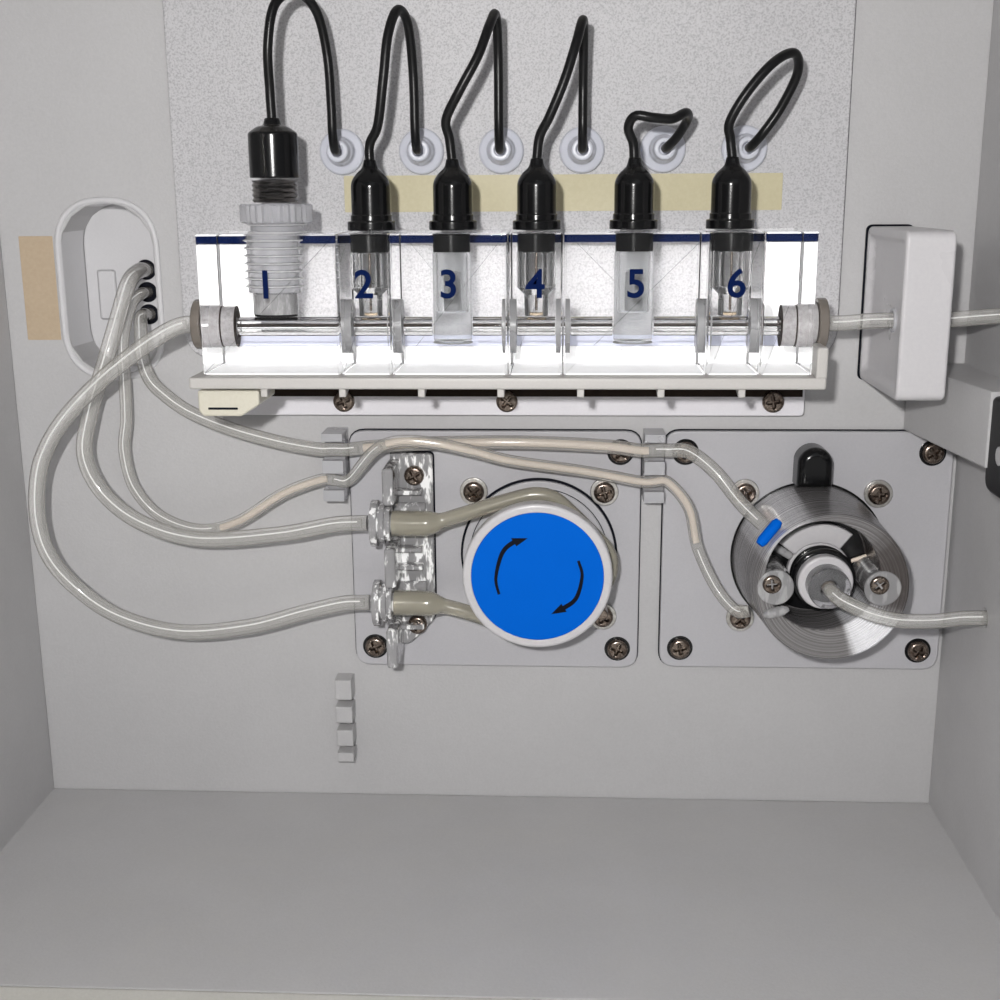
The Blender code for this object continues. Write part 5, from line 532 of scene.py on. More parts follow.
def soften(points, radius, steps=5, closed=False):
    # every corner becomes the curve (1-t)^2 a + 2t(1-t) corner + t^2 b, with a and b the radius away on each side
    p = np.array(points, float)
    back, ahead = np.roll(p, 1, 0) - p, np.roll(p, -1, 0) - p
    backLength, aheadLength = np.linalg.norm(back, axis=1), np.linalg.norm(ahead, axis=1)
    cut = np.minimum(radius, 0.49 * np.minimum(backLength, aheadLength))
    if not closed:
        cut[[0, -1]] = 0
    a = p + back * (cut / backLength)[:, None]
    b = p + ahead * (cut / aheadLength)[:, None]
    t = np.linspace(0, 1, steps)[None, :, None]
    out = ((1 - t) ** 2 * a[:, None] + 2 * t * (1 - t) * p[:, None] + t ** 2 * b[:, None]).reshape(-1, p.shape[1])
    keep = np.linalg.norm(out - np.roll(out, 1, 0), axis=1) > 1e-5
    if not closed:
        keep[0] = True
    return out[keep]


def rect(a0, a1, b0, b1, radius=0.0, steps=6):
    return soften([(a0, b0), (a1, b0), (a1, b1), (a0, b1)], radius, steps, closed=True)


def circle(a, b, radius, sides=48):
    turn = np.arange(sides) * 2 * np.pi / sides
    return np.column_stack([a + radius * np.cos(turn), b + radius * np.sin(turn)])


def rims(low, high, radius=0.4, steps=3):
    # (inset, height) levels of a slab with quarter-round edges: inset = r (1 - sin b), height = end +- r (1 - cos b)
    b = np.linspace(0, np.pi / 2, steps + 1)
    inset, lift = radius * (1 - np.sin(b)), radius * (1 - np.cos(b))
    return np.vstack([np.column_stack([inset, low + lift]), np.column_stack([inset, high - lift])[::-1]])


def stacked(outline, levels, axes="xzy"):
    # ring(i) = outline moved in by inset(i) along its mitred normals, at height(i); axes names the outline's two axes
    # and the height's
    o = np.array(outline, float)
    ahead = np.roll(o, -1, 0) - o
    ahead /= np.linalg.norm(ahead, axis=1)[:, None]
    normal = np.column_stack([-ahead[:, 1], ahead[:, 0]])
    past = np.roll(normal, 1, 0)
    lean = (normal + past) / np.maximum(0.4, 1 + (normal * past).sum(1))[:, None]
    area = (o[:, 0] * np.roll(o[:, 1], -1) - np.roll(o[:, 0], -1) * o[:, 1]).sum()
    inset, height = np.array(levels, float).T
    flat = o[None] + inset[:, None, None] * lean[None] * np.sign(area)
    rows = np.empty((len(inset), len(o), 3))
    a, b, c = ("xyz".index(k) for k in axes)
    rows[..., a], rows[..., b], rows[..., c] = flat[..., 0], flat[..., 1], height[:, None]
    return rows


def nested(a0, a1, b0, b1, radius, levels, axes="xzy", steps=8, least=0.6):
    # like stacked, for insets beyond the corner radius: each level is a rounded rectangle of its own
    rows = np.empty((len(levels), 4 * steps, 3))
    a, b, c = ("xyz".index(k) for k in axes)
    for row, (inset, height) in zip(rows, levels):
        ring = rect(a0 + inset, a1 - inset, b0 + inset, b1 - inset, max(radius - inset, least), steps)
        row[:, a], row[:, b], row[:, c] = ring[:, 0], ring[:, 1], height
    return rows


def band(near, far, inner, outer, soft=0.0, steps=5):
    # profile of a rod, or of a ring where inner is above 0, between two heights
    profile = [(near, inner), (near, outer), (far, outer), (far, inner)]
    return soften(profile, soft, steps, closed=inner > 0) if soft else profile


def turned(profile, centre, axis="y", sides=56):
    # point(s, a) = centre + axis * height(s) + radius(s) * (cos a, sin a) across the axis
    height, radius = np.array(profile, float).T
    turn = np.arange(sides) * 2 * np.pi / sides
    k = "xyz".index(axis)
    rows = np.tile(np.array(centre, float), (len(height), sides, 1))
    rows[..., k] += height[:, None]
    rows[..., (k + 1) % 3] += radius[:, None] * np.cos(turn)
    rows[..., (k + 2) % 3] += radius[:, None] * np.sin(turn)
    return rows


def smoothRoute(points, step=0.7):
    # Catmull-Rom: 0.5 (2b + (c-a) t + (2a-5b+4c-d) t^2 + (3b-a-3c+d) t^3), then even steps along its length
    p = np.array(points, float)
    p = np.vstack([2 * p[0] - p[1], p, 2 * p[-1] - p[-2]])
    a, b, c, d = (p[k:len(p) - 3 + k, None] for k in range(4))
    t = np.linspace(0, 1, 24, endpoint=False)[None, :, None]
    fine = 0.5 * (2 * b + (c - a) * t + (2 * a - 5 * b + 4 * c - d) * t ** 2 + (3 * b - a - 3 * c + d) * t ** 3)
    fine = np.vstack([fine.reshape(-1, 3), p[-2:-1]])
    run = np.append(0, np.cumsum(np.linalg.norm(np.diff(fine, axis=0), axis=1)))
    even = np.linspace(0, run[-1], max(3, int(run[-1] / step)))
    return np.column_stack([np.interp(even, run, fine[:, k]) for k in range(3)])


def carried(route, radius, sides=24):
    # point(s, a) = route(s) + radius(s) (u cos a + v sin a); u is carried along the route without twist, and v is the
    # tangent crossed with u
    tangent = np.gradient(route, axis=0)
    tangent /= np.linalg.norm(tangent, axis=1)[:, None]
    u = np.empty_like(route)
    start = np.eye(3)[np.abs(tangent[0]).argmin()]
    for k, along in enumerate(tangent):
        start = start - along * (start @ along)
        start = start / np.linalg.norm(start)
        u[k] = start
    v = np.cross(tangent, u)
    turn = np.arange(sides) * 2 * np.pi / sides
    radius = np.broadcast_to(radius, len(route))[:, None, None]
    return route[:, None] + radius * (u[:, None] * np.cos(turn)[None, :, None] + v[:, None]
                                      * np.sin(turn)[None, :, None])


def hose(route, outer, bore, sides=24):
    # a tube with its bore: out along the outer wall and back along the inner one
    return np.concatenate([carried(route, outer, sides), carried(route, bore, sides)[::-1]])


def screwHead(surface, x, z, face, turn, radius=2.9, rise=1.9, finish=0, sides=48):
    # pan head facing the user: nearly flat out to 0.72 of its radius, then a quarter round, less a cross-shaped recess
    # of two tapering arms
    share = np.array([0, 0.08, 0.16, 0.23, 0.3, 0.37, 0.44, 0.52, 0.6, 0.72, 0.82, 0.9, 0.96, 1.0, 1.0])
    angle = np.arange(sides) * 2 * np.pi / sides
    across, along = share[:, None] * np.cos(angle - turn), share[:, None] * np.sin(angle - turn)
    armA = np.clip((0.16 - np.abs(across)) / 0.07, 0, 1) * np.clip((0.62 - np.abs(along)) / 0.08, 0, 1)
    armB = np.clip((0.16 - np.abs(along)) / 0.07, 0, 1) * np.clip((0.62 - np.abs(across)) / 0.08, 0, 1)
    fall = 0.55 * (1 - np.sqrt(1 - (np.clip(share - 0.72, 0, 0.28) / 0.28) ** 2))
    height = rise * (1 - 0.08 * share ** 2 - fall)[:, None] - 0.9 * np.maximum(armA, armB)
    height[-1] = 0
    rows = np.stack([x + radius * share[:, None] * np.cos(angle), face - height,
                     z + radius * share[:, None] * np.sin(angle)], -1)
    base = np.tile([x, face, z], (1, sides, 1))
    surface.add(np.concatenate([rows, base]), finish)


def lettering(name, text, x, z, face, height, finish, body="cabinet"):
    # plain figures, made a mesh and laid on a plane that faces the user
    data = bpy.data.curves.new(name, "FONT")
    data.body, data.size, data.extrude, data.offset = text, height, 0.02, 0.16
    data.align_x, data.align_y = "CENTER", "CENTER"
    draft = bpy.data.objects.new(name + "Draft", data)
    bpy.context.collection.objects.link(draft)
    bpy.context.view_layer.update()
    mesh = bpy.data.meshes.new_from_object(draft.evaluated_get(bpy.context.evaluated_depsgraph_get()))
    bpy.data.objects.remove(draft)
    flat = np.empty(len(mesh.vertices) * 3, np.float32)
    mesh.vertices.foreach_get("co", flat)
    flat = flat.reshape(-1, 3).astype(float)
    spot = np.column_stack([x + flat[:, 0], face - flat[:, 2], z + flat[:, 1]])
    mesh.vertices.foreach_set("co", (spot * mm + bayOrigin).astype(np.float32).ravel())
    mesh.materials.clear()
    mesh.materials.append(looks[finish])
    mesh.update()
    made = bpy.data.objects.new(name, mesh)
    bpy.context.collection.objects.link(made)
    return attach(made, body)


# Tubes and cables

tubeFacts = {
    "outletTube": {"stands": "outlet_tube", "outer": 2.0, "bore": 1.15, "route": [
        (-64.3, -24, 129), (-66.2, -24, 128.9), (-70, -23.5, 127.6), (-78, -21.5, 123), (-89, -19, 115),
        (-98.5, -16.5, 106.5), (-104.5, -15, 99), (-108.2, -14, 91), (-109.6, -13.5, 80), (-108, -12.5, 70),
        (-102, -12, 61.5), (-91.5, -12, 54), (-76, -12, 50), (-58.5, -12, 51.6), (-44, -12, 55.6), (-34.5, -12, 57.9),
        (-29.5, -12, 58.25), (-27.45, -12, 58.3)]},
    "wasteTube": {"stands": "waste_tube", "outer": 2.0, "bore": 1.15, "route": [
        (-87, 15, 139.1), (-87, 8, 139), (-87.3, 1, 136.5), (-89, -4, 128), (-91.8, -7, 118), (-96, -8.6, 105.5),
        (-97.9, -9.5, 95), (-93.8, -10, 85.6), (-84.5, -10.5, 78.2), (-70, -11, 74.2), (-50, -12, 75.8),
        (-36, -12, 78.4), (-29.5, -12, 78.85), (-27.45, -12, 78.9)]},
    "standardTubeB": {"stands": "standard_b_tube", "outer": 1.5, "bore": 0.85, "filled": (-66, -38, -22.5, 53.8),
                      "route": [
        (-87, 15, 133.4), (-87, 8, 133.2), (-88, 3.5, 130.8), (-88.6, -2, 123), (-88.2, -4.2, 113),
        (-88.3, -5, 103.5), (-89.4, -5, 95.5), (-87.6, -5, 86), (-81.5, -5, 78.6), (-71.5, -5.5, 75.2),
        (-61.5, -6, 77.4), (-49.5, -6.4, 84.8), (-39.8, -6.6, 88.5), (-36, -6.6, 88.5), (-32.4, -6.6, 88.6),
        (-25.5, -10.6, 96.6), (-20, -11.2, 99.2), (-12, -10.9, 99), (-2, -10.5, 96.9), (8, -8.8, 94), (26, -6.8, 91),
        (39.6, -6.6, 88.5), (43, -6.6, 88.5), (46.6, -6.6, 88.3), (51.8, -7.4, 82), (54.2, -8.4, 72),
        (58.8, -10.6, 62.5), (63.4, -13.6, 57.6), (66.6, -14.6, 57.98)]},
    "standardTubeA": {"stands": "standard_a_tube", "outer": 1.75, "bore": 1.0, "filled": (-29, 42), "route": [
        (-87, 15, 127.7), (-87, 8, 127.6), (-86, 4, 124.6), (-84.2, -1.5, 118.6), (-82, -4, 113.6),
        (-78.6, -4.8, 110), (-72, -5.4, 105.4), (-61.5, -6, 101.2), (-49.5, -6.5, 98), (-39.8, -6.6, 96.3),
        (-36, -6.6, 96.3), (-32.4, -6.6, 96.3), (-26, -6.7, 97), (-13, -6.7, 97.9), (10, -6.6, 98.2),
        (30, -6.7, 97.4), (39.6, -6.6, 96.3), (43, -6.6, 96.3), (46.6, -6.6, 96.3), (51.5, -8, 96.2), (57.5, -11, 92),
        (63.4, -13.4, 85), (69.45, -14.6, 79.25)]},
    "sampleTube": {"stands": "sample_tube", "outer": 1.75, "bore": 0.9, "route": [
        (79.1, -24, 129), (84, -24, 129.1), (90, -24, 129.6), (98, -24, 129.7), (106, -24.2, 129.8),
        (112, -25.4, 130.4), (116.5, -26, 130.8), (120, -26, 130.8)]},
    "rinseTube": {"stands": "rinse_tube", "outer": 1.75, "bore": 0.9, "route": [
        (82.5, -29.95, 68.3), (82.6, -31.4, 68.25), (84, -34, 67.4), (86.8, -35.4, 66.2), (91.5, -35.2, 64.2),
        (98, -33.8, 62.4), (106, -31.6, 61.6), (113, -30.2, 61.9), (120, -30, 62)]},
}
for name, facts in tubeFacts.items():
    # a solid wall with closed bores in it; milky filling lies between each pair of places along x
    route = smoothRoute(facts["route"])
    tube = Surface().add(carried(route, facts["outer"]))
    cuts = [1, *(int(np.argmax(route[:, 0] > x)) for x in facts.get("filled", ())), len(route) - 1]
    for k, (first, last) in enumerate(zip(cuts[:-1], cuts[1:])):
        part = route[first:last]
        if k % 2:
            tube.add(carried(part, facts["bore"], 16), 1)
        elif len(part) > 5:
            tube.add(carried(part[1:-1], facts["bore"], 20), 3)
            # painted highlight: a thin glowing white line towards the upper left of the bore, where the flash shines
            tube.add(carried(part[2:-2] + np.array([-0.35, -0.2, 0.35]) * facts["bore"], facts["bore"] * 0.16, 10), 2)
    tube.build(name, ["clearTube", "milkyCore", "paintedLightWhite", "clearBore"], stands=[facts["stands"]], slot="tubing")

pumpTubeFacts = {"radius": 1.9, "bore": 0.9, "endRadius": 3.15, "endBore": 2.65, "hold": 8.5, "swell": 13.0,
                 "front": -12.0, "route": [
        (-21.2, 78.9), (-12, 79), (-4, 81.2), (4, 83.8), (9.5, 85.4), (12.4, 86.15), (14.7, 86.3), (17.1, 85.95),
        (19.6, 84.7), (22.9, 81.6), (27.9, 76.6), (31, 73.3), (32.3, 70.8), (32.6, 68.4), (32.3, 66), (31, 63.5),
        (27.9, 60.2), (22.9, 55.2), (19.6, 52.1), (17.1, 50.85), (14.7, 50.5), (12.2, 50.75), (8, 52.1), (2, 54.3),
        (-5, 56.6), (-12, 58.1), (-21.2, 58.3)]}


def makePumpTube(facts):
    # the wall swells where it is pushed over each hose barb: share = smooth step of the distance to the nearer end
    route = smoothRoute([(x, facts["front"], z) for x, z in facts["route"]])
    run = np.append(0, np.cumsum(np.linalg.norm(np.diff(route, axis=0), axis=1)))
    share = np.clip((facts["swell"] - np.minimum(run, run[-1] - run)) / (facts["swell"] - facts["hold"]), 0, 1)
    share = share * share * (3 - 2 * share)
    outer = facts["radius"] + (facts["endRadius"] - facts["radius"]) * share
    bore = facts["bore"] + (facts["endBore"] - facts["bore"]) * share
    Surface().add(hose(route, outer, bore, 28), loop=True).build("pumpTube", ["silicone"], stands=["pump_tube"],
                                                                 slot="pump_tubing")


makePumpTube(pumpTubeFacts)
print("tubes made")


# Cabinet panels, kept from the frame with their own finishes

panelFinish = {
    "outer_cover": "shell", "base_pan": "shell", "control_panel": "shell", "front_bezel": "shell",
    "rear_panel": "shell", "bay_liner": "wall", "bay_back_plate": "wall", "foot_strip_left": "rubber",
    "foot_strip_right": "rubber", "display_window": "display", "printer_cradle": "black", "power_inlet": "black",
    "main_board": "board", "pump_motor": "darkSteel", "valve_motor": "darkSteel", "printer_lid": "shell",
    "door_frame": "shell", "door_pane": "smoked", "power_switch": "black",
}
for name, finish in panelFinish.items():
    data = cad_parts[name].data
    data.materials.clear()
    data.materials.append(looks[finish])


clipFacts = {"spans": [(-38.8, -33.4), (40.5, 45.6)], "low": 80, "front": -0.2}


def paintBlocks(name, finish, facts):
    # faces in front of the wall, above the low limit and inside the x spans take their own finish
    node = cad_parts[name]
    mesh = node.data
    middles = np.empty(len(mesh.polygons) * 3, np.float32)
    mesh.polygons.foreach_get("center", middles)
    turn = np.array(node.matrix_world)
    spot = (middles.reshape(-1, 3) @ turn[:3, :3].T + turn[:3, 3] - bayOrigin) / mm
    across = np.any([(spot[:, 0] > a) & (spot[:, 0] < b) for a, b in facts["spans"]], 0)
    inside = (spot[:, 1] < facts["front"]) & (spot[:, 2] > facts["low"]) & across
    mesh.materials.append(looks[finish])
    mesh.polygons.foreach_set("material_index", inside.astype(np.int32))


paintBlocks("bay_back_plate", "nylon", clipFacts)


# Rounded lining of the tube recess, with the raised pad on its floor

recessFacts = {"x": (-103.4, -79.8), "z": (113.8, 156.2), "depth": 14.6, "pad": ((-99.6, -95.2), (126.6, 138.9)),
               "holes": (139.1, 133.4, 127.7), "holeX": -87.0, "holeRadius": 2.6}


def makeRecess(facts):
    (x0, x1), (z0, z1), depth = facts["x"], facts["z"], facts["depth"]
    r = (x1 - x0) / 2
    outline = rect(x0, x1, z0, z1, r - 0.01, 40)
    levels = np.array([(0.0, 0.0), (-1.3, 0.0), (-1.25, -0.25), (-0.8, -0.5), (-0.2, -0.42), (0.3, 0.05), (0.45, 0.7),
                       (0.5, depth), (0.0, depth)])
    lining = Surface().add(stacked(outline, levels), loop=True)
    padX, padZ = facts["pad"]
    lining.add(stacked(rect(*padX, *padZ, 0.5), rims(depth - 0.7, depth + 0.3, 0.3)))
    lining.add(stacked(rect(x0 + 0.6, x1 - 0.6, z0 + 0.6, z1 - 0.6, r - 0.7, 40),
                       [(0, depth - 0.15), (0, depth - 0.05)]))
    # dark discs painted on the floor as the shade inside the three tube holes
    for z in facts["holes"]:
        lining.add(turned(band(depth - 0.2, depth - 0.12, 0, facts["holeRadius"]), (facts["holeX"], 0, z), sides=40), 1)
    # the lining's finish glows faintly: painted light that brightens the recess
    lining.build("recessLining", ["paleWhitePaintedLight", "inkAndPaintedShade"], slot="bay")


makeRecess(recessFacts)
print("panels finished")


# Screws on the back wall: (x, z, face that they sit on, turn of the cross); the first three of "plate" and of
# "mount" are the pump plate's, and the others the valve plate's

screwFacts = {
    "plate": [(-27.9, 43.0, -1.9, 0.4), (35.0, 43.0, -1.9, 1.2), (35.0, 94.9, -1.9, 0.9),
              (51.1, 43.4, -1.9, 0.2), (111.6, 43.4, -1.9, 1.0), (111.6, 95.0, -1.9, 0.6), (51.1, 95.0, -1.9, 1.3)],
    "mount": [(14.7 - 16.4, 68.4 + 16.4, -1.9, 0.7), (14.7 + 16.4, 68.4 + 16.4, -1.9, 0.3),
              (14.7 + 16.4, 68.4 - 16.4, -1.9, 1.1), (82.5 - 16.4, 68.3 + 16.4, -1.9, 0.5),
              (82.5 + 16.4, 68.3 + 16.4, -1.9, 0.1), (82.5 - 16.4, 68.3 - 16.4, -1.9, 0.8)],
    "tray": [(-33.7, 107.8, -2.9, 0.35), (6.8, 107.8, -2.9, 0.9), (71.9, 107.8, -2.9, 0.15)],
    "anchor": [(-16.4, 89.4, -4.7, 0.5), (-16.4, 50.2, -4.7, 1.2)],
    "radius": 2.65, "rise": 1.35, "washerRadius": 3.5, "washerThick": 0.9,
}


def platePiece(name, box, mounts, plates, node):
    # mounting plate with a rounded rim on a thin painted shade line, its corner screws, and washered motor screws
    surface = Surface().add(stacked(rect(*box, 4.0), rims(-1.9, -0.3, 0.35)))
    # the thin dark outline round the plate is painted shade along its edge
    surface.add(stacked(rect(*box, 4.0), [(-0.28, -0.6), (-0.28, -0.05)]), 3)
    for x, z, face, turn in plates:
        # a dark ring under each corner screw, painted shade round its head
        surface.add(turned([(face, 0), (face, 3.3), (face - 0.12, 3.2), (face - 0.12, 0)], (x, 0, z)), 2)
        screwHead(surface, x, z, face - 0.1, turn, screwFacts["radius"], screwFacts["rise"], 1)
    for x, z, face, turn in mounts:
        thick, wide = screwFacts["washerThick"], screwFacts["washerRadius"]
        surface.add(turned(band(face, face - thick, 0, wide, 0.2), (x, 0, z)), 4)
        screwHead(surface, x, z, face - thick, turn, screwFacts["radius"], screwFacts["rise"], 1)
    surface.build(name, ["plate", "steel", "rubber", "inkAndPaintedShade", "brightSteel"], stands=[node], slot="plate")


platePiece("pumpPlate", (-33.1, 40.2, 37.8, 100.1), screwFacts["mount"][:3], screwFacts["plate"][:3], "pump_plate")


# Valve plate with its black domed stop

stopFacts = {"x": 82.0, "radius": 4.3, "low": 87.6, "top": 97.4, "face": -1.9, "front": -9.3, "dome": 2.2}


def makeStop(facts):
    # outline: a bar whose top is a half circle; its front edge is rounded
    turn = np.linspace(0, np.pi, 17)
    arch = np.column_stack([facts["x"] + facts["radius"] * np.cos(turn),
                            facts["top"] - facts["radius"] + facts["radius"] * np.sin(turn)])
    outline = np.vstack([[(facts["x"] - facts["radius"], facts["low"]), (facts["x"] + facts["radius"], facts["low"])],
                         arch])
    b = np.linspace(0, np.pi / 2, 7)
    levels = np.vstack([[(0, facts["face"])], np.column_stack([facts["dome"] * (1 - np.cos(b)),
                                                               facts["front"] + facts["dome"] * (1 - np.sin(b))])])
    Surface().add(stacked(outline[:-1], levels)).build("valveStop", ["rubber"], slot="rubber")


platePiece("valvePlate", (45.9, 116.8, 38.2, 100.2), screwFacts["mount"][3:], screwFacts["plate"][3:], "valve_plate")
makeStop(stopFacts)


# Roller pump

pumpFacts = {"x": 14.7, "z": 68.4, "ring": (8.9, 19.3), "cap": 18.0, "disc": 15.9, "front": -22.0, "back": -17.9,
             "post": (19.2, -35.0), "orbit": 11.6, "roller": (-17.6, -6.7, 1.6, 3.8)}
arrowFacts = {
    "left": [(-0.58, -0.28), (-0.625, -0.02), (-0.53, 0.365), (-0.356, 0.54)], "leftTip": (-0.144, 0.606),
    "right": [(0.615, 0.26), (0.673, 0.02), (0.587, -0.327), (0.394, -0.49)], "rightTip": (0.21, -0.587),
    "tail": 0.02, "neck": 0.036, "head": 0.075, "headLength": 0.2,
}


def arrowOutline(tail, tip, facts):
    # a stroke widening from tail to neck along the smooth tail line, then a triangular head to the tip
    line = smoothRoute([(a, b, 0) for a, b in tail + [tip]], 0.03)[:, :2]
    length = np.linalg.norm(line - line[-1], axis=1)
    shaft = line[length > facts["headLength"]]
    along = np.gradient(shaft, axis=0)
    along /= np.linalg.norm(along, axis=1)[:, None]
    side = np.column_stack([-along[:, 1], along[:, 0]])
    width = np.linspace(facts["tail"], facts["neck"], len(shaft))[:, None]
    barb = np.array([shaft[-1] + side[-1] * facts["head"], line[-1], shaft[-1] - side[-1] * facts["head"]])
    return np.vstack([shaft + side * width, barb, (shaft - side * width)[::-1]])


def makePump(facts, arrows):
    x, z, front = facts["x"], facts["z"], facts["front"]
    inner, outer = facts["ring"]
    section = soften([(-2.2, inner), (-4.1, inner), (-4.1, outer - 2.2), (-3.5, outer - 1.9), (-3.5, outer),
                      (-2.2, outer)], 0.25, closed=True)
    ring = Surface().add(turned(section, (x, 0, z), sides=96), loop=True)
    away, angle = facts["post"][0], math.radians(facts["post"][1])
    postX, postZ = x + away * math.cos(angle), z + away * math.sin(angle)
    # two thin dark rings painted as shade: one round the ring's outer edge, one on its face
    ring.add(turned(band(-1.95, -2.3, outer - 1, outer + 0.6), (x, 0, z), sides=96), 2, loop=True)
    ring.add(turned(band(-3.3, -3.62, outer - 2.0, outer - 1.72), (x, 0, z), sides=96), 2, loop=True)
    ring.add(turned(band(-3.0, -17.3, 0, 1.5, 0.4), (postX, 0, postZ), sides=24), 1)
    ring.build("pumpRing", ["plate", "steel", "inkAndPaintedShade"], stands=["pump_ring"], slot="plate")

    disc, cap, back = facts["disc"], facts["cap"], facts["back"]
    profile = soften([(back, 0), (back, cap), (front, cap), (front, disc + 0.05), (front + 0.35, disc + 0.05),
                      (front + 0.35, 0)], np.array([0, 0.4, 0.9, 0.12, 0.05, 0]), 6)
    rotor = Surface().add(turned(profile, (x, 0, z), sides=128))
    rotor.add(turned(band(front + 0.35, front + 0.12, 0, disc, 0.08, 3), (x, 0, z), sides=128), 1)
    for side in ("left", "right"):
        outline = arrowOutline(arrows[side], arrows[side + "Tip"], arrows) * disc + (x, z)
        rotor.add(stacked(outline, [(0, front + 0.15), (0, front + 0.09)]), 2)
    rotor.add(turned(band(back, -4.8, 0, 5.2), (x, 0, z), sides=48), 0)
    rotor.add(turned(band(-4.6, -6.4, 0, 13.6, 0.3), (x, 0, z), sides=96), 0)
    for k in range(4):
        a, b = facts["orbit"] * math.cos(math.pi / 2 * (1 - k)), facts["orbit"] * math.sin(math.pi / 2 * (1 - k))
        rotor.add(turned(band(back, -6.4, 0, 1.4), (x + a, 0, z + b), sides=20), 3)
        roller = Surface().add(turned(band(*facts["roller"], 0.4), (x + a, 0, z + b), sides=40), loop=True)
        roller.build(f"pumpRoller{k + 1}", ["white"], body=f"roller_{k + 1}", stands=[f"roller_{k + 1}"], slot="white")
    rotor.build("pumpRotor", ["white", "blueCap", "inkAndPaintedShade", "steel"], body="pump_rotor", stands=["pump_rotor"],
                slot="white")


makePump(pumpFacts, arrowFacts)
print("pump made")


# Clear anchor with the two hose couplings

anchorFacts = {"couplings": (78.9, 58.3), "front": -12.0}


def makeAnchor(facts):
    flange = soften([(-22.5, 44.6), (-18.6, 44.6), (-11.8, 51.6), (-11.8, 94.8), (-22.5, 94.8)],
                    np.array([0.5, 1.5, 1.5, 1.2, 0.5]), closed=True)
    anchor = Surface().add(stacked(flange, rims(-4.7, -2.25, 0.6, 5)))
    # a thin dark outline behind the flange, painted shade along its edges
    anchor.add(stacked(flange, [(-0.25, -2.15), (-0.25, -1.95)]), 2)
    # upright bar, broken where the two couplings pass
    for low, top in ((42.6, 52.8), (63.6, 73.6), (84.4, 93.6)):
        anchor.add(stacked(rect(-22.9, -20.1, low, top, 0.9), rims(-17.0, -3.4, 0.7, 4)))
    for z in (66.2, 70.8, 85.6, 50.4):
        anchor.add(stacked(rect(-20.8, -14.4, z - 0.6, z + 0.6, 0.4), rims(-8.2, -3.4, 0.35)))
    for z in (60.6, 76.6, 81.2, 56.0):
        anchor.add(turned(band(-21.4, -13.6, 0, 1.4, 0.5), (0, -5.4, z), "x", 24))
    for x, z, face, turn in screwFacts["anchor"]:
        screwHead(anchor, x, z, face, turn, 2.5, 1.6, 1)
    profile = [(-26.9, 1.2), (-26.9, 3.0), (-26.3, 3.2), (-26.3, 5.8), (-24.6, 5.8), (-24.6, 4.3), (-24.1, 4.3),
               (-24.1, 5.1), (-22.9, 5.1), (-22.9, 4.1), (-22.5, 4.1), (-22.5, 4.5), (-21.5, 4.5), (-21.5, 2.5),
               (-18.4, 2.5), (-18.4, 1.2)]
    for z in facts["couplings"]:
        anchor.add(turned(soften(profile, 0.22, 4, closed=True), (0, facts["front"], z), "x"), loop=True)
    anchor.build("hoseAnchor", ["anchorAcrylic", "steel", "inkAndPaintedShade"], stands=["hose_anchor"], slot="acrylic")


makeAnchor(anchorFacts)


# Rotary valve: turned clear body, white seat and hub, O-ring, clear fitting

valveFacts = {
    "x": 82.5, "z": 68.3, "front": -28.4, "back": -2.2, "floor": -14.0, "posts": 12.3,
    # distance along y, radius, and how far the ring's centre lies from the axis in x and z
    "shell": [(-2.2, 0, 0, 0), (-2.2, 18.9, 0, 0), (-12.0, 18.5, 0.3, 0), (-27.6, 17.7, 0.8, 0), (-28.2, 17.5, 0.8, 0),
              (-28.4, 17.2, 0.8, 0), (-28.4, 13.3, -1.6, 2.9), (-28.2, 13.1, -1.6, 2.9), (-27.8, 13.0, -1.6, 2.9),
              (-14.0, 13.0, -1.6, 2.9), (-14.0, 0, -1.6, 2.9)],
    "ferrule": [(66.3, -26.6, 78.2), (70.9, -24.6, 83.4)],
    "seat": {"from": 52, "to": 143, "inner": 7.4, "outer": 12.2},
}


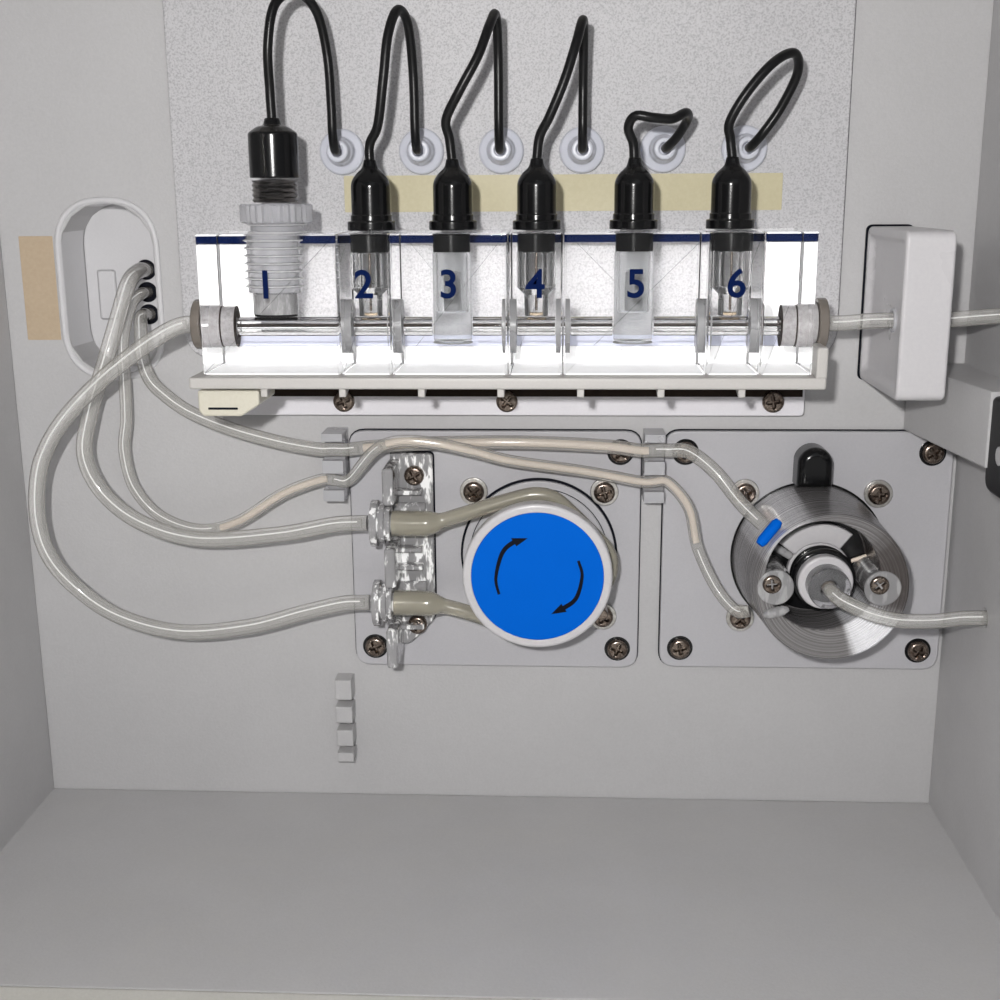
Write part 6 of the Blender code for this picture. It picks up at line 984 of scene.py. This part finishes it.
def makeValve(facts):
    x, z, front, back, floor = facts["x"], facts["z"], facts["front"], facts["back"], facts["floor"]
    # ring(s, a) = axis + shift(s) + radius(s) (cos a, sin a): a slight taper, and a chamber set off to the upper left
    height, radius, offX, offZ = np.array(facts["shell"], float).T[:, :, None]
    turn = np.arange(144) * 2 * np.pi / 144
    rows = np.stack([x + offX + radius * np.cos(turn), height + 0 * turn, z + offZ + radius * np.sin(turn)], -1)
    body = Surface().add(rows)
    # a dark ring behind the body, painted shade where it meets the plate
    body.add(turned(band(back + 0.02, back + 0.3, 18.6, 19.4), (x, 0, z), sides=96), 3, loop=True)
    # dark chamber floor, painted as the shade inside the chamber, and the white seat over it
    body.add(turned(band(floor - 0.5, floor - 0.1, 0, 12.7), (x - 1.6, 0, z + 2.9), sides=96), 3)
    seat = facts["seat"]
    sweep = np.radians(np.linspace(seat["from"], seat["to"], 40))
    rim = np.column_stack([np.cos(sweep), np.sin(sweep)])
    arc = np.vstack([seat["outer"] * rim, seat["inner"] * rim[::-1]])
    body.add(stacked(arc + (x, z), [(0.3, floor - 2.6), (0, floor - 2.3), (0, floor - 0.4)]), 4)
    for sign in (-1, 1):
        post = soften([(floor - 0.6, 0), (floor - 0.6, 4.3), (front - 0.2, 4.3), (front - 0.2, 0)],
                      np.array([0, 0.1, 0.5, 0]), 5)
        body.add(turned(post, (x + sign * facts["posts"], 0, z), sides=56), 5)
        screwHead(body, x + sign * facts["posts"] - 0.9, z + 0.9, front - 0.15, 0.4 + sign * 0.3, 2.2, 0.9, 1)
    # radial pins drilled towards the seat, and the end of the lower channel on the face
    for angle, near, far, size, finish in ((150, 7.8, 13.4, 1.0, 5), (20, 8.2, 12.0, 0.5, 2)):
        c, s = math.cos(math.radians(angle)), math.sin(math.radians(angle))
        pin = np.array([(x + q * c, -15.4, z + q * s) for q in np.linspace(near, far, 6)])
        body.add(carried(pin, size, 16), finish)
    body.add(carried(np.linspace((67.6, front - 0.2, 61.6), (73.4, front - 0.2, 63.2), 6),
                     np.array([0.6, 1.15, 1.25, 1.25, 1.15, 0.6]), 20), 5)
    body.build("valveBody", ["lathed", "steel", "milkyCore", "rubber", "white", "post"], stands=["valve_body"],
               slot="acrylic")

    # blue ferrule bar lying on the flank
    thick = np.array([0.9, 1.3, 1.3, 1.3, 1.3, 1.3, 1.3, 0.9])
    ferrule = Surface().add(carried(np.linspace(*facts["ferrule"], len(thick)), thick, 20))
    ferrule.build("valveFerrule", ["blueCap"], slot="acrylic")

    rotor = Surface()
    rotor.add(turned(soften([(-14.3, 0), (-14.3, 7.6), (-16.3, 7.6), (-16.3, 6.5), (-24.6, 6.5), (-24.6, 3.0),
                             (-24.2, 0)], np.array([0, 0.2, 0.4, 0.3, 0.7, 0.3, 0]), 5), (x, 0, z), sides=96))
    rotor.add(turned(circle(-21.5, 6.75, 0.85, 20), (x, 0, z), sides=96), 1, loop=True)
    rotor.add(turned(circle(-17.6, 6.7, 0.6, 16), (x, 0, z), sides=96), 1, loop=True)
    rotor.add(turned(band(-24.5, -24.72, 0, 4.3), (x, 0, z), sides=64), 3)
    rotor.add(turned([(-24.8, 0), (-24.8, 2.0), (-28.0, 1.5), (-28.0, 0)], (x, 0, z), sides=40), 4)
    rotor.add(turned(soften([(-24.8, 2.2), (-24.8, 4.9), (-29.2, 4.9), (-29.5, 4.3), (-29.5, 2.2)],
                            np.array([0.1, 0.3, 0.5, 0.4, 0.1]), 4, closed=True), (x, 0, z), sides=64), 2, loop=True)
    rotor.build("valveRotor", ["white", "rubber", "fitting", "black", "endDisc"], body="valve_rotor",
                stands=["valve_rotor"], slot="white")


makeValve(valveFacts)
print("valve made")


# Flow modules: clear blocks with closed pockets and bores inside

moduleFacts = {
    "edges": (-58.75, -28.0, -16.8, 8.6, 20.5, 51.5, 63.0, 74.2), "gap": 0.15, "front": -38.0, "back": -10.0,
    "low": 119.3, "top": 149.6, "plug": 145.3, "flowY": -24.0, "flowZ": 129.0, "bore": 2.1, "seal": 6.0, "round": 0.45,
    # heights of the strips and cards behind the row, then the places along it of the end bores, nuts and discs
    "whiteTop": 123.4, "lavender": (123.5, 126.0), "cardLow": 126.2, "cards": (-49.6, 66.0), "endBores": (-52.5, 68.9),
    "nuts": (-61.3, 76.9), "discs": ((-63.5, -61.4), (77.0, 79.1)),
    "names": ("referenceBlock", "chlorideModule", "phModule", "calciumModule", "sodiumModule", "potassiumModule",
              "endBlock"),
    "nodes": ("reference_block", "chloride_module", "ph_module", "calcium_module", "sodium_module", "potassium_module",
              "end_block"),
}
electrodeFacts = {
    # place along the row, whether the body fills its pocket, and the cable's route from the boot to its bushing
    "chloride": {"x": -22.4, "wide": False, "cable": [
        (-22.4, -24, 164.6), (-22.2, -24.2, 168.6), (-20.2, -25.2, 172.5), (-18.6, -26.2, 182), (-17.4, -25.6, 191),
        (-15.6, -22.6, 196.4), (-13.9, -18.6, 194), (-13.3, -15.4, 184), (-13.2, -14.9, 171.5), (-13.2, -13, 168.1),
        (-13.2, -10.5, 167.5)]},
    "ph": {"x": -4.1, "wide": True, "cable": [
        (-4.1, -24, 164.6), (-4.6, -24.3, 169.5), (-5.2, -25.2, 173.5), (-2, -26.6, 179.5), (2, -26.4, 186.5),
        (4.4, -24, 193), (5.5, -19.8, 195.4), (5.8, -16, 188), (5.8, -15, 172.5), (5.8, -13.1, 168.2),
        (5.8, -10.5, 167.5)]},
    "calcium": {"x": 14.55, "wide": False, "cable": [
        (14.5, -24, 164.6), (15.2, -24.4, 169.8), (17.4, -25.6, 174), (20.6, -26.2, 181.5), (23, -25, 189),
        (24.4, -21.6, 194), (24.7, -17.6, 191), (24.7, -14.8, 181), (24.7, -14.8, 172), (24.7, -13, 168.1),
        (24.7, -10.5, 167.5)]},
    "sodium": {"x": 36.0, "wide": True, "cable": [
        (35.9, -24, 164.6), (35.6, -24.2, 168.2), (34.4, -25.2, 171.4), (35.8, -26.6, 173.8), (39.5, -26.8, 173.4),
        (43.8, -25.4, 173.2), (47, -22.2, 174.6), (47.8, -18.2, 173.4), (45.9, -15, 169.9), (44.2, -12.9, 168),
        (43.66, -10.6, 167.5)]},
    "potassium": {"x": 57.25, "wide": False, "cable": [
        (57.2, -24, 164.6), (56.6, -24.2, 169), (56.2, -25.2, 172.4), (59.6, -26.2, 178.5), (65, -25.8, 184.5),
        (69.8, -22.6, 186.6), (71.4, -18.4, 183), (68.6, -16, 176), (64.9, -15, 170.4), (63, -13, 168),
        (62.6, -10.6, 167.5)]},
}
referenceFacts = {"x": -43.8, "thread": 136.7, "pitch": 1.66, "teeth": 9, "bore": 3.75, "cable": [
    (-43.8, -24, 173.8), (-43.9, -24.2, 180), (-43.6, -25.5, 189), (-41.8, -25, 197.5), (-37.8, -21.5, 200.5),
    (-34.2, -17.5, 197), (-32.6, -15, 188), (-32.1, -15, 177), (-32.1, -14.8, 171.5), (-32.1, -13, 168.1),
    (-32.1, -10.5, 167.5)]}


def makeModules(facts):
    y, z, bore = facts["flowY"], facts["flowZ"], facts["bore"]
    names, edges = facts["names"], facts["edges"]
    pockets = [(referenceFacts["x"], None), *[(e["x"], e["wide"]) for e in electrodeFacts.values()], (None, None)]
    flow = Surface()
    for k, (name, node, (centre, wide)) in enumerate(zip(names, facts["nodes"], pockets)):
        x0, x1 = edges[k] + facts["gap"], edges[k + 1] - facts["gap"]
        block = Surface().add(stacked(rect(x0, x1, facts["low"], facts["top"], facts["round"], 4),
                                      rims(facts["front"], facts["back"], facts["round"])))
        # painted light: the white and lavender strips and the white pad glow, as the lit panel seen through the block
        # white and lavender strips low on the back, a white pad below, and the dark line along the upper back edge
        block.add(stacked(rect(x0 + 0.3, x1 - 0.3, facts["low"] + 0.3, facts["whiteTop"], 0.1),
                          [(0, facts["back"] - 0.5), (0, facts["back"] - 0.3)]), 1)
        block.add(stacked(rect(x0 + 0.3, x1 - 0.3, *facts["lavender"], 0.1),
                          [(0, facts["back"] - 0.5), (0, facts["back"] - 0.3)]), 4)
        block.add(stacked(rect(x0 + 0.5, x1 - 0.5, facts["front"] + 0.5, facts["back"] - 0.5, 0.3),
                          [(0, facts["low"] + 0.15), (0, facts["low"] + 0.35)], "xyz"), 1)
        block.add(stacked(rect(x0 + 0.2, x1 - 0.2, facts["top"] - 2.7, facts["top"] - 0.9, 0.1),
                          [(0, facts["back"] - 0.7), (0, facts["back"] - 0.5)]), 2)
        # the glowing white cards of the two end blocks are painted light too
        if k in (0, 6):
            a, b = (x0 + 0.4, facts["cards"][0]) if k == 0 else (facts["cards"][1], x1 - 0.4)
            block.add(stacked(rect(a, b, facts["cardLow"], facts["top"] - 2.9, 0.1),
                              [(0, facts["back"] - 0.5), (0, facts["back"] - 0.3)]), 1)
        spans = [(x0 + 1.6, x1 - 1.6)]
        if k == 0:
            spans = [(facts["endBores"][0], x1 - 1.6)]
        elif centre is None:
            spans = [(x0 + 1.6, facts["endBores"][1])]
        elif wide:
            spans = [(x0 + 1.6, centre - 4.55), (centre + 4.55, x1 - 1.6)]
        else:
            block.add(turned([(131.3, 0), (131.3, 2.6), (136.0, 2.7), (137.6, 4.3), (facts["plug"], 4.3),
                              (facts["plug"], 0)], (centre, y, 0), "z"), hollow=True)
        for a, b in spans:
            block.add(turned(band(a, b, 0, bore), (0, y, z), "x", 32), hollow=True)
            flow.add(turned(band(a + 0.02, b - 0.02, 0.7, bore - 0.25), (0, y, z), "x", 32), loop=True)
            # thin dark rods along the bore, painted shade at its middle and its upper and lower edges
            for lift, thick in ((0.2, 0.35), (1.9, 0.16), (-1.9, 0.2)):
                flow.add(turned(band(a + 0.02, b - 0.02, 0, thick), (0, y - 0.6, z + lift), "x", 12), 3)
        # seals, half in each of two neighbouring blocks
        for a, b in [(x1 - 1.4, x1 - 0.02)] * (k < 6) + [(x0 + 0.02, x0 + 1.4)] * (k > 0):
            block.add(turned(band(a, b, 0, facts["seal"]), (0, y, z), "x"), 3)
        if k in (0, 6):
            # silver nut pushed half its length into the block
            side, a = (1, facts["nuts"][0]) if k == 0 else (-1, facts["nuts"][1])
            profile = np.array([(0, 2.1), (0, 4.8), (1.5, 4.8), (1.6, 4.3), (2.2, 4.3), (2.3, 4.8), (5.0, 4.8),
                                (5.1, 4.5), (8.4, 4.5), (8.4, 2.1)])
            flow.add(turned(soften(profile * (side, 1) + (a, 0), 0.25, closed=True), (0, y, z), "x"), 1, loop=True)
            # dark rings in the nut's grooves, painted shade
            for low, top in ((1.65, 2.15), (5.15, 5.45), (8.45, 8.6)):
                flow.add(turned(band(a + side * low, a + side * top, 2.2, 4.62), (0, y, z), "x"), 3, loop=True)
        block.build(name, ["acrylic", "paintedLightWhite", "blueInk", "seal", "lavender"], stands=[node], slot="acrylic")
    for a, b in facts["discs"]:
        flow.add(turned(band(a, b, 2.1, 5.7, 0.4), (0, y, z), "x"), 2, loop=True)
    flow.build("flowPath", ["glass", "nutSilver", "endDisc", "paintedShadowDark"], slot="acrylic")


def makeElectrode(name, facts):
    x, y, wide = facts["x"], moduleFacts["flowY"], facts["wide"]
    surface = Surface()
    # boot: collar, straight barrel, domed shoulder and neck
    boot = soften([(149.9, 0), (149.9, 5.35), (151.9, 5.35), (151.95, 4.6), (153.2, 4.6), (153.3, 4.35), (160.2, 4.35),
                   (161.9, 3.4), (163.4, 1.7), (165.2, 1.3), (165.2, 0)],
                  np.array([0, 0.25, 0.35, 0.15, 0.2, 0.2, 1.4, 0.9, 0.6, 0.3, 0]), 8)
    plug = moduleFacts["plug"]
    surface.add(turned(boot, (x, y, 0), "z", 72))
    surface.add(carried(smoothRoute(facts["cable"]), 1.05, 20), 1)
    surface.add(turned(band(plug, 149.5, 0, 4.15), (x, y, 0), "z"), 0)
    if wide:
        surface.add(turned(soften([(125.7, 0), (125.7, 4.3), (plug - 0.05, 4.3), (plug - 0.05, 3.2), (132.0, 3.2),
                                   (132.0, 0)], np.array([0, 0.5, 0.1, 0.1, 0.6, 0]), 5), (x, y, 0), "z"), 5)
        surface.add(turned(band(132.2, 141.0, 0, 1.9, 0.6), (x, y, 0), "z"), 6)
        surface.add(turned(band(125.2, 125.6, 3.5, 4.4, 0.15), (x, y, 0), "z"), 6, loop=True)
    else:
        surface.add(turned(band(137.8, plug - 0.1, 2.5, 4.15, 0.3), (x, y, 0), "z"), 2, loop=True)
        surface.add(turned(band(132.0, plug - 0.2, 0, 2.3, 0.5), (x, y, 0), "z"), 2)
        surface.add(turned(band(131.5, 131.9, 1.1, 2.2), (x, y, 0), "z"), 4, loop=True)
        surface.add(turned(band(132.4, plug - 0.6, 0, 0.3), (x, y, 0), "z", 12), 3)
    surface.build(name + "Electrode", ["rubber", "cable", "glass", "steel", "tanTape", "coreClear", "seal"],
                  stands=[name + "_electrode"], slot="rubber")


def makeReference(facts):
    x, y = facts["x"], moduleFacts["flowY"]
    # sleeve: threaded barrel under a knurled flange; the thread is a ring profile with even crests
    tooth = ((0.0, 5.95), (0.95, 5.95), (1.2, 6.5), (1.42, 6.5))
    first, pitch, teeth, bore = (facts[k] for k in ("thread", "pitch", "teeth", "bore"))
    crest = [(first + pitch * k + a, b) for k in range(teeth) for a, b in tooth]
    sleeve = Surface().add(turned([(136.4, bore), (136.4, 5.3), *crest, (151.6, bore)], (x, y, 0), "z", 72), loop=True)
    # thin pale glowing rings on the crests, painted highlights
    for k in range(teeth):
        low = first + pitch * k + tooth[2][0]
        sleeve.add(turned(band(low, low + 0.22, 6.2, 6.62, 0.05), (x, y, 0), "z", 72), 3, loop=True)
    # clear foot under the thread, over the dark disc at its bottom
    sleeve.add(turned(band(131.8, 136.3, 4.5, 5.05), (x, y, 0), "z", 72), 1, loop=True)
    sleeve.add(turned(band(131.3, 131.8, 0, 4.9, 0.1), (x, y, 0), "z", 72), 2)
    turn = np.arange(180) * 2 * np.pi / 180
    knurl = 7.9 + 0.2 * np.cos(30 * turn)
    levels = np.array([(151.6, 0.93), (152.0, 1.0), (155.4, 1.0), (155.8, 0.95), (155.8, 0.5), (151.6, 0.5)])
    rows = np.stack([x + levels[:, 1:] * knurl * np.cos(turn), y + levels[:, 1:] * knurl * np.sin(turn),
                     np.tile(levels[:, :1], (1, 180))], -1)
    sleeve.add(rows, loop=True)
    sleeve.build("referenceSleeve", ["sleeve", "post", "rubber", "paleWhitePaintedLight"], stands=["reference_sleeve"],
                 slot="acrylic")

    surface = Surface()
    surface.add(turned(soften([(161.4, 0), (161.4, 5.45), (171.0, 5.45), (172.3, 3.6), (172.7, 2.0), (174.2, 1.6),
                               (174.2, 0)], np.array([0, 0.3, 0.5, 0.6, 0.4, 0.3, 0]), 6), (x, y, 0), "z", 72))
    ribs = [(156.1 + 0.53 * k, 5.2 if k % 2 else 4.8) for k in range(10)]
    surface.add(turned([(156.1, 0), *ribs, (161.3, 0)], (x, y, 0), "z", 72), 2)
    surface.add(carried(smoothRoute(facts["cable"]), 1.05, 20), 1)
    surface.add(turned(band(132.0, 156.0, 0, 3.3, 0.2), (x, y, 0), "z"), 3)
    surface.build("referenceElectrode", ["rubber", "cable", "smoked", "sleeve"], stands=["reference_electrode"],
                  slot="rubber")


numberFacts = {"z": 138.6, "height": 8.4}

makeModules(moduleFacts)
for name, facts in electrodeFacts.items():
    makeElectrode(name, facts)
makeReference(referenceFacts)
for k, facts in enumerate([referenceFacts, *electrodeFacts.values()], 1):
    lettering(f"moduleNumber{k}", str(k), facts["x"], numberFacts["z"], moduleFacts["front"] - 0.03,
              numberFacts["height"], "blueInk")
print("modules and electrodes made")


# Electrode tray, cream latch, sensor panel with its bushings, flow detector

trayFacts = {"shelf": (-61.5, 77.0), "front": -40.0, "back": -2.2, "low": 116.4, "top": 119.0, "ribs": 7,
             "firstRib": -45.0, "ribPitch": 17.35, "flange": (-61.8, 79.6, 104.2, 117.8),
             "shadow": (-61.0, 79.0, 109.0, 116.2), "lip": (74.6, 77.0, -40.0, -31.0)}


def makeTray(facts):
    tray = Surface().add(stacked(rect(*facts["shelf"], facts["front"], facts["back"], 0.8),
                                 rims(facts["low"], facts["top"], 0.5), "xyz"))
    flange = rect(*facts["flange"], 1.2, 5)
    # the flange takes a lighter copy of the shelf's finish, painted light
    tray.add(stacked(flange, rims(-2.9, -0.3, 0.35)), 4)
    # a thin dark outline behind the flange, painted shade along its edge
    tray.add(stacked(flange, [(-0.28, -0.6), (-0.28, -0.05)]), 2)
    # small teeth under the front edge, and behind them a dark strip painted as the shelf's shadow on the flange
    for k in range(facts["ribs"]):
        x = facts["firstRib"] + k * facts["ribPitch"]
        outline = soften([(-39.4, 116.6), (-31.0, 116.6), (-38.2, 114.6), (-39.4, 114.6)], 0.3, closed=True)
        tray.add(stacked(outline, rims(x - 0.75, x + 0.75, 0.2), "yzx"))
    tray.add(stacked(rect(*facts["shadow"], 0.2), [(0, -2.95), (0, -3.02)]), 3)
    tray.add(stacked(rect(*facts["lip"], 0.5), rims(118.8, 125.5, 0.5), "xyz"))
    for x, z, face, turn in screwFacts["tray"]:
        screwHead(tray, x, z, face, turn, screwFacts["radius"], screwFacts["rise"], 1)
    tray.build("electrodeTray", ["shelf", "steel", "inkAndPaintedShade", "paintedShadowDark", "flangePaintedLit"], stands=["electrode_tray"],
               slot="bay")


latchFacts = {"x": (-59.6, -46.0), "y": (-40.0, -24.0), "z": (110.4, 116.1), "chamfer": 2.6}


def makeLatch(facts):
    (x0, x1), (y0, y1), (z0, z1), c = facts["x"], facts["y"], facts["z"], facts["chamfer"]
    outline = soften([(x0, z0 + 1.2), (x0 + 1.0, z0), (x1 - c * 1.6, z0), (x1, z0 + c), (x1, z1), (x0, z1)], 0.5,
                     closed=True)
    latch = Surface().add(stacked(outline, rims(y0, y1, 0.45)))
    # a dark strip painted as the shade inside the latch's slit
    latch.add(stacked(rect(x0 + 2.2, x0 + 8.8, z0 + 1.5, z0 + 2.0, 0.15), [(0, y0 + 0.2), (0, y0 - 0.03)]), 1)
    latch.build("trayLatch", ["cream", "inkAndPaintedShade"], body="tray_latch", stands=["tray_latch"], slot="cream")


sensorFacts = {"first": -32.1, "pitch": 18.94, "count": 6, "z": 167.5, "x": (-73.3, 86.8), "ends": (118.2, 206.0),
               "tape": (-32.0, 72.0, 153.5, 162.0)}


def makeSensorPanel(facts):
    # the lower corners are rounder than the upper ones
    outline = rect(*facts["x"], *facts["ends"], np.array([8.0, 8.0, 2.0, 2.0]), 8)
    panel = Surface().add(stacked(outline, rims(-1.9, -0.3, 0.4)))
    # a thin dark outline behind the panel, painted shade along its edge
    panel.add(stacked(outline, [(-0.28, -0.6), (-0.28, -0.05)]), 3)
    profile = [(-1.9, 0), (-1.9, 5.3), (-3.2, 5.3), (-3.6, 4.9), (-4.0, 3.3), (-6.2, 3.1), (-6.8, 2.7), (-9.7, 2.5),
               (-9.7, 1.35), (-7.5, 1.35), (-7.5, 0)]
    for k in range(facts["count"]):
        x = facts["first"] + k * facts["pitch"]
        panel.add(turned(soften(profile, np.array([0, 0.3, 0.7, 0.4, 0.4, 0.6, 0.3, 0.5, 0.3, 0.2, 0]), 5),
                         (x, 0, facts["z"])), 1)
    panel.add(stacked(rect(*facts["tape"], 0.3), [(0, -1.9), (0, -2.02)]), 2)
    panel.build("sensorPanel", ["speckled", "bushingNylon", "tape", "inkAndPaintedShade"], stands=["sensor_panel"], slot="bay")


detectorFacts = {"x": (92.8, 103.4), "y": (-36.0, -0.3), "z": (113.2, 149.6), "round": 2.4, "dish": 2.3, "depth": 1.5,
                 "hole": (0, -24.0, 129.7)}


def makeDetector(facts):
    # from the dish floor out over its edge, round the left rim, along the sides and round the right rim
    x0, x1 = facts["x"]
    w, d = facts["dish"], facts["depth"]
    b = np.linspace(0, np.pi / 2, 6)
    levels = np.vstack([[(w + 2.6, x0 + d), (w + 1.2, x0 + d - 0.1), (w + 0.3, x0 + d - 0.5), (w - 0.2, x0 + 0.3),
                         (w - 0.6, x0 + 0.04), (w - 1.1, x0)],
                        np.column_stack([0.8 * (1 - np.sin(b)), x0 + 0.8 * (1 - np.cos(b))]),
                        np.column_stack([0.8 * (1 - np.cos(b)), x1 - 0.8 * (1 - np.sin(b))])])
    body = Surface().add(nested(*facts["y"], *facts["z"], facts["round"], levels, "yzx", least=2.0))
    for x in (x0 + d - 0.6, x1 - 0.4):
        body.add(turned(band(x, x + 0.9, 1.85, 2.7, 0.3), facts["hole"], "x", 32), 1, loop=True)
    z0, z1 = facts["z"]
    # a thin dark outline behind the detector, painted shade along its edges
    body.add(stacked(rect(x0 - 0.35, x1 + 0.25, z0 - 0.3, z1 + 0.4, 1.6), [(0, -0.5), (0, -0.05)]), 2)
    body.build("flowDetector", ["white", "nylon", "inkAndPaintedShade"], stands=["flow_detector"], slot="white")


tapeFacts = {"x": (-113.5, -105.0), "z": (122.7, 148.2), "thick": 0.12}

makeTray(trayFacts)
makeLatch(latchFacts)
makeSensorPanel(sensorFacts)
makeDetector(detectorFacts)
wallTape = Surface().add(stacked(rect(*tapeFacts["x"], *tapeFacts["z"], 0.3), [(0, 0.0), (0, -tapeFacts["thick"])]))
wallTape.build("wallTape", ["tanTape"], slot="cream")
print("tray, panel and detector made")


# Sampling arm with its hollow needle

probeFacts = {"hub": (110.5, 117.5), "y": -57.0, "z": 105.6, "radius": 11.2, "bore": 2.3, "tip": -76.6, "height": 9.0,
              "needle": (114.0, -74.5), "needleRadius": 0.8, "needleBore": 0.45, "low": 34.0, "top": 112.0,
              "collar": 1.9}


def makeProbe(facts):
    (x0, x1), y, z, r = facts["hub"], facts["y"], facts["z"], facts["radius"]
    half = facts["height"] / 2
    # rounded block of the hub, with the flat arm in front of it
    arm = Surface().add(stacked(rect(y - r, -43.4, z - 9.9, z + 10.6, 3.6, 8), rims(x0, x1, 0.9, 5), "yzx"))
    arm.add(stacked(rect(facts["tip"], y - 5, z - half, z + half, 2.4, 8), rims(x0 + 0.6, x1 - 0.6, 0.7, 4), "yzx"))
    cap = soften([(x0 - 0.35, 0), (x0 - 0.35, 3.2), (x0 + 0.3, 3.6), (x0 + 0.3, 0)], 0.3)
    arm.add(turned(cap, (0, y, z), "x", 40), 1)
    arm.build("probeArm", ["black", "steel"], body="probe", stands=["probe_arm"], slot="black")
    x, tip = facts["needle"]
    top = facts["top"] + 2.4
    profile = [(facts["low"], facts["needleBore"]), (facts["low"], facts["needleRadius"]),
               (z + half + 0.3, facts["needleRadius"]), (z + half + 0.3, facts["collar"]), (top, facts["collar"]),
               (top, facts["needleBore"])]
    needle = Surface().add(turned(soften(profile, np.array([0.05, 0.1, 0.1, 0.3, 0.4, 0.1]), 4, closed=True),
                                  (x, tip, 0), "z", 32), loop=True)
    needle.build("sampleNeedle", ["steel"], body="probe", stands=["sample_probe"], slot="steel")


makeProbe(probeFacts)
print("sampling arm made")


# Keys on the sloped panel, with a raised tick and cross

panelFacts = {"place": (0, -60.35, 262.5), "slope": 53.894}
keyFacts = {"width": 25.0, "height": 15.0, "proud": 2.4, "up": 6.0, "low": -3.6, "round": 2.2}


def onSlope(rows):
    # panel place = origin + a x + b (0, cos s, sin s) + h (0, -sin s, cos s)
    c, s = math.cos(math.radians(panelFacts["slope"])), math.sin(math.radians(panelFacts["slope"]))
    axes = np.array([(1, 0, 0), (0, c, s), (0, -s, c)])
    return np.asarray(rows, float) @ axes + np.array(panelFacts["place"])


def makeKey(name, x, finish, strokes, facts):
    w, h, up, proud = facts["width"] / 2, facts["height"] / 2, facts["up"], facts["proud"]
    key = Surface()
    levels = np.vstack([[(0, facts["low"])], rims(0, proud, 0.7, 5)[6:], [(3.2, proud)]])
    key.add(onSlope(nested(x - w, x + w, up - h, up + h, facts["round"], levels, "xyz")))
    ring = rims(-4.9, -3.85, 0.2, 2)
    key.add(onSlope(stacked(rect(x - w - 1.55, x + w + 1.55, up - h - 1.55, up + h + 1.55, 2.4, 8), ring, "xyz")))
    for line in strokes:
        route = smoothRoute([(x + a, up + b, proud) for a, b in line], 0.4)
        key.add(onSlope(carried(route, np.where(np.arange(len(route)) % (len(route) - 1) == 0, 0.3, 0.55), 14)), 1)
    key.build(name.replace("_k", "K"), [finish, "white"], body=name, stands=[name], slot=finish + "_key")


makeKey("accept_key", 48.0, "green", [[(-3.2, 0.2), (-1.0, -2.2)], [(-1.0, -2.2), (3.6, 2.6)]], keyFacts)
makeKey("cancel_key", 88.0, "red", [[(-2.6, -2.6), (2.6, 2.6)], [(-2.6, 2.6), (2.6, -2.6)]], keyFacts)


# Display surround: a thin raised lip round the recessed window

surroundFacts = {"across": (-93.6, 9.6), "up": (-16.6, 28.6), "round": 2.4,
                 "section": [(0, 0.0), (0, 0.6), (0.3, 0.9), (1.3, 0.9), (1.6, 0.6), (1.6, 0.0)]}
outline = rect(*surroundFacts["across"], *surroundFacts["up"], surroundFacts["round"], 8)
lip = onSlope(stacked(outline, surroundFacts["section"], "xyz"))
Surface().add(lip, loop=True).build("displaySurround", ["black"], slot="black")


# Paper roll: winding lines on both ends

paperFacts = {"x": (40.0, 98.0), "y": 52.0, "z": 271.5, "radius": 21.0, "core": 6.0}


def makePaper(facts):
    (x0, x1), r, core = facts["x"], facts["radius"], facts["core"]
    turnsOut = np.linspace(core, r - 0.2, 40)
    dip = np.where(np.arange(40) % 2, 0.12, 0.0)
    profile = np.vstack([np.column_stack([x0 + dip, turnsOut]), [(x0, r)], [(x1, r)],
                         np.column_stack([x1 - dip, turnsOut])[::-1]])
    roll = Surface().add(turned(profile, (0, facts["y"], facts["z"]), "x", 96), loop=True)
    roll.build("paperRoll", ["paper"], body="paper_roll", stands=["paper_roll"], slot="paper")


# Mains pins in the inlet

inletFacts = {"x": -84.0, "z": 12.0, "depth": 14.0, "pins": ((-6.5, -2.5), (6.5, -2.5), (0.0, 3.2)), "width": 2.0,
              "height": 4.4, "length": 12.0}


def makeInletPins(facts):
    back = (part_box("power_inlet")[1].y - bayOrigin[1]) / mm
    pins = Surface()
    for a, b in facts["pins"]:
        x, z, w, h = facts["x"] + a, facts["z"] + b, facts["width"] / 2, facts["height"] / 2
        start = back - facts["depth"] - 0.5
        pins.add(stacked(rect(x - w, x + w, z - h, z + h, 0.5, 4), rims(start, start + facts["length"], 0.4)))
    pins.build("inletPins", ["steel"], slot="steel")


makePaper(paperFacts)
makeInletPins(inletFacts)
print("keys, paper and rear fittings made")


# Floor

floor = bpy.data.meshes.new("studioFloor")
span = 6.0  # metres from the middle to each side
floor.from_pydata([(-span, -span, 0), (span, -span, 0), (span, span, 0), (-span, span, 0)], [], [(0, 1, 2, 3)])
floor.materials.append(looks["floor"])
ground = bpy.data.objects.new("studioFloor", floor)
bpy.context.collection.objects.link(ground)
